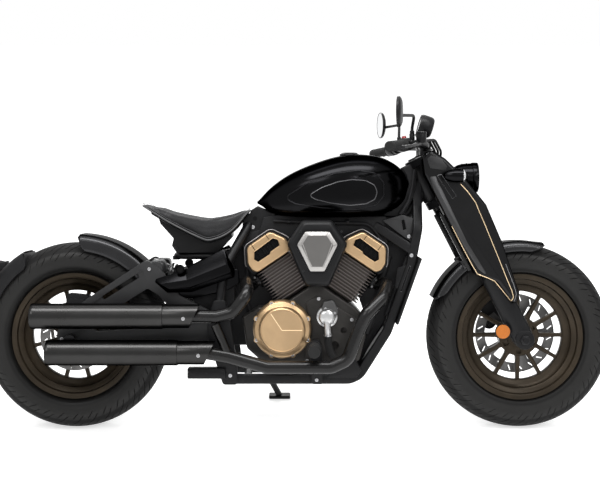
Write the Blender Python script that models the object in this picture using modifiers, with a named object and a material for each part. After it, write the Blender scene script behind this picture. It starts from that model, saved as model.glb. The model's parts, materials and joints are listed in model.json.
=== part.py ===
"""Bobber motorcycle, leaning on its side stand.

Everything is modelled upright in the machine's own frame, in metres: X forward from the
rear axle, Y to the machine's left, Z up from the ground. The empty "machine" then leans
it onto its side stand and puts the origin at the bottom centre of its bounding box.
Pieces that steer are modelled in the steering frame: x forward from the steering axis,
z up along it, level with the front axle at z = 0.
"""

from math import atan2, cos, hypot, pi, radians, sin, sqrt, tan

import bmesh
import bpy
from mathutils import Matrix, Vector

# Stance and wheels
WHEELBASE = 1.545
LEAN = radians(9.0)
SEAT_GAP = 0.0003          # what touches keeps this gap
RUN_GAP = 0.0012           # between turning and fixed faces on an axle
AXLE_R = 0.010
RIM_R = 0.2055             # the bead seat
RIM_LIP_R = 0.2185
RIM_HALF = 0.0510          # inside the rim's lips
REAR_TYRE_R = 0.323
REAR_TYRE_W = 0.150
FRONT_TYRE_R = 0.320
FRONT_TYRE_W = 0.130
WHEEL_STEPS = 32
SPOKES = 12
HUB_R = 0.034
HUB_PLATE_R = 0.070
REAR_RIGHT_FACE = -0.050   # where disc and sprocket bolt on
REAR_LEFT_FACE = 0.088
FRONT_FACE = 0.046
DISC_T = 0.005
FRONT_DISC_R = 0.140
REAR_DISC_R = 0.120
DISC_BAND = 0.034
SPROCKET_R = 0.098
SPROCKET_T = 0.007
SPROCKET_TEETH = 32
DRIVE_R = 0.036            # the engine's sprocket
DRIVE_TEETH = 13
DRIVE_X = 0.618
DRIVE_Z = 0.352
CHAIN_IN = 0.005           # what the still chain keeps from the wheel sprocket's teeth
CHAIN_H = 0.013
CHAIN_W = 0.015
CHAIN_LINKS = 46

# Steering
RAKE = radians(27.0)
FORK_OFFSET = 0.050        # fork tubes ahead of the steering axis
FORK_HALF = 0.115          # half the distance between the fork tubes
FORK_TUBE_R = 0.024
FORK_LEG_X = 0.0375        # the lower leg's half sizes, an oval
FORK_LEG_Y = 0.0300
BOSS_HALF = FORK_LEG_Y + 0.001
LEG_TOP = 0.250
LOWER_YOKE_Z = 0.530
UPPER_YOKE_Z = 0.688
YOKE_T = 0.026
YOKE_GAP = 0.002           # above and below the head tube
STEM_R = 0.014
HEAD_TUBE_R = 0.031
COVER_IN = 0.110           # the fork covers' inner and outer faces
COVER_OUT = 0.160
BAR_R = 0.0125
BAR_HALF = 0.400
BAR_X = 0.056              # the bar's clamp in the steering frame
BAR_Z = 0.740
GRIP_R = 0.017
GRIP_L = 0.125
LAMP_X = 1.357
LAMP_Z = 0.873
LAMP_R = 0.0525
REFLECTOR_R = 0.026

# Chassis
PIVOT_X = 0.500
PIVOT_Z = 0.355
ARM_HALF = 0.128           # outer face of the swingarm's side plates
ARM_T = 0.020
PIVOT_PLATE_T = 0.015
FRAME_R = 0.0165
CRADLE_HALF = 0.118
CRADLE_Z = 0.185
DOWN_HALF = 0.070          # half the distance between the down tubes
BACKBONE_R = 0.022
BACKBONE_Z = 0.722
SEAT_RAIL_Z = 0.600
SEAT_RAIL_R = 0.0115
PANEL_IN = 0.146           # the side covers' inner face
CARRIER_T = 0.008          # the plate carrier's arm
NECK = 0.024               # half the width of the neck that holds lamp and plate
BRIDGE_R = 0.022           # the swingarm's bridge and the frame's cross tube carry the shock
CROSS_R = 0.014
SHOCK_LOW = (0.290, 0, 0.562)
SHOCK_HIGH = (0.511, 0, 0.470)
SHOCK_R = 0.030

# Engine
CRANK_X = 0.838
CRANK_Z = 0.365
CYL_ANGLE = radians(34.0)
CASE_HALF = 0.125
CYL_BASE = 0.125           # from the crankshaft to the cylinder's foot
CYL_TOP = 0.255
FINS = 9
FIN_HALF_L = 0.076
FIN_HALF_W = 0.090
CLUTCH_X = 0.721
CLUTCH_Z = 0.358
CLUTCH_R = 0.0986
GENERATOR_T = 0.042
AIR_X = 0.839              # the air cleaner's middle
AIR_IN = -0.1125
AIR_OUT = -0.236

# Exhaust
PIPE_R = 0.022
MUFFLER_R = 0.0425
MUFFLER_Y = -0.205
UPPER_Z = 0.408
LOWER_Z = 0.286

# Side stand
STAND_X = 0.640
STAND_Y = 0.150
STAND_Z = 0.190
STAND_FOOT_Y = 0.285
STAND_LEG_R = 0.011
STAND_HEAD = 0.006         # half the thickness of the stand's eye
STAND_EYE_R = 0.018
STAND_PIN_R = 0.006
STAND_FOOT_X = 0.705
STAND_PAD_T = 0.008


# Scene and materials

for old in list(bpy.data.objects):
    bpy.data.objects.remove(old)

PARTS = bpy.data.collections.new("bobber_motorcycle")
bpy.context.scene.collection.children.link(PARTS)

# name: colour, roughness, metallic
FINISHES = {
    "tyre_rubber": ((0.030, 0.030, 0.031), 0.80, 0.0),
    "bronze_rim": ((0.060, 0.047, 0.034), 0.45, 0.6),
    "gloss_black": ((0.012, 0.012, 0.013), 0.16, 0.0),
    "satin_black": ((0.022, 0.022, 0.023), 0.42, 0.2),
    "matt_black": ((0.035, 0.035, 0.036), 0.65, 0.0),
    "gold_cover": ((0.560, 0.400, 0.230), 0.36, 0.9),
    "finned_iron": ((0.115, 0.100, 0.095), 0.50, 0.7),
    "grey_alloy": ((0.300, 0.300, 0.300), 0.35, 0.9),
    "steel": ((0.450, 0.450, 0.450), 0.30, 1.0),
    "seat_hide": ((0.030, 0.030, 0.031), 0.60, 0.0),
    "red_lens": ((0.450, 0.020, 0.020), 0.20, 0.0),
}


def finish(name):
    colour, rough, metal = FINISHES[name]
    made = bpy.data.materials.get(name) or bpy.data.materials.new(name)
    made.use_nodes = True
    shader = made.node_tree.nodes["Principled BSDF"]
    shader.inputs["Base Color"].default_value = (*colour, 1.0)
    shader.inputs["Roughness"].default_value = rough
    shader.inputs["Metallic"].default_value = metal
    return made


def empty(name, parent=None, place=(0, 0, 0), turn=(0, 0, 0)):
    made = bpy.data.objects.new(name, None)
    made.location = place
    made.rotation_euler = turn
    made.parent = parent
    made.empty_display_size = 0.05
    PARTS.objects.link(made)
    return made


# Bodies: one empty on each joint's axis

machine = empty("machine")
STEER_X = WHEELBASE - FORK_OFFSET * cos(RAKE)
STEER_Z = FRONT_TYRE_R - FORK_OFFSET * sin(RAKE)
steering = empty("steering_axis", machine, (STEER_X, 0, STEER_Z), (0, -RAKE, 0))
front_hub = empty("front_wheel_axis", steering, (FORK_OFFSET, 0, 0))
rear_hub = empty("rear_wheel_axis", machine, (0, 0, REAR_TYRE_R))
stand_pivot = empty("stand_axis", machine, (STAND_X, STAND_Y, STAND_Z))


def steer_to_machine(x, y, z):
    return Vector((
        STEER_X + x * cos(RAKE) - z * sin(RAKE),
        y,
        STEER_Z + x * sin(RAKE) + z * cos(RAKE),
    ))


# Shape helpers. Each makes a mesh object in its parent's frame.

def raw(mesh):
    made = bpy.data.objects.new("piece", mesh)
    PARTS.objects.link(made)
    return made


def face_out(bm):
    """Turns the faces of a closed shape outwards."""
    bmesh.ops.recalc_face_normals(bm, faces=bm.faces)
    if bm.calc_volume(signed=True) < 0:
        bmesh.ops.reverse_faces(bm, faces=bm.faces)


def from_bmesh(bm):
    face_out(bm)
    mesh = bpy.data.meshes.new("piece")
    bm.to_mesh(mesh)
    bm.free()
    return raw(mesh)


def evaluated_mesh(obj):
    bpy.context.view_layer.update()
    graph = bpy.context.evaluated_depsgraph_get()
    return bpy.data.meshes.new_from_object(obj.evaluated_get(graph))


def baked(obj, weld=0.0):
    """The object with its modifiers, or its curve, turned into a plain mesh."""
    mesh = evaluated_mesh(obj)
    bm = bmesh.new()
    bm.from_mesh(mesh)
    bm.transform(obj.matrix_world)
    if weld:
        bmesh.ops.remove_doubles(bm, verts=bm.verts, dist=weld)
        face_out(bm)
    bm.to_mesh(mesh)
    bm.free()
    bpy.data.objects.remove(obj)
    return raw(mesh)


def block(low, high):
    """A box between two corners."""
    bm = bmesh.new()
    bmesh.ops.create_cube(bm, size=1.0)
    low, high = Vector(low), Vector(high)
    bmesh.ops.scale(bm, vec=high - low, verts=bm.verts)
    bmesh.ops.translate(bm, vec=(low + high) / 2, verts=bm.verts)
    return from_bmesh(bm)


def rod(start, end, radius, sides=16, end_radius=None):
    """A cylinder, or a cone, between two points."""
    start, end = Vector(start), Vector(end)
    bm = bmesh.new()
    bmesh.ops.create_cone(
        bm, cap_ends=True, segments=sides, radius1=radius,
        radius2=radius if end_radius is None else end_radius,
        depth=(end - start).length,
    )
    turn = (end - start).to_track_quat("Z", "Y").to_matrix().to_4x4()
    bm.transform(Matrix.Translation((start + end) / 2) @ turn)
    return from_bmesh(bm)


def bore(start, end, radius, sides=16):
    """A cutter for what a round bar of this radius passes through, flats outside its circle."""
    return rod(start, end, (radius + SEAT_GAP) / cos(pi / sides), sides)


def fillet(points, radius, steps=4, closed=False):
    """The path with each inner corner rounded to an arc; radius is one value or one for each point."""
    points = [Vector(p) for p in points]
    count = len(points)
    radii = radius if isinstance(radius, (list, tuple)) else [radius] * count
    path = []
    for i, corner in enumerate(points):
        if not closed and i in (0, count - 1) or radii[i] <= 0:
            path.append(corner)
            continue
        back = points[i - 1] - corner
        ahead = points[(i + 1) % count] - corner
        room = min(back.length, ahead.length) * 0.48
        half = back.angle(ahead) / 2
        cut = min(radii[i] / tan(half), room)
        first = corner + back.normalized() * cut
        last = corner + ahead.normalized() * cut
        centre_dir = (back.normalized() + ahead.normalized()).normalized()
        centre = corner + centre_dir * (cut / cos(half))
        for k in range(steps + 1):
            share = k / steps
            blend = (first - centre).normalized().lerp((last - centre).normalized(), share)
            path.append(centre + blend.normalized() * (first - centre).length)
    return path


def tube(points, radius, sides=10, bend=0.0, steps=4, closed=False):
    """A bent round bar along a path of straight runs and arcs."""
    path = fillet(points, bend, steps, closed) if bend else [Vector(p) for p in points]
    data = bpy.data.curves.new("tube", "CURVE")
    data.dimensions = "3D"
    data.bevel_depth = radius
    data.bevel_resolution = (sides - 4) // 2
    data.use_fill_caps = True
    spline = data.splines.new("POLY")
    spline.points.add(len(path) - 1)
    spline.use_cyclic_u = closed
    for point, p in zip(spline.points, path):
        point.co = (*p, 1.0)
    obj = bpy.data.objects.new("tube", data)
    PARTS.objects.link(obj)
    return baked(obj, weld=1e-5)


def plate(outline, y_low, y_high, holes=()):
    """A flat outline in X and Z, as thick as from y_low to y_high."""
    data = bpy.data.curves.new("outline", "CURVE")
    data.dimensions = "2D"
    data.fill_mode = "BOTH"
    data.extrude = (y_high - y_low) / 2
    for loop in (outline, *holes):
        spline = data.splines.new("POLY")
        spline.points.add(len(loop) - 1)
        spline.use_cyclic_u = True
        for point, p in zip(spline.points, loop):
            point.co = (p[0], p[1], 0, 1)
    obj = bpy.data.objects.new("outline", data)
    obj.rotation_euler = (pi / 2, 0, 0)
    obj.location = (0, (y_low + y_high) / 2, 0)
    PARTS.objects.link(obj)
    bpy.context.view_layer.update()
    return baked(obj, weld=1e-5)


def ring_points(centre, radius, count, start=0.0, sweep=2 * pi):
    """Points on an arc in X and Z."""
    whole = abs(sweep - 2 * pi) < 1e-9
    span = count if whole else count - 1
    return [
        (centre[0] + radius * cos(start + sweep * k / span),
         centre[1] + radius * sin(start + sweep * k / span))
        for k in range(count)
    ]


def rounded(points, radius, steps=3):
    """A closed outline with its corners rounded."""
    flat = [Vector((p[0], p[1], 0)) for p in points]
    return [(p.x, p.y) for p in fillet(flat, radius, steps, closed=True)]


def turned(profile, centre=(0, 0, 0), axis="Y", steps=24, sweep=2 * pi, start=0.0):
    """A turned solid. The profile is a closed list of (radius, height), turned round the axis."""
    bm = bmesh.new()
    verts = [bm.verts.new((r, 0, h)) for r, h in profile]
    for a, b in zip(verts, verts[1:] + verts[:1]):
        bm.edges.new((a, b))
    mesh = bpy.data.meshes.new("profile")
    bm.to_mesh(mesh)
    bm.free()
    obj = raw(mesh)
    screw = obj.modifiers.new("turn", "SCREW")
    screw.axis = "Z"
    screw.angle = sweep
    screw.steps = steps
    screw.render_steps = steps
    screw.use_merge_vertices = True
    screw.merge_threshold = 1e-5
    solid = evaluated_mesh(obj)
    bpy.data.objects.remove(obj)
    bm = bmesh.new()
    bm.from_mesh(solid)
    bmesh.ops.remove_doubles(bm, verts=bm.verts, dist=1e-5)
    bmesh.ops.holes_fill(bm, edges=[edge for edge in bm.edges if edge.is_boundary])
    face_out(bm)
    spin = Matrix.Rotation(start, 4, "Z")
    if axis == "Y":
        # height runs along +Y, and the start angle is measured from +X towards +Z
        frame = Matrix.Rotation(-pi / 2, 4, "X") @ Matrix.Rotation(-start - sweep, 4, "Z")
    elif axis == "X":
        frame = Matrix.Rotation(pi / 2, 4, "Y") @ spin
    else:
        frame = spin
    bm.transform(Matrix.Translation(centre) @ frame)
    bm.to_mesh(solid)
    bm.free()
    return raw(solid)


def loft(sections):
    """A closed solid through rings of points, each with as many points as the next."""
    bm = bmesh.new()
    rings = [[bm.verts.new(p) for p in ring] for ring in sections]
    count = len(rings[0])
    for a, b in zip(rings, rings[1:]):
        for k in range(count):
            n = (k + 1) % count
            bm.faces.new((a[k], a[n], b[n], b[k]))
    bm.faces.new(rings[0])
    bm.faces.new(rings[-1])
    return from_bmesh(bm)


def boolean(obj, other, operation):
    step = obj.modifiers.new("step", "BOOLEAN")
    step.operation = operation
    step.object = other
    mesh = evaluated_mesh(obj)
    for used in (obj, other):
        bpy.data.objects.remove(used)
    return raw(mesh)


def fuse(first, *others):
    for other in others:
        first = boolean(first, other, "UNION")
    return first


def cut(first, *others):
    for other in others:
        first = boolean(first, other, "DIFFERENCE")
    return first


def together(*pieces):
    """Shapes that don't touch, in one mesh, to be joined by what carries them."""
    bm = bmesh.new()
    for piece in pieces:
        bm.from_mesh(piece.data)
        bpy.data.objects.remove(piece)
    mesh = bpy.data.meshes.new("group")
    bm.to_mesh(mesh)
    bm.free()
    return raw(mesh)


def bevelled(obj, width, segments=1, angle=40.0):
    step = obj.modifiers.new("edge", "BEVEL")
    step.width = width
    step.segments = segments
    step.limit_method = "ANGLE"
    step.angle_limit = radians(angle)
    return baked(obj)


def moved(obj, matrix):
    obj.data.transform(matrix)
    if matrix.determinant() < 0:
        obj.data.flip_normals()
    return obj


def mirrored(obj):
    """A copy of the shape on the other side of the machine."""
    other = raw(obj.data.copy())
    return moved(other, Matrix.Scale(-1, 4, Vector((0, 1, 0))))


def mirror_away(obj):
    other = mirrored(obj)
    bpy.data.objects.remove(obj)
    return other


def double(obj):
    """The shape joined with its mirror image."""
    return fuse(obj, mirrored(obj))


def node(name, obj, material, parent=machine):
    obj.name = name
    obj.data.name = name
    obj.parent = parent
    obj.data.materials.clear()
    obj.data.materials.append(finish(material))
    obj.data.shade_smooth()
    obj.data.set_sharp_from_angle(angle=radians(35))
    return obj


# Wheels

def tyre(outer, width):
    """Radius against height across the wheel, from bead to crown and back."""
    half = width / 2
    side = [
        (RIM_R + SEAT_GAP, RIM_HALF - SEAT_GAP),
        (RIM_LIP_R + 0.001, RIM_HALF - SEAT_GAP),
        (RIM_LIP_R + 0.006, 0.0610),
        (RIM_R + 0.50 * (outer - RIM_R), half),
        (outer - 0.020, half * 0.82),
        (outer - 0.0050, half * 0.42),
    ]
    profile = side + [(outer, 0.0)] + [(r, -y) for r, y in reversed(side)]
    return turned(profile, steps=WHEEL_STEPS, start=pi / WHEEL_STEPS)


def cast_wheel(spoke_start, left_face, right_face):
    """Rim, spokes and hub as one casting; the faces are where disc and sprocket bolt on."""
    side = [
        (RIM_R, RIM_HALF),
        (RIM_LIP_R, RIM_HALF),
        (RIM_LIP_R, RIM_HALF + 0.0055),
        (0.1960, 0.0540),
        (0.1900, 0.0280),
        (0.1550, 0.0160),
    ]
    rim = turned(side + [(r, -y) for r, y in reversed(side)], steps=WHEEL_STEPS, start=pi / WHEEL_STEPS)
    hub = turned(
        [
            (AXLE_R + 0.0004, right_face),
            (HUB_R + 0.014, right_face),
            (HUB_R + 0.014, -0.026),
            (HUB_PLATE_R, -0.019),
            (HUB_PLATE_R, 0.019),
            (HUB_R + 0.014, 0.026),
            (HUB_R + 0.014, left_face),
            (AXLE_R + 0.0004, left_face),
        ],
        steps=16,
    )
    spokes = []
    for k in range(SPOKES):
        turn = Matrix.Rotation(-(spoke_start + 2 * pi * k / SPOKES), 4, "Y")
        inner, outer = HUB_PLATE_R - 0.006, 0.163
        ring = [
            [(inner, -0.013, -0.0085), (inner, 0.013, -0.0085), (inner, 0.013, 0.0085), (inner, -0.013, 0.0085)],
            [(outer, -0.010, -0.0065), (outer, 0.010, -0.0065), (outer, 0.010, 0.0065), (outer, -0.010, 0.0065)],
        ]
        spokes.append(moved(loft(ring), turn))
    return fuse(rim, together(*spokes), hub)


def brake_disc(outer, y_face, towards):
    """A floating ring with slanted slots on a spider; towards is +1 on the left side."""
    low, high = sorted((y_face, y_face + towards * DISC_T))
    holes = [ring_points((0, 0), HUB_R, 16)]
    for k in range(5):
        start, sweep = 2 * pi * k / 5 + 0.16, 2 * pi / 5 - 0.32
        window = ring_points((0, 0), outer - DISC_BAND, 6, start, sweep)
        holes.append(window + ring_points((0, 0), HUB_R + 0.018, 5, start + sweep, -sweep))
    for k in range(10):
        angle = 2 * pi * (k + 0.5) / 10
        middle = Vector((outer - DISC_BAND / 2, 0, 0))
        holes.append([
            tuple((Matrix.Rotation(angle, 3, "Z") @ (middle + Matrix.Rotation(0.5, 3, "Z") @ Vector((x, y, 0))))[:2])
            for x, y in ((-0.010, -0.002), (0.010, -0.002), (0.010, 0.002), (-0.010, 0.002))
        ])
    return plate(ring_points((0, 0), outer, 28), low, high, holes)


def sprocket(y_face):
    outline = []
    pitch = 2 * pi / SPROCKET_TEETH
    for k in range(SPROCKET_TEETH):
        for share, depth in ((0.0, 0.0), (0.50, 0.008)):
            angle = (k + share) * pitch
            radius = SPROCKET_R - depth
            outline.append((radius * cos(angle), radius * sin(angle)))
    holes = [
        ring_points((0.062 * cos(2 * pi * k / 5), 0.062 * sin(2 * pi * k / 5)), 0.014, 8)
        for k in range(5)
    ]
    holes.append(ring_points((0, 0), HUB_R, 16))
    return plate(outline, y_face, y_face + SPROCKET_T, holes)


node("rear_tyre", tyre(REAR_TYRE_R, REAR_TYRE_W), "tyre_rubber", rear_hub)
node("rear_wheel", cast_wheel(pi / SPOKES, REAR_LEFT_FACE, REAR_RIGHT_FACE), "bronze_rim", rear_hub)
node("rear_disc", brake_disc(REAR_DISC_R, REAR_RIGHT_FACE - SEAT_GAP, -1), "steel", rear_hub)
node("rear_sprocket", sprocket(REAR_LEFT_FACE + SEAT_GAP), "steel", rear_hub)
node("front_tyre", tyre(FRONT_TYRE_R, FRONT_TYRE_W), "tyre_rubber", front_hub)
node("front_wheel", cast_wheel(0.0, FRONT_FACE, -FRONT_FACE), "bronze_rim", front_hub)
node("front_disc", brake_disc(FRONT_DISC_R, FRONT_FACE + SEAT_GAP, 1), "steel", front_hub)


# Steering: everything here is in the steering frame, x forward from its axis, z along it

def slab(outline, z_low, z_high):
    """A flat outline in X and Y, as thick as from z_low to z_high."""
    swap = Matrix(((1, 0, 0, 0), (0, 0, 1, 0), (0, 1, 0, 0), (0, 0, 0, 1)))
    return moved(plate(outline, z_low, z_high), swap)


TO_STEER = (Matrix.Translation((STEER_X, 0, STEER_Z)) @ Matrix.Rotation(-RAKE, 4, "Y")).inverted()


def to_steer(x, y, z):
    return TO_STEER @ Vector((x, y, z))


HEAD_LOW = LOWER_YOKE_Z + YOKE_T + YOKE_GAP
HEAD_HIGH = UPPER_YOKE_Z - YOKE_GAP
YOKE_TOP = UPPER_YOKE_Z + YOKE_T
FORK_TUBE_TOP = YOKE_TOP - 0.002
COVER_TOP = YOKE_TOP + 0.006


def fork_tube_bores(low, high):
    return [
        bore((FORK_OFFSET, side * FORK_HALF, low), (FORK_OFFSET, side * FORK_HALF, high), FORK_TUBE_R)
        for side in (-1, 1)
    ]


def yoke():
    reach = COVER_IN - 0.009
    outline = rounded(
        [(-0.028, -0.022), (0.022, -reach), (FORK_OFFSET + 0.028, -reach),
         (FORK_OFFSET + 0.028, reach), (0.022, reach), (-0.028, 0.022)], 0.012, 1)
    lower = slab(outline, LOWER_YOKE_Z, LOWER_YOKE_Z + YOKE_T)
    upper = slab(outline, UPPER_YOKE_Z, YOKE_TOP)
    stem = rod((0, 0, LOWER_YOKE_Z - 0.012), (0, 0, YOKE_TOP + 0.006), STEM_R, 12)
    risers = [
        rod((BAR_X, side * 0.042, YOKE_TOP - 0.006), (BAR_X, side * 0.042, BAR_Z - BAR_R - 0.004), 0.013, 8)
        for side in (-1, 1)
    ]
    clamps = [
        cut(rod((BAR_X, y - 0.014, BAR_Z), (BAR_X, y + 0.014, BAR_Z), 0.022, 10),
            bore((BAR_X, y - 0.02, BAR_Z), (BAR_X, y + 0.02, BAR_Z), BAR_R, 10))
        for y in (-0.042, 0.042)
    ]
    body = cut(fuse(lower, stem, upper), *fork_tube_bores(LOWER_YOKE_Z - 0.05, YOKE_TOP + 0.02))
    lamp_arm = fuse(
        block((FORK_OFFSET, -0.018, LOWER_YOKE_Z + YOKE_T - 0.004), (0.074, 0.018, 0.612)),
        block((FORK_OFFSET, -0.014, 0.588), (LAMP_BACK.x + 0.004, 0.014, 0.612)),
    )
    return fuse(body, *risers, *clamps, lamp_arm)


def fork_leg(side):
    """Fork tube, oval lower leg and axle boss."""
    y = side * FORK_HALF
    tube_part = rod((FORK_OFFSET, y, LEG_TOP - 0.02), (FORK_OFFSET, y, FORK_TUBE_TOP), FORK_TUBE_R, 16)
    leg = rod((0, 0, -0.005), (0, 0, LEG_TOP), 1.0, 16)
    leg.data.transform(Matrix.Diagonal((FORK_LEG_X, FORK_LEG_Y, 1, 1)))
    leg = bevelled(moved(leg, Matrix.Translation((FORK_OFFSET, y, 0))), 0.006)
    boss = rod((FORK_OFFSET, y - BOSS_HALF, 0), (FORK_OFFSET, y + BOSS_HALF, 0), 0.033, 16)
    lug = block((-0.012, y + side * 0.020 - 0.005, 0.045), (0.028, y + side * 0.020 + 0.005, 0.075))
    reflector = rod((-0.004, y + side * 0.024, 0.060), (-0.004, y + side * 0.035, 0.060), REFLECTOR_R, 18)
    axle_bore = bore((FORK_OFFSET, y - 0.05, 0), (FORK_OFFSET, y + 0.05, 0), AXLE_R, 12)
    return cut(fuse(leg, tube_part, boss, lug, reflector), axle_bore)


COVER_OUTLINE = [  # x ahead of the fork tube, z along it
    (-0.051, 0.277), (-0.051, 0.655), (-0.028, COVER_TOP), (0.008, COVER_TOP), (0.038, 0.672),
    (0.066, 0.588), (0.0906, 0.470), (0.081, 0.330), (0.054, 0.151), (0.022, 0.114),
    (0.004, 0.218), (-0.040, 0.262),
]


def fork_cover(side):
    """A deep shell over the fork tube, open inwards."""
    outline = rounded([(FORK_OFFSET + x, z) for x, z in COVER_OUTLINE], 0.022, 1)
    low, high = sorted((side * COVER_IN, side * COVER_OUT))
    shell = bevelled(plate(outline, low, high), 0.009, 1, angle=50)
    y = side * FORK_HALF
    tube_part = bore((FORK_OFFSET, y, 0.2), (FORK_OFFSET, y, FORK_TUBE_TOP + SEAT_GAP), FORK_TUBE_R)
    leg = rod((0, 0, 0.05), (0, 0, LEG_TOP + SEAT_GAP), 1.0, 16)
    leg.data.transform(Matrix.Diagonal((FORK_LEG_X + 0.0015, FORK_LEG_Y + 0.0015, 1, 1)))
    leg = moved(leg, Matrix.Translation((FORK_OFFSET, y, 0)))
    return fuse(cut(shell, fuse(leg, tube_part)), front_signal(side))


FENDER_IN = FRONT_TYRE_R + 0.0085
FENDER_OUT = FENDER_IN + 0.0045
FENDER_HALF = 0.0775
FENDER_SKIRT = 0.298


def arch_fender(inner, outer, half, skirt, start, end, steps):
    """A fender's shell: a band round the tyre with a side skirt, turned about the axle."""
    wall = outer - inner
    side = [
        (skirt, half), (outer - 0.016, half), (outer - 0.005, half - 0.010), (outer, half - 0.026),
    ]
    inside = [
        (inner, half - 0.028), (inner - 0.004, half - 0.011), (outer - 0.018, half - wall), (skirt, half - wall),
    ]
    profile = side + [(r, -y) for r, y in reversed(side)]
    profile += [(r, -y) for r, y in reversed(inside)] + inside
    return turned(profile, steps=steps, sweep=end - start, start=start)


def front_fender():
    """Angles are the machine's; the front hub's frame is turned back by the rake."""
    shell = arch_fender(FENDER_IN, FENDER_OUT, FENDER_HALF, FENDER_SKIRT,
                        radians(75.8) - RAKE, radians(156) - RAKE, 10)
    shell = moved(shell, Matrix.Translation((FORK_OFFSET, 0, 0)))
    stays = []
    for side in (-1, 1):
        low, high = sorted((side * (FENDER_HALF - 0.003), side * (FORK_HALF - FORK_LEG_Y + 0.0065)))
        stay = block((FORK_OFFSET - 0.070, low, 0.300), (FORK_OFFSET + 0.012, high, 0.330))
        stays.append(stay)
    body = fuse(shell, together(*stays))
    return cut(body, *fork_tube_bores(0.22, 0.40))


LAMP_BACK = to_steer(LAMP_X - 0.045, 0, LAMP_Z)


def headlight():
    bowl = turned(
        [(0.0, -0.045), (0.024, -0.045), (0.040, -0.030), (0.048, -0.005), (0.050, 0.026),
         (LAMP_R, 0.028), (LAMP_R, 0.048), (0.046, 0.048), (0.043, 0.038), (0.0, 0.042)],
        centre=(LAMP_X, 0, LAMP_Z), axis="X", steps=20)
    arm = block((FORK_OFFSET - 0.01, -0.0145, 0.5875), (LAMP_BACK.x + 0.0045, 0.0145, 0.6125))
    return cut(moved(bowl, TO_STEER), arm)


SIGNAL_PROFILE = [
    (0.0, -0.034), (0.011, -0.031), (0.0225, 0.002), (0.0225, 0.030), (0.019, 0.030), (0.017, 0.026),
    (0.0, 0.026),
]


def front_signal(side):
    """A bullet lamp on a stalk from the fork cover's outer face."""
    y = side * 0.198
    bullet = turned(SIGNAL_PROFILE, centre=(1.297, y, 0.8775), axis="X", steps=10)
    stalk = rod((1.292, side * (COVER_OUT - 0.004), 0.8775), (1.292, y, 0.8775), 0.0085, 8)
    foot = rod((1.292, side * (COVER_OUT - 0.004), 0.8775),
               (1.292, side * (COVER_OUT + 0.006), 0.8775), 0.015, 10)
    return moved(fuse(bullet, stalk, foot), TO_STEER)


BAR_CENTRE = Vector(steer_to_machine(BAR_X, 0, BAR_Z))
BAR_END = Vector((1.065, BAR_HALF, 0.968))
BAR_KNEE = Vector((1.170, 0.180, 0.986))
GRIP_DIR = (BAR_END - BAR_KNEE).normalized()
GRIP_AHEAD = GRIP_DIR.cross(Vector((0, 0, 1))).normalized()


def on_grip(back, ahead=0.0, up=0.0):
    """A point near the left grip, back from its end."""
    return BAR_END - GRIP_DIR * back + GRIP_AHEAD * ahead + Vector((0, 0, up))


def handlebar():
    half = [BAR_CENTRE, BAR_CENTRE + Vector((0, 0.100, 0)), BAR_KNEE, BAR_END]
    path = [Vector((p.x, -p.y, p.z)) for p in reversed(half[1:])] + half
    bar = tube(path, BAR_R, sides=10, bend=[0, 0.08, 0.08, 0, 0.08, 0.08, 0], steps=2)
    grips = []
    for side in (-1, 1):
        flip = Matrix.Scale(side, 4, Vector((0, 1, 0)))
        grip = rod(flip @ on_grip(GRIP_L), flip @ on_grip(-0.004), GRIP_R, 12)
        flange = rod(flip @ on_grip(GRIP_L), flip @ on_grip(GRIP_L - 0.006), GRIP_R + 0.005, 12)
        grips += [fuse(grip, flange)]
    return moved(fuse(bar, together(*grips)), TO_STEER)


def control(side):
    """Switch housing, master cylinder and lever, on the bar inboard of the grip."""
    housing = rod(on_grip(GRIP_L + 0.002), on_grip(GRIP_L + 0.044), 0.022, 10)
    clamp = rod(on_grip(GRIP_L + 0.040), on_grip(GRIP_L + 0.062), 0.019, 8)
    cylinder = rod(on_grip(GRIP_L + 0.062, 0.030, 0.002), on_grip(GRIP_L + 0.004, 0.034, 0.002), 0.0125, 8)
    neck = rod(on_grip(GRIP_L + 0.051, 0.004, 0.0), on_grip(GRIP_L + 0.051, 0.032, 0.002), 0.011, 8)
    lever = tube(
        [on_grip(GRIP_L + 0.010, 0.036, 0.002), on_grip(GRIP_L - 0.030, 0.058, 0.0),
         on_grip(GRIP_L - 0.075, 0.054, -0.002), on_grip(-0.004, 0.046, -0.004)],
        0.0060, sides=6, bend=0.03, steps=2)
    boss = rod(on_grip(GRIP_L + 0.051, 0.012, 0.004), on_grip(GRIP_L + 0.051, 0.012, 0.034), 0.009, 8)
    pieces = [housing, clamp, cylinder, neck, lever, boss]
    if side < 0:
        pieces.append(rod(on_grip(GRIP_L + 0.046, 0.046, 0.006), on_grip(GRIP_L + 0.046, 0.046, 0.040), 0.017, 10))
    body = fuse(*pieces)
    body = cut(body, bore(on_grip(GRIP_L - 0.01), on_grip(GRIP_L + 0.12), BAR_R, 10))
    return moved(body if side > 0 else mirror_away(body), TO_STEER)


MIRROR_AT = Vector((1.097, 0.398, 1.078))


def mirror(side):
    """A round head on a bent stem, screwed into the control's boss."""
    head = turned(
        [(0.0, -0.007), (0.050, -0.007), (0.050, 0.000), (0.040, 0.008), (0.0, 0.010)],
        axis="X", steps=18)
    head = moved(head, Matrix.Translation(MIRROR_AT) @ Matrix.Rotation(radians(10), 4, "Z"))
    foot = on_grip(GRIP_L + 0.051, 0.012, 0.034 + SEAT_GAP)
    stem = tube([foot, foot + Vector((0, 0, 0.018)), foot + Vector((0.004, 0.035, 0.058)),
                 MIRROR_AT + Vector((0.006, -0.022, -0.010)), MIRROR_AT + Vector((0.004, 0.0, 0.0))],
                0.0052, sides=6, bend=0.02, steps=2)
    nut = rod(foot, foot + Vector((0, 0, 0.010)), 0.0085, 6)
    body = fuse(head, stem, nut)
    return moved(body if side > 0 else mirror_away(body), TO_STEER)


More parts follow.
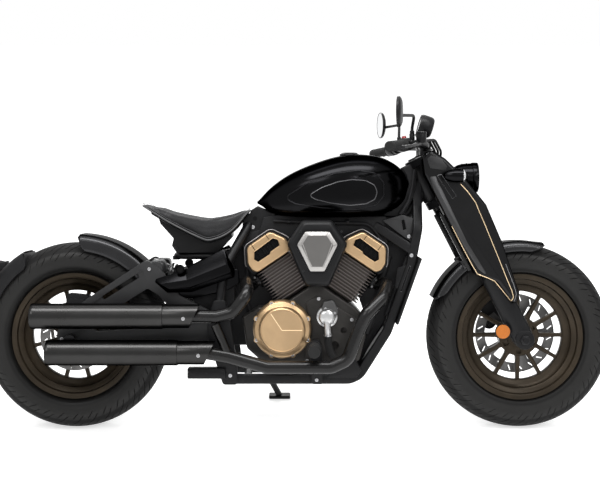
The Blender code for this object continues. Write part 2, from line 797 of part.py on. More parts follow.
def instrument():
    drum = turned(
        [(0.0, -0.024), (0.031, -0.024), (0.037, -0.016), (0.039, 0.020), (0.036, 0.026), (0.033, 0.026),
         (0.032, 0.021), (0.0, 0.021)],
        axis="X", steps=20)
    tilt = Matrix.Translation((1.224, 0, 1.052)) @ Matrix.Rotation(radians(196), 4, "Y")
    drum = moved(drum, tilt)
    drum = moved(drum, TO_STEER)
    post = block((BAR_X - 0.006, -0.018, BAR_Z + BAR_R + SEAT_GAP), (BAR_X + 0.016, 0.018, BAR_Z + 0.052))
    return fuse(drum, post)


def front_caliper():
    """Straddles the disc behind the left fork leg."""
    r_in, r_out = FRONT_DISC_R - DISC_BAND, FRONT_DISC_R + 0.018
    y_in = FRONT_FACE - 0.012
    y_out = FORK_HALF - FORK_LEG_Y - SEAT_GAP
    body = plate(
        rounded([(r_in, -0.046), (r_out - 0.004, -0.050), (r_out, -0.020), (r_out, 0.020),
                 (r_out - 0.004, 0.050), (r_in, 0.046)], 0.010, 2), y_in, FRONT_FACE + DISC_T + 0.022)
    slot = plate([(r_in - 0.02, -0.08), (FRONT_DISC_R + 0.006, -0.08),
                  (FRONT_DISC_R + 0.006, 0.08), (r_in - 0.02, 0.08)],
                 FRONT_FACE - 0.005, FRONT_FACE + SEAT_GAP + DISC_T + 0.005)
    lug = plate(rounded([(r_in + 0.004, -0.052), (r_out - 0.002, -0.052), (r_out - 0.002, 0.046),
                         (r_in + 0.004, 0.046)], 0.01, 2), FRONT_FACE + DISC_T + 0.014, y_out)
    body = fuse(cut(body, slot), lug)
    angle = radians(127) - RAKE
    return moved(body, Matrix.Translation((FORK_OFFSET, 0, 0)) @ Matrix.Rotation(-angle, 4, "Y"))


def front_axle():
    end = FORK_HALF + BOSS_HALF
    shaft = rod((FORK_OFFSET, -end - 0.002, 0), (FORK_OFFSET, end + 0.002, 0), AXLE_R, 12)
    heads = [
        rod((FORK_OFFSET, side * (end + SEAT_GAP), 0), (FORK_OFFSET, side * (end + 0.010), 0), 0.017, 6)
        for side in (-1, 1)
    ]
    collars = []
    for low, high in ((FRONT_FACE + RUN_GAP, FORK_HALF - BOSS_HALF - SEAT_GAP),
                      (-FORK_HALF + BOSS_HALF + SEAT_GAP, -FRONT_FACE - RUN_GAP)):
        collars.append(rod((FORK_OFFSET, low, 0), (FORK_OFFSET, high, 0), 0.018, 12))
    return fuse(shaft, together(*heads, *collars))


node("yoke", yoke(), "satin_black", steering)
node("handlebar", handlebar(), "satin_black", steering)
node("headlight", headlight(), "gloss_black", steering)
node("instrument", instrument(), "satin_black", steering)
node("front_fender", front_fender(), "gloss_black", steering)
node("front_caliper", front_caliper(), "satin_black", steering)
node("front_axle", front_axle(), "steel", steering)
for side, word in ((-1, "right"), (1, "left")):
    node(f"fork_leg_{word}", fork_leg(side), "satin_black", steering)
    node(f"fork_cover_{word}", fork_cover(side), "gloss_black", steering)
    node(f"control_{word}", control(side), "satin_black", steering)
    node(f"mirror_{word}", mirror(side), "satin_black", steering)


# Side stand: its foot on the ground line of the leaned tyres, its pivot's axis from the way it swings

def wheel_low(outer, width):
    """How high the leaned tyre's lowest point is above its upright ground line."""
    half = width / 2
    flat = outer * (1 - cos(pi / WHEEL_STEPS))
    rows = [(0.0, 0.0), (0.0050, half * 0.42), (0.020, half * 0.82)]
    return min((drop + flat) * cos(LEAN) - y * sin(LEAN) for drop, y in rows)


GROUND = min(wheel_low(REAR_TYRE_R, REAR_TYRE_W), wheel_low(FRONT_TYRE_R, FRONT_TYRE_W))
def ground_point(y, height):
    """The point of the leaned ground's normal at this Y, this high above the ground."""
    return (GROUND + height + y * sin(LEAN)) / cos(LEAN)


STAND_FOOT = Vector((STAND_FOOT_X, STAND_FOOT_Y, ground_point(STAND_FOOT_Y, STAND_PAD_T)))
STAND_EYE = Vector((STAND_X, STAND_Y, STAND_Z))
STAND_DOWN = (STAND_FOOT - STAND_EYE).normalized()
STAND_UP = Vector((-1.0, 0.14, 0.10)).normalized()
STAND_AXIS = STAND_DOWN.cross(STAND_UP).normalized()
STAND_SWING = STAND_DOWN.angle(STAND_UP)


# Chassis

HEAD_BASE = steer_to_machine(0, 0, HEAD_LOW)
HEAD_TIP = steer_to_machine(0, 0, HEAD_HIGH)
PLATE_IN = ARM_HALF + SEAT_GAP
PLATE_OUT = PLATE_IN + PIVOT_PLATE_T

DOWN_TUBE = [  # X, Y, Z of the left tube: steering head, down, cradle, pivot plate
    (1.190, 0.012, 0.8575), (1.190, 0.034, 0.768), (1.188, DOWN_HALF, 0.695), (1.165, DOWN_HALF, 0.573),
    (1.082, DOWN_HALF, 0.3415), (0.985, 0.100, 0.197), (0.950, CRADLE_HALF, CRADLE_Z),
    (0.545, CRADLE_HALF, CRADLE_Z),
]

UPRIGHT = [(0.507, 0.127, 0.425), (0.522, 0.124, 0.560), (0.606, 0.040, 0.712)]  # and over the top


def frame():
    head = rod(HEAD_BASE, HEAD_TIP, HEAD_TUBE_R, 16)
    reach = (HEAD_TIP - HEAD_BASE) * 0.3
    stem_bore = bore(HEAD_BASE - reach, HEAD_TIP + reach, STEM_R)
    backbone = tube([(1.216, 0, 0.828), (1.150, 0, 0.735), (1.050, 0, BACKBONE_Z), (0.600, 0, BACKBONE_Z)],
                    BACKBONE_R, 10, bend=[0, 0.06, 0.2, 0], steps=2)
    down = double(tube(DOWN_TUBE, FRAME_R, 8, bend=[0, 0.05, 0.05, 0, 0.08, 0.05, 0.04, 0], steps=2))
    rear = tube([(x, -y, z) for x, y, z in UPRIGHT] + UPRIGHT[::-1],
                FRAME_R, 8, bend=[0, 0.10, 0.04, 0.04, 0.10, 0], steps=2)
    seat_rail = tube([(0.552, -0.096, SEAT_RAIL_Z + 0.012), (0.500, -0.074, SEAT_RAIL_Z),
                      (0.352, -0.046, SEAT_RAIL_Z), (0.352, 0.046, SEAT_RAIL_Z),
                      (0.500, 0.074, SEAT_RAIL_Z), (0.552, 0.096, SEAT_RAIL_Z + 0.012)],
                     SEAT_RAIL_R, 8, bend=[0, 0, 0.03, 0.03, 0, 0], steps=1)
    tail = block((0.338, -0.040, 0.586), (0.362, 0.040, SEAT_RAIL_Z))
    plates = double(plate(
        rounded([(0.468, 0.330), (0.468, 0.385), (0.488, 0.455), (0.528, 0.455), (0.545, 0.385),
                 (0.566, 0.250), (0.572, 0.168), (0.520, 0.168), (0.490, 0.260)], 0.010, 1),
        PLATE_IN, PLATE_OUT))
    box = block((0.400, -PLATE_OUT - 0.012, 0.190), (0.530, -PLATE_IN + 0.020, 0.226))
    brace = double(tube([(1.020, 0.008, 0.722), (1.049, 0.040, 0.700), (1.172, DOWN_HALF, 0.620)],
                        0.0175, 8, bend=[0, 0.04, 0], steps=1))
    web = double(plate([(1.078, 0.700), (1.072, 0.7245), (1.132, 0.741), (1.192, 0.721), (1.160, 0.640)],
                       DOWN_HALF - 0.014, DOWN_HALF - 0.006,
                       [rounded([(1.118, 0.690), (1.130, 0.690), (1.150, 0.722), (1.138, 0.722)], 0.005, 1)]))
    casting = plate(
        rounded([(0.578, 0.672), (0.583, 0.7265), (0.599, 0.7450), (0.607, 0.7480), (0.611, 0.7590), (0.632, 0.7725),
                 (0.680, 0.7525), (0.697, 0.7495), (0.697, 0.704), (0.640, 0.680), (0.598, 0.656)], 0.006, 1),
        -0.046, 0.046)
    mount = double(plate(
        rounded([(1.118, 0.560), (1.160, 0.575), (1.140, 0.482), (1.108, 0.492)], 0.008, 1),
        DOWN_HALF + 0.004, DOWN_HALF + 0.010))
    shoe = double(plate(
        rounded([(0.874, CRADLE_Z + 0.004), (0.874, CRADLE_Z + 0.014), (0.935, 0.262), (0.966, 0.262),
                 (0.990, 0.215), (0.972, CRADLE_Z + 0.004)], 0.006, 1),
        CASE_HALF + SEAT_GAP, CRADLE_HALF + FRAME_R - 0.0005))
    skid = loft([
        [(1.082 + dx, y, 0.3415 + dz) for dx, dz, y in
         ((0.006, -0.004, -DOWN_HALF), (0.006, -0.004, DOWN_HALF), (-0.006, 0.004, DOWN_HALF), (-0.006, 0.004, -DOWN_HALF))],
        [(0.985 + dx, y, 0.197 + dz) for dx, dz, y in
         ((0.006, -0.004, -0.100), (0.006, -0.004, 0.100), (-0.006, 0.004, 0.100), (-0.006, 0.004, -0.100))],
    ])
    bars = [
        rod((0.600, -CRADLE_HALF, CRADLE_Z), (0.600, CRADLE_HALF, CRADLE_Z), 0.013, 8),
        rod((0.945, -CRADLE_HALF, CRADLE_Z), (0.945, CRADLE_HALF, CRADLE_Z), 0.013, 8),
    ]
    seat_of_eye = STAND_EYE - STAND_AXIS * (STAND_HEAD + RUN_GAP)
    lug = fuse(
        rod(seat_of_eye - STAND_AXIS * 0.010, seat_of_eye, STAND_EYE_R + 0.002, 12),
        rod(seat_of_eye - STAND_AXIS * 0.009, (STAND_X, CRADLE_HALF, CRADLE_Z), 0.010, 8, 0.015),
        rod(seat_of_eye - STAND_AXIS * 0.004, STAND_EYE + STAND_AXIS * (STAND_HEAD + 0.004), STAND_PIN_R, 8),
    )
    across = Vector((0, 0.120, 0))
    cross = rod(Vector(SHOCK_HIGH) - across, Vector(SHOCK_HIGH) + across, CROSS_R, 12)
    body = fuse(head, backbone, down, rear, casting, cross, seat_rail, tail, plates, box, brace, web, mount, shoe,
                skid, *bars, lug)
    return cut(body, stem_bore)


node("frame", frame(), "satin_black")


def swingarm():
    outer = rounded(
        [(-0.044, 0.296), (-0.044, 0.352), (-0.012, 0.402), (0.053, 0.457), (0.258, 0.592),
         (0.306, 0.560), (0.372, 0.470), (0.530, 0.388), (0.536, 0.328), (0.480, 0.316), (0.030, 0.284)],
        0.020, 1)
    hole = rounded([(0.062, 0.345), (0.118, 0.402), (0.262, 0.494), (0.300, 0.470), (0.345, 0.420),
                    (0.440, 0.368)], 0.010, 1)
    slot = rounded([(0.105, 0.466), (0.112, 0.454), (0.235, 0.532), (0.228, 0.545)], 0.005, 1)
    bolt_hole = ring_points((0, REAR_TYRE_R), AXLE_R / cos(pi / 16) + SEAT_GAP, 16)
    sides = double(plate(outer, ARM_HALF - ARM_T, ARM_HALF, [hole, slot, bolt_hole]))
    across = Vector((0, ARM_HALF - 0.005, 0))
    bridge = rod(Vector(SHOCK_LOW) - across, Vector(SHOCK_LOW) + across, BRIDGE_R, 12)
    pivot = rod((PIVOT_X, -ARM_HALF + 0.002, PIVOT_Z), (PIVOT_X, ARM_HALF - 0.002, PIVOT_Z), 0.020, 12)
    low = rod((0.400, -ARM_HALF + 0.006, 0.348), (0.400, ARM_HALF - 0.006, 0.348), 0.012, 8)
    return fuse(sides, bridge, pivot, low)


def shock():
    """Damper with its coil spring, from the swingarm's bridge to the frame's cross tube."""
    low, high = Vector(SHOCK_LOW), Vector(SHOCK_HIGH)
    span = (high - low).length
    turns = 6
    pitch = (span - 0.110) / turns
    profile = [(0.0, 0.0), (0.012, 0.0), (0.012, 0.034), (SHOCK_R - 0.004, 0.034), (SHOCK_R - 0.004, 0.044)]
    for k in range(turns):
        profile += [(SHOCK_R, 0.044 + pitch * (k + 0.30)), (SHOCK_R, 0.044 + pitch * (k + 0.70)),
                    (SHOCK_R - 0.009, 0.044 + pitch * (k + 1.0))]
    profile += [(SHOCK_R - 0.002, span - 0.064), (SHOCK_R - 0.002, span - 0.052), (0.014, span - 0.048),
                (0.014, span), (0.0, span)]
    body = turned(profile, axis="Z", steps=10)
    body = moved(body, Matrix.Translation(low) @ (high - low).to_track_quat("Z", "Y").to_matrix().to_4x4())
    eyes = [bore(end - Vector((0, 0.05, 0)), end + Vector((0, 0.05, 0)), radius, 12)
            for end, radius in ((low, BRIDGE_R), (high, CROSS_R))]
    return cut(body, *eyes)


def rear_axle():
    shaft = rod((0, -ARM_HALF - 0.018, REAR_TYRE_R), (0, ARM_HALF + 0.018, REAR_TYRE_R), AXLE_R, 12)
    nuts = [
        rod((0, side * (ARM_HALF + SEAT_GAP + (CARRIER_T + SEAT_GAP if side > 0 else 0)), REAR_TYRE_R),
            (0, side * (ARM_HALF + 0.022), REAR_TYRE_R), 0.018, 6)
        for side in (-1, 1)
    ]
    collar = rod((0, REAR_LEFT_FACE + SPROCKET_T + RUN_GAP, REAR_TYRE_R),
                 (0, ARM_HALF - ARM_T - SEAT_GAP, REAR_TYRE_R), 0.018, 14)
    return fuse(shaft, together(*nuts, collar))


CALIPER_ANGLE = radians(84)


def rear_caliper():
    """Straddles the rear disc, on a bracket between the hub and the swingarm."""
    r_in, r_out = REAR_DISC_R - DISC_BAND, REAR_DISC_R + 0.026
    disc_low = REAR_RIGHT_FACE - SEAT_GAP - DISC_T
    body = plate(
        rounded([(r_in, -0.034), (r_out, -0.040), (r_out, 0.040), (r_in, 0.034)], 0.010, 2),
        disc_low - 0.026, REAR_RIGHT_FACE + 0.022)
    slot = plate([(r_in - 0.02, -0.06), (REAR_DISC_R + 0.006, -0.06),
                  (REAR_DISC_R + 0.006, 0.06), (r_in - 0.02, 0.06)],
                 disc_low - 0.005, REAR_RIGHT_FACE + 0.005)
    body = cut(body, slot)
    y_low, y_high = -ARM_HALF + ARM_T + SEAT_GAP, disc_low - 0.018
    arm = plate(rounded([(-0.022, -0.022), (0.020, -0.026), (r_out - 0.010, -0.030), (r_out - 0.010, 0.030),
                         (0.020, 0.026), (-0.022, 0.022)], 0.008, 2), y_low, y_high)
    collar = rod((0, y_low + 0.001, 0), (0, REAR_RIGHT_FACE - RUN_GAP, 0), 0.018, 14)
    body = cut(fuse(body, arm, collar), bore((0, -0.2, 0), (0, 0, 0), AXLE_R, 16))
    return moved(body, Matrix.Translation((0, 0, REAR_TYRE_R)) @ Matrix.Rotation(-CALIPER_ANGLE, 4, "Y"))


REAR_FENDER_IN = 0.3455
REAR_FENDER_OUT = 0.351
REAR_FENDER_HALF = 0.0875


def rear_fender():
    shell = arch_fender(REAR_FENDER_IN, REAR_FENDER_OUT, REAR_FENDER_HALF, 0.300,
                        radians(36), radians(87), 8)
    shell = moved(shell, Matrix.Translation((0, 0, REAR_TYRE_R)))
    tabs = double(block((0.224, REAR_FENDER_HALF - 0.004, 0.534),
                        (0.250, ARM_HALF - ARM_T - SEAT_GAP, 0.562)))
    return fuse(shell, tabs)


HUGGER_IN, HUGGER_OUT, HUGGER_HALF = 0.334, 0.339, 0.0845


def plate_carrier():
    """The guard behind the tyre with the lamp and plate bracket, held by an arm on the left."""
    shell = arch_fender(HUGGER_IN, HUGGER_OUT, HUGGER_HALF, 0.290, radians(121), radians(172), 8)
    shell = moved(shell, Matrix.Translation((0, 0, REAR_TYRE_R)))
    arm = plate(rounded([(0.026, 0.300), (0.026, 0.346), (-0.030, 0.352), (-0.235, 0.480), (-0.300, 0.470),
                         (-0.300, 0.420), (-0.230, 0.425), (-0.040, 0.296)], 0.014, 2),
                ARM_HALF + SEAT_GAP, ARM_HALF + SEAT_GAP + CARRIER_T,
                [ring_points((0, REAR_TYRE_R), AXLE_R / cos(pi / 16) + SEAT_GAP, 16)])
    link = block((-0.290, HUGGER_HALF - 0.004, 0.432), (-0.250, ARM_HALF + 0.006, 0.462))
    neck = loft([
        [(-0.247, y, z) for y, z in ((-NECK, 0.549), (NECK, 0.549), (NECK, 0.580), (-NECK, 0.580))],
        [(-0.345, y, z) for y, z in ((-NECK, 0.540), (NECK, 0.540), (NECK, 0.560), (-NECK, 0.560))],
    ])
    board = moved(block((-0.003, -0.090, -0.065), (0.003, 0.090, 0.065)),
                  Matrix.Translation((-0.372, 0, 0.472)) @ Matrix.Rotation(radians(18), 4, "Y"))
    strut = loft([
        [(-0.325, y, z) for y, z in ((-0.020, 0.544), (0.020, 0.544), (0.020, 0.557), (-0.020, 0.557))],
        [(-0.366, y, z) for y, z in ((-0.020, 0.492), (0.020, 0.492), (0.020, 0.510), (-0.020, 0.510))],
    ])
    return fuse(shell, arm, link, neck, strut, board, rear_signal(-1), rear_signal(1))


def tail_light():
    body = turned(
        [(0.0, 0.0), (0.026, 0.0), (0.030, 0.008), (0.030, 0.030), (0.026, 0.036), (0.0, 0.038)],
        axis="X", steps=20)
    body = moved(body, Matrix.Translation((-0.345 - SEAT_GAP, 0, 0.576)) @ Matrix.Rotation(pi, 4, "Z"))
    return body


def rear_signal(side):
    """A bullet lamp on a stalk from the plate carrier's neck."""
    bullet = turned(SIGNAL_PROFILE, axis="X", steps=10)
    bullet = moved(bullet, Matrix.Translation((-0.300, side * 0.115, 0.552)) @ Matrix.Rotation(pi, 4, "Z"))
    stalk = rod((-0.300, side * (NECK - 0.006), 0.552), (-0.300, side * 0.115, 0.552), 0.0085, 8)
    return fuse(bullet, stalk)


TANK_SECTIONS = [  # X, bottom, top, half width
    (0.636, 0.779, 0.792, 0.030), (0.680, 0.757, 0.838, 0.076), (0.740, 0.7475, 0.881, 0.108),
    (0.815, 0.7465, 0.916, 0.132), (0.905, 0.7465, 0.945, 0.144), (0.985, 0.7475, 0.954, 0.140),
    (1.060, 0.752, 0.945, 0.122), (1.115, 0.773, 0.919, 0.090), (1.145, 0.797, 0.890, 0.058),
    (1.158, 0.826, 0.862, 0.024),
]


def tank():
    rings = []
    for x, low, high, half in TANK_SECTIONS:
        mid, reach = (low + high) / 2, (high - low) / 2
        ring = []
        for k in range(16):
            angle = 2 * pi * k / 16
            c, s = cos(angle), sin(angle)
            power = 0.60 if s > 0 else 0.42
            y = half * abs(c) ** power * (1 if c > 0 else -1)
            z = mid + reach * (abs(s) ** (0.75 if s > 0 else 0.42)) * (1 if s > 0 else -1)
            ring.append((x, y, z))
        rings.append(ring)
    body = loft(rings)
    cap = turned([(0.0, 0.0), (0.034, 0.0), (0.034, 0.008), (0.027, 0.013), (0.0, 0.013)], axis="Z", steps=20)
    cap = moved(cap, Matrix.Translation((0.955, 0, 0.9475)))
    saddles = [block((x, -0.026, BACKBONE_Z), (x + 0.030, 0.026, 0.765)) for x in (0.700, 0.940)]
    spine = bore((0.60, 0, BACKBONE_Z), (1.08, 0, BACKBONE_Z), BACKBONE_R)
    return cut(fuse(body, cap, *saddles), spine)


SEAT_SECTIONS = [  # X, piping line, top, half width
    (0.240, 0.770, 0.778, 0.074), (0.290, 0.7425, 0.766, 0.112), (0.3425, 0.7135, 0.748, 0.138),
    (0.440, 0.666, 0.729, 0.152), (0.4818, 0.658, 0.730, 0.149), (0.5446, 0.686, 0.745, 0.122),
    (0.602, 0.7505, 0.771, 0.080),
]


def seat():
    rings = []
    for x, low, high, half in SEAT_SECTIONS:
        dish = min(0.010, (high - low) * 0.3)
        body = [
            (-half * 0.93, low), (0.0, low), (half * 0.93, low), (half, low + (high - low) * 0.35),
            (half * 0.90, high - (high - low) * 0.10), (half * 0.66, high), (half * 0.30, high - dish * 0.7),
            (0.0, high - dish), (-half * 0.30, high - dish * 0.7), (-half * 0.66, high),
            (-half * 0.90, high - (high - low) * 0.10), (-half, low + (high - low) * 0.35),
        ]
        rings.append([(x, y, z) for y, z in body])
    return loft(rings)


def seat_base():
    """The pan under the seat follows its underside and stands on the seat rail."""
    inner = [s for s in SEAT_SECTIONS if 0.28 < s[0] < 0.56]
    top = [(x, low - SEAT_GAP) for x, low, high, half in inner]
    foot = SEAT_RAIL_Z + SEAT_RAIL_R + 2 * SEAT_GAP
    outline = top + [(0.5446, 0.664), (0.496, foot), (0.356, foot), (0.339, 0.637), (0.345, 0.662), (0.300, 0.712)]
    return bevelled(plate(outline, -0.078, 0.078), 0.004)


def side_cover():
    """The right one, with a peg that reaches in to the frame's upright."""
    outline = rounded([(0.524, 0.631), (0.391, 0.559), (0.294, 0.528), (0.289, 0.5175), (0.332, 0.481),
                       (0.415, 0.483), (0.560, 0.534), (0.560, 0.560)], 0.008, 1)
    shell = bevelled(plate(outline, -PANEL_IN - 0.024, -PANEL_IN), 0.007, 2, angle=50)
    peg = block((0.500, -PANEL_IN - 0.004, 0.566), (0.524, -PANEL_IN + 0.012, 0.590))
    upright = tube([(x, -y, z) for x, y, z in UPRIGHT], FRAME_R + 0.0008, 10, bend=[0, 0.10, 0], steps=3)
    return cut(fuse(shell, peg), upright)


node("swingarm", swingarm(), "satin_black")
node("shock", shock(), "steel")
node("rear_axle", rear_axle(), "steel")
node("rear_caliper", rear_caliper(), "satin_black")
node("rear_fender", rear_fender(), "gloss_black")
node("plate_carrier", plate_carrier(), "matt_black")
node("tail_light", tail_light(), "red_lens")
node("tank", tank(), "gloss_black")
node("seat", seat(), "seat_hide")
node("seat_base", seat_base(), "matt_black")
right_cover = node("side_cover_right", side_cover(), "gloss_black")
node("side_cover_left", mirrored(right_cover), "gloss_black")


# Engine

CASE_OUTLINE = [
    (0.585, 0.395), (0.600, 0.290), (0.660, 0.236), (0.800, 0.2145), (0.930, 0.2145), (0.985, 0.250),
    (1.006, 0.330), (1.000, 0.392), (0.971, 0.4262), (0.845, 0.5110), (0.831, 0.5110), (0.705, 0.4262),
    (0.640, 0.430),
]
CHAIN_Y = REAR_LEFT_FACE + SEAT_GAP + SPROCKET_T / 2


def cylinder_frame(side):
    """Up the cylinder is +z; side is +1 for the front one."""
    return Matrix.Translation((CRANK_X, 0, CRANK_Z)) @ Matrix.Rotation(side * CYL_ANGLE, 4, "Y")


def engine_case():
    body = bevelled(plate(CASE_OUTLINE, -CASE_HALF, CASE_HALF), 0.012, 1, angle=25)
    pocket = block((0.560, CHAIN_Y - 0.018, 0.270), (0.674, CASE_HALF + 0.02, 0.440))
    shaft = rod((DRIVE_X, CHAIN_Y - 0.030, DRIVE_Z), (DRIVE_X, CHAIN_Y + 0.012, DRIVE_Z), 0.016, 12)
    teeth = []
    for k in range(DRIVE_TEETH):
        for share, depth in ((-0.16, 0.0), (0.16, 0.0), (0.50, 0.006)):
            angle = (k + share) * 2 * pi / DRIVE_TEETH
            teeth.append((DRIVE_X + (DRIVE_R - depth) * cos(angle), DRIVE_Z + (DRIVE_R - depth) * sin(angle)))
    gear = plate(teeth, CHAIN_Y - SPROCKET_T / 2, CHAIN_Y + SPROCKET_T / 2)
    body = fuse(cut(body, pocket), shaft, gear)
    for side in (-1, 1):
        # a flat seat for each cylinder's foot
        foot = moved(block((-0.09, -0.2, CYL_BASE - SEAT_GAP), (0.09, 0.2, CYL_BASE + 0.06)), cylinder_frame(side))
        body = cut(body, foot)
    return body


def cylinder(side):
    """Finned barrel and head, built upright and leaned into place."""
    barrel = bevelled(block((-0.060, -0.070, CYL_BASE), (0.060, 0.070, CYL_TOP + 0.0075)), 0.012)
    step = (CYL_TOP - CYL_BASE - 0.016) / (FINS - 1)
    fins = []
    for k in range(FINS):
        low = CYL_BASE + 0.012 + k * step
        corner = rounded([(-FIN_HALF_L, -FIN_HALF_W), (FIN_HALF_L, -FIN_HALF_W),
                          (FIN_HALF_L, FIN_HALF_W), (-FIN_HALF_L, FIN_HALF_W)], 0.018, 1)
        fins.append(slab(corner, low, low + 0.0042))
    body = fuse(barrel, together(*fins))
    return moved(body, cylinder_frame(side))


COVER_LOW = CYL_TOP + 0.0075 + SEAT_GAP
COVER_HALF_Y = 0.112


def head_cover(side):
    """The head's outer casing: a D seen from the side, with a slot pressed in each face."""
    d = rounded([(-0.078, COVER_LOW), (0.078, COVER_LOW), (0.078, COVER_LOW + 0.045),
                 (0.048, COVER_LOW + 0.094), (-0.048, COVER_LOW + 0.094), (-0.078, COVER_LOW + 0.045)], 0.022, 2)
    body = bevelled(plate(d, -COVER_HALF_Y, COVER_HALF_Y), 0.006, 1, angle=50)
    slots = []
    for y in (-1, 1):
        low, high = sorted((y * (COVER_HALF_Y - 0.008), y * (COVER_HALF_Y + 0.010)))
        slot = rounded([(-0.046, COVER_LOW + 0.026), (0.046, COVER_LOW + 0.026),
                        (0.040, COVER_LOW + 0.062), (-0.040, COVER_LOW + 0.062)], 0.014, 2)
        slots.append(plate(slot, low, high))
    return moved(cut(body, together(*slots)), cylinder_frame(side))


def clutch_cover():
    profile = [
        (0.0, 0.0), (CLUTCH_R, 0.0), (CLUTCH_R, 0.030), (0.092, 0.040), (0.078, 0.044), (0.074, 0.058),
        (0.068, 0.064), (0.0, 0.064),
    ]
    body = turned([(r, -h) for r, h in profile], centre=(CLUTCH_X, -CASE_HALF - SEAT_GAP, CLUTCH_Z), steps=24)
    bosses = []
    for k in range(8):
        angle = 2 * pi * (k + 0.5) / 8
        x, z = CLUTCH_X + 0.094 * cos(angle), CLUTCH_Z + 0.094 * sin(angle)
        bosses.append(rod((x, -CASE_HALF - SEAT_GAP, z), (x, -CASE_HALF - 0.036, z), 0.0095, 6))
    return fuse(body, *bosses)


def generator_cover():
    profile = [(0.0, 0.0), (0.088, 0.0), (0.088, 0.024), (0.078, 0.036), (0.050, GENERATOR_T),
               (0.046, 0.036), (0.0, 0.036)]
    return turned(profile, centre=(CRANK_X, CASE_HALF + SEAT_GAP, CRANK_Z), steps=20)


def water_pump():
    back = -CASE_HALF - SEAT_GAP
    body = rod((0.873, back, 0.399), (0.873, back - 0.040, 0.399), 0.034, 18)
    lobe = plate(rounded([(0.842, 0.392), (0.862, 0.452), (0.894, 0.458), (0.912, 0.420), (0.900, 0.380)], 0.012, 2),
                 back - 0.026, back)
    outlet = tube([(0.873, back - 0.028, 0.400), (0.875, back - 0.030, 0.350), (0.878, back - 0.016, 0.300),
                   (0.895, back - 0.012, 0.262)], 0.0115, 10, bend=[0, 0.03, 0.03, 0], steps=2)
    return fuse(body, lobe, outlet)


def intake():
    return bevelled(block((0.806, -0.100, 0.566), (0.870, 0.085, BACKBONE_Z - BACKBONE_R * cos(pi / 10) - SEAT_GAP)), 0.010)


AIR_OUTLINE = [
    (AIR_X - 0.050, 0.728), (AIR_X + 0.050, 0.728), (AIR_X + 0.102, 0.650), (AIR_X + 0.040, 0.508),
    (AIR_X - 0.040, 0.508), (AIR_X - 0.102, 0.650),
]


def air_cleaner():
    outline = rounded(AIR_OUTLINE, 0.016, 2)
    shell = bevelled(plate(outline, AIR_OUT, AIR_IN - 0.030), 0.012, 2, angle=40)
    face = rounded([(AIR_X - 0.0405, 0.692), (AIR_X + 0.0405, 0.692), (AIR_X + 0.0685, 0.648),
                    (AIR_X + 0.024, 0.5586), (AIR_X - 0.024, 0.5586), (AIR_X - 0.0685, 0.648)], 0.008, 1)
    dish = plate(face, AIR_OUT - 0.02, AIR_OUT + 0.006)
    neck = block((0.815, AIR_IN - 0.045, 0.590), (0.861, -0.090, 0.680))
    return fuse(cut(shell, dish), neck, intake())


def air_insert():
    face = rounded([(AIR_X - 0.0395, 0.691), (AIR_X + 0.0395, 0.691), (AIR_X + 0.067, 0.648),
                    (AIR_X + 0.0235, 0.560), (AIR_X - 0.0235, 0.560), (AIR_X - 0.067, 0.648)], 0.008, 1)
    return bevelled(plate(face, AIR_OUT - 0.004, AIR_OUT + 0.006 - SEAT_GAP), 0.003)


def radiator():
    """Its core hangs between the down tubes, its front plate before them."""
    low, high = Vector((1.098, 0, 0.386)), Vector((1.172, 0, 0.592))
    turn = Matrix.Translation((low + high) / 2) @ Matrix.Rotation(atan2((high - low).x, (high - low).z), 4, "Y")
    half = (high - low).length / 2
    gap = DOWN_HALF - FRAME_R - 0.001
    core = block((-0.024, -gap, -half), (FRAME_R + 0.004, gap, half))
    front = bevelled(block((FRAME_R + SEAT_GAP, -0.108, -half - 0.012), (FRAME_R + 0.014, 0.108, half + 0.012)), 0.004)
    grooves = [
        block((FRAME_R + 0.010, -0.098, -half + 0.004 + k * (2 * half - 0.008) / 9 - 0.004),
              (FRAME_R + 0.020, 0.098, -half + 0.004 + k * (2 * half - 0.008) / 9 + 0.004))
        for k in range(10)
    ]
    return moved(cut(fuse(core, front), together(*grooves)), turn)


node("engine_case", engine_case(), "satin_black")
node("clutch_cover", clutch_cover(), "gold_cover")
node("generator_cover", generator_cover(), "satin_black")
node("water_pump", water_pump(), "grey_alloy")
node("air_cleaner", air_cleaner(), "satin_black")
node("air_cleaner_insert", air_insert(), "grey_alloy")
node("radiator", radiator(), "matt_black")
for side, word in ((-1, "rear"), (1, "front")):
    node(f"cylinder_{word}", cylinder(side), "finned_iron")
    node(f"head_cover_{word}", head_cover(side), "gold_cover")


# Exhausts: each pipe leaves the outer face of its cylinder

def port(side):
    """The port's point and the way it faces, on the cylinder's outer side."""
    frame_of = cylinder_frame(side)
    point = frame_of @ Vector((side * (FIN_HALF_L + SEAT_GAP), -0.030, CYL_TOP - 0.022))
    facing = frame_of.to_3x3() @ Vector((side, 0, 0))
    return point, facing


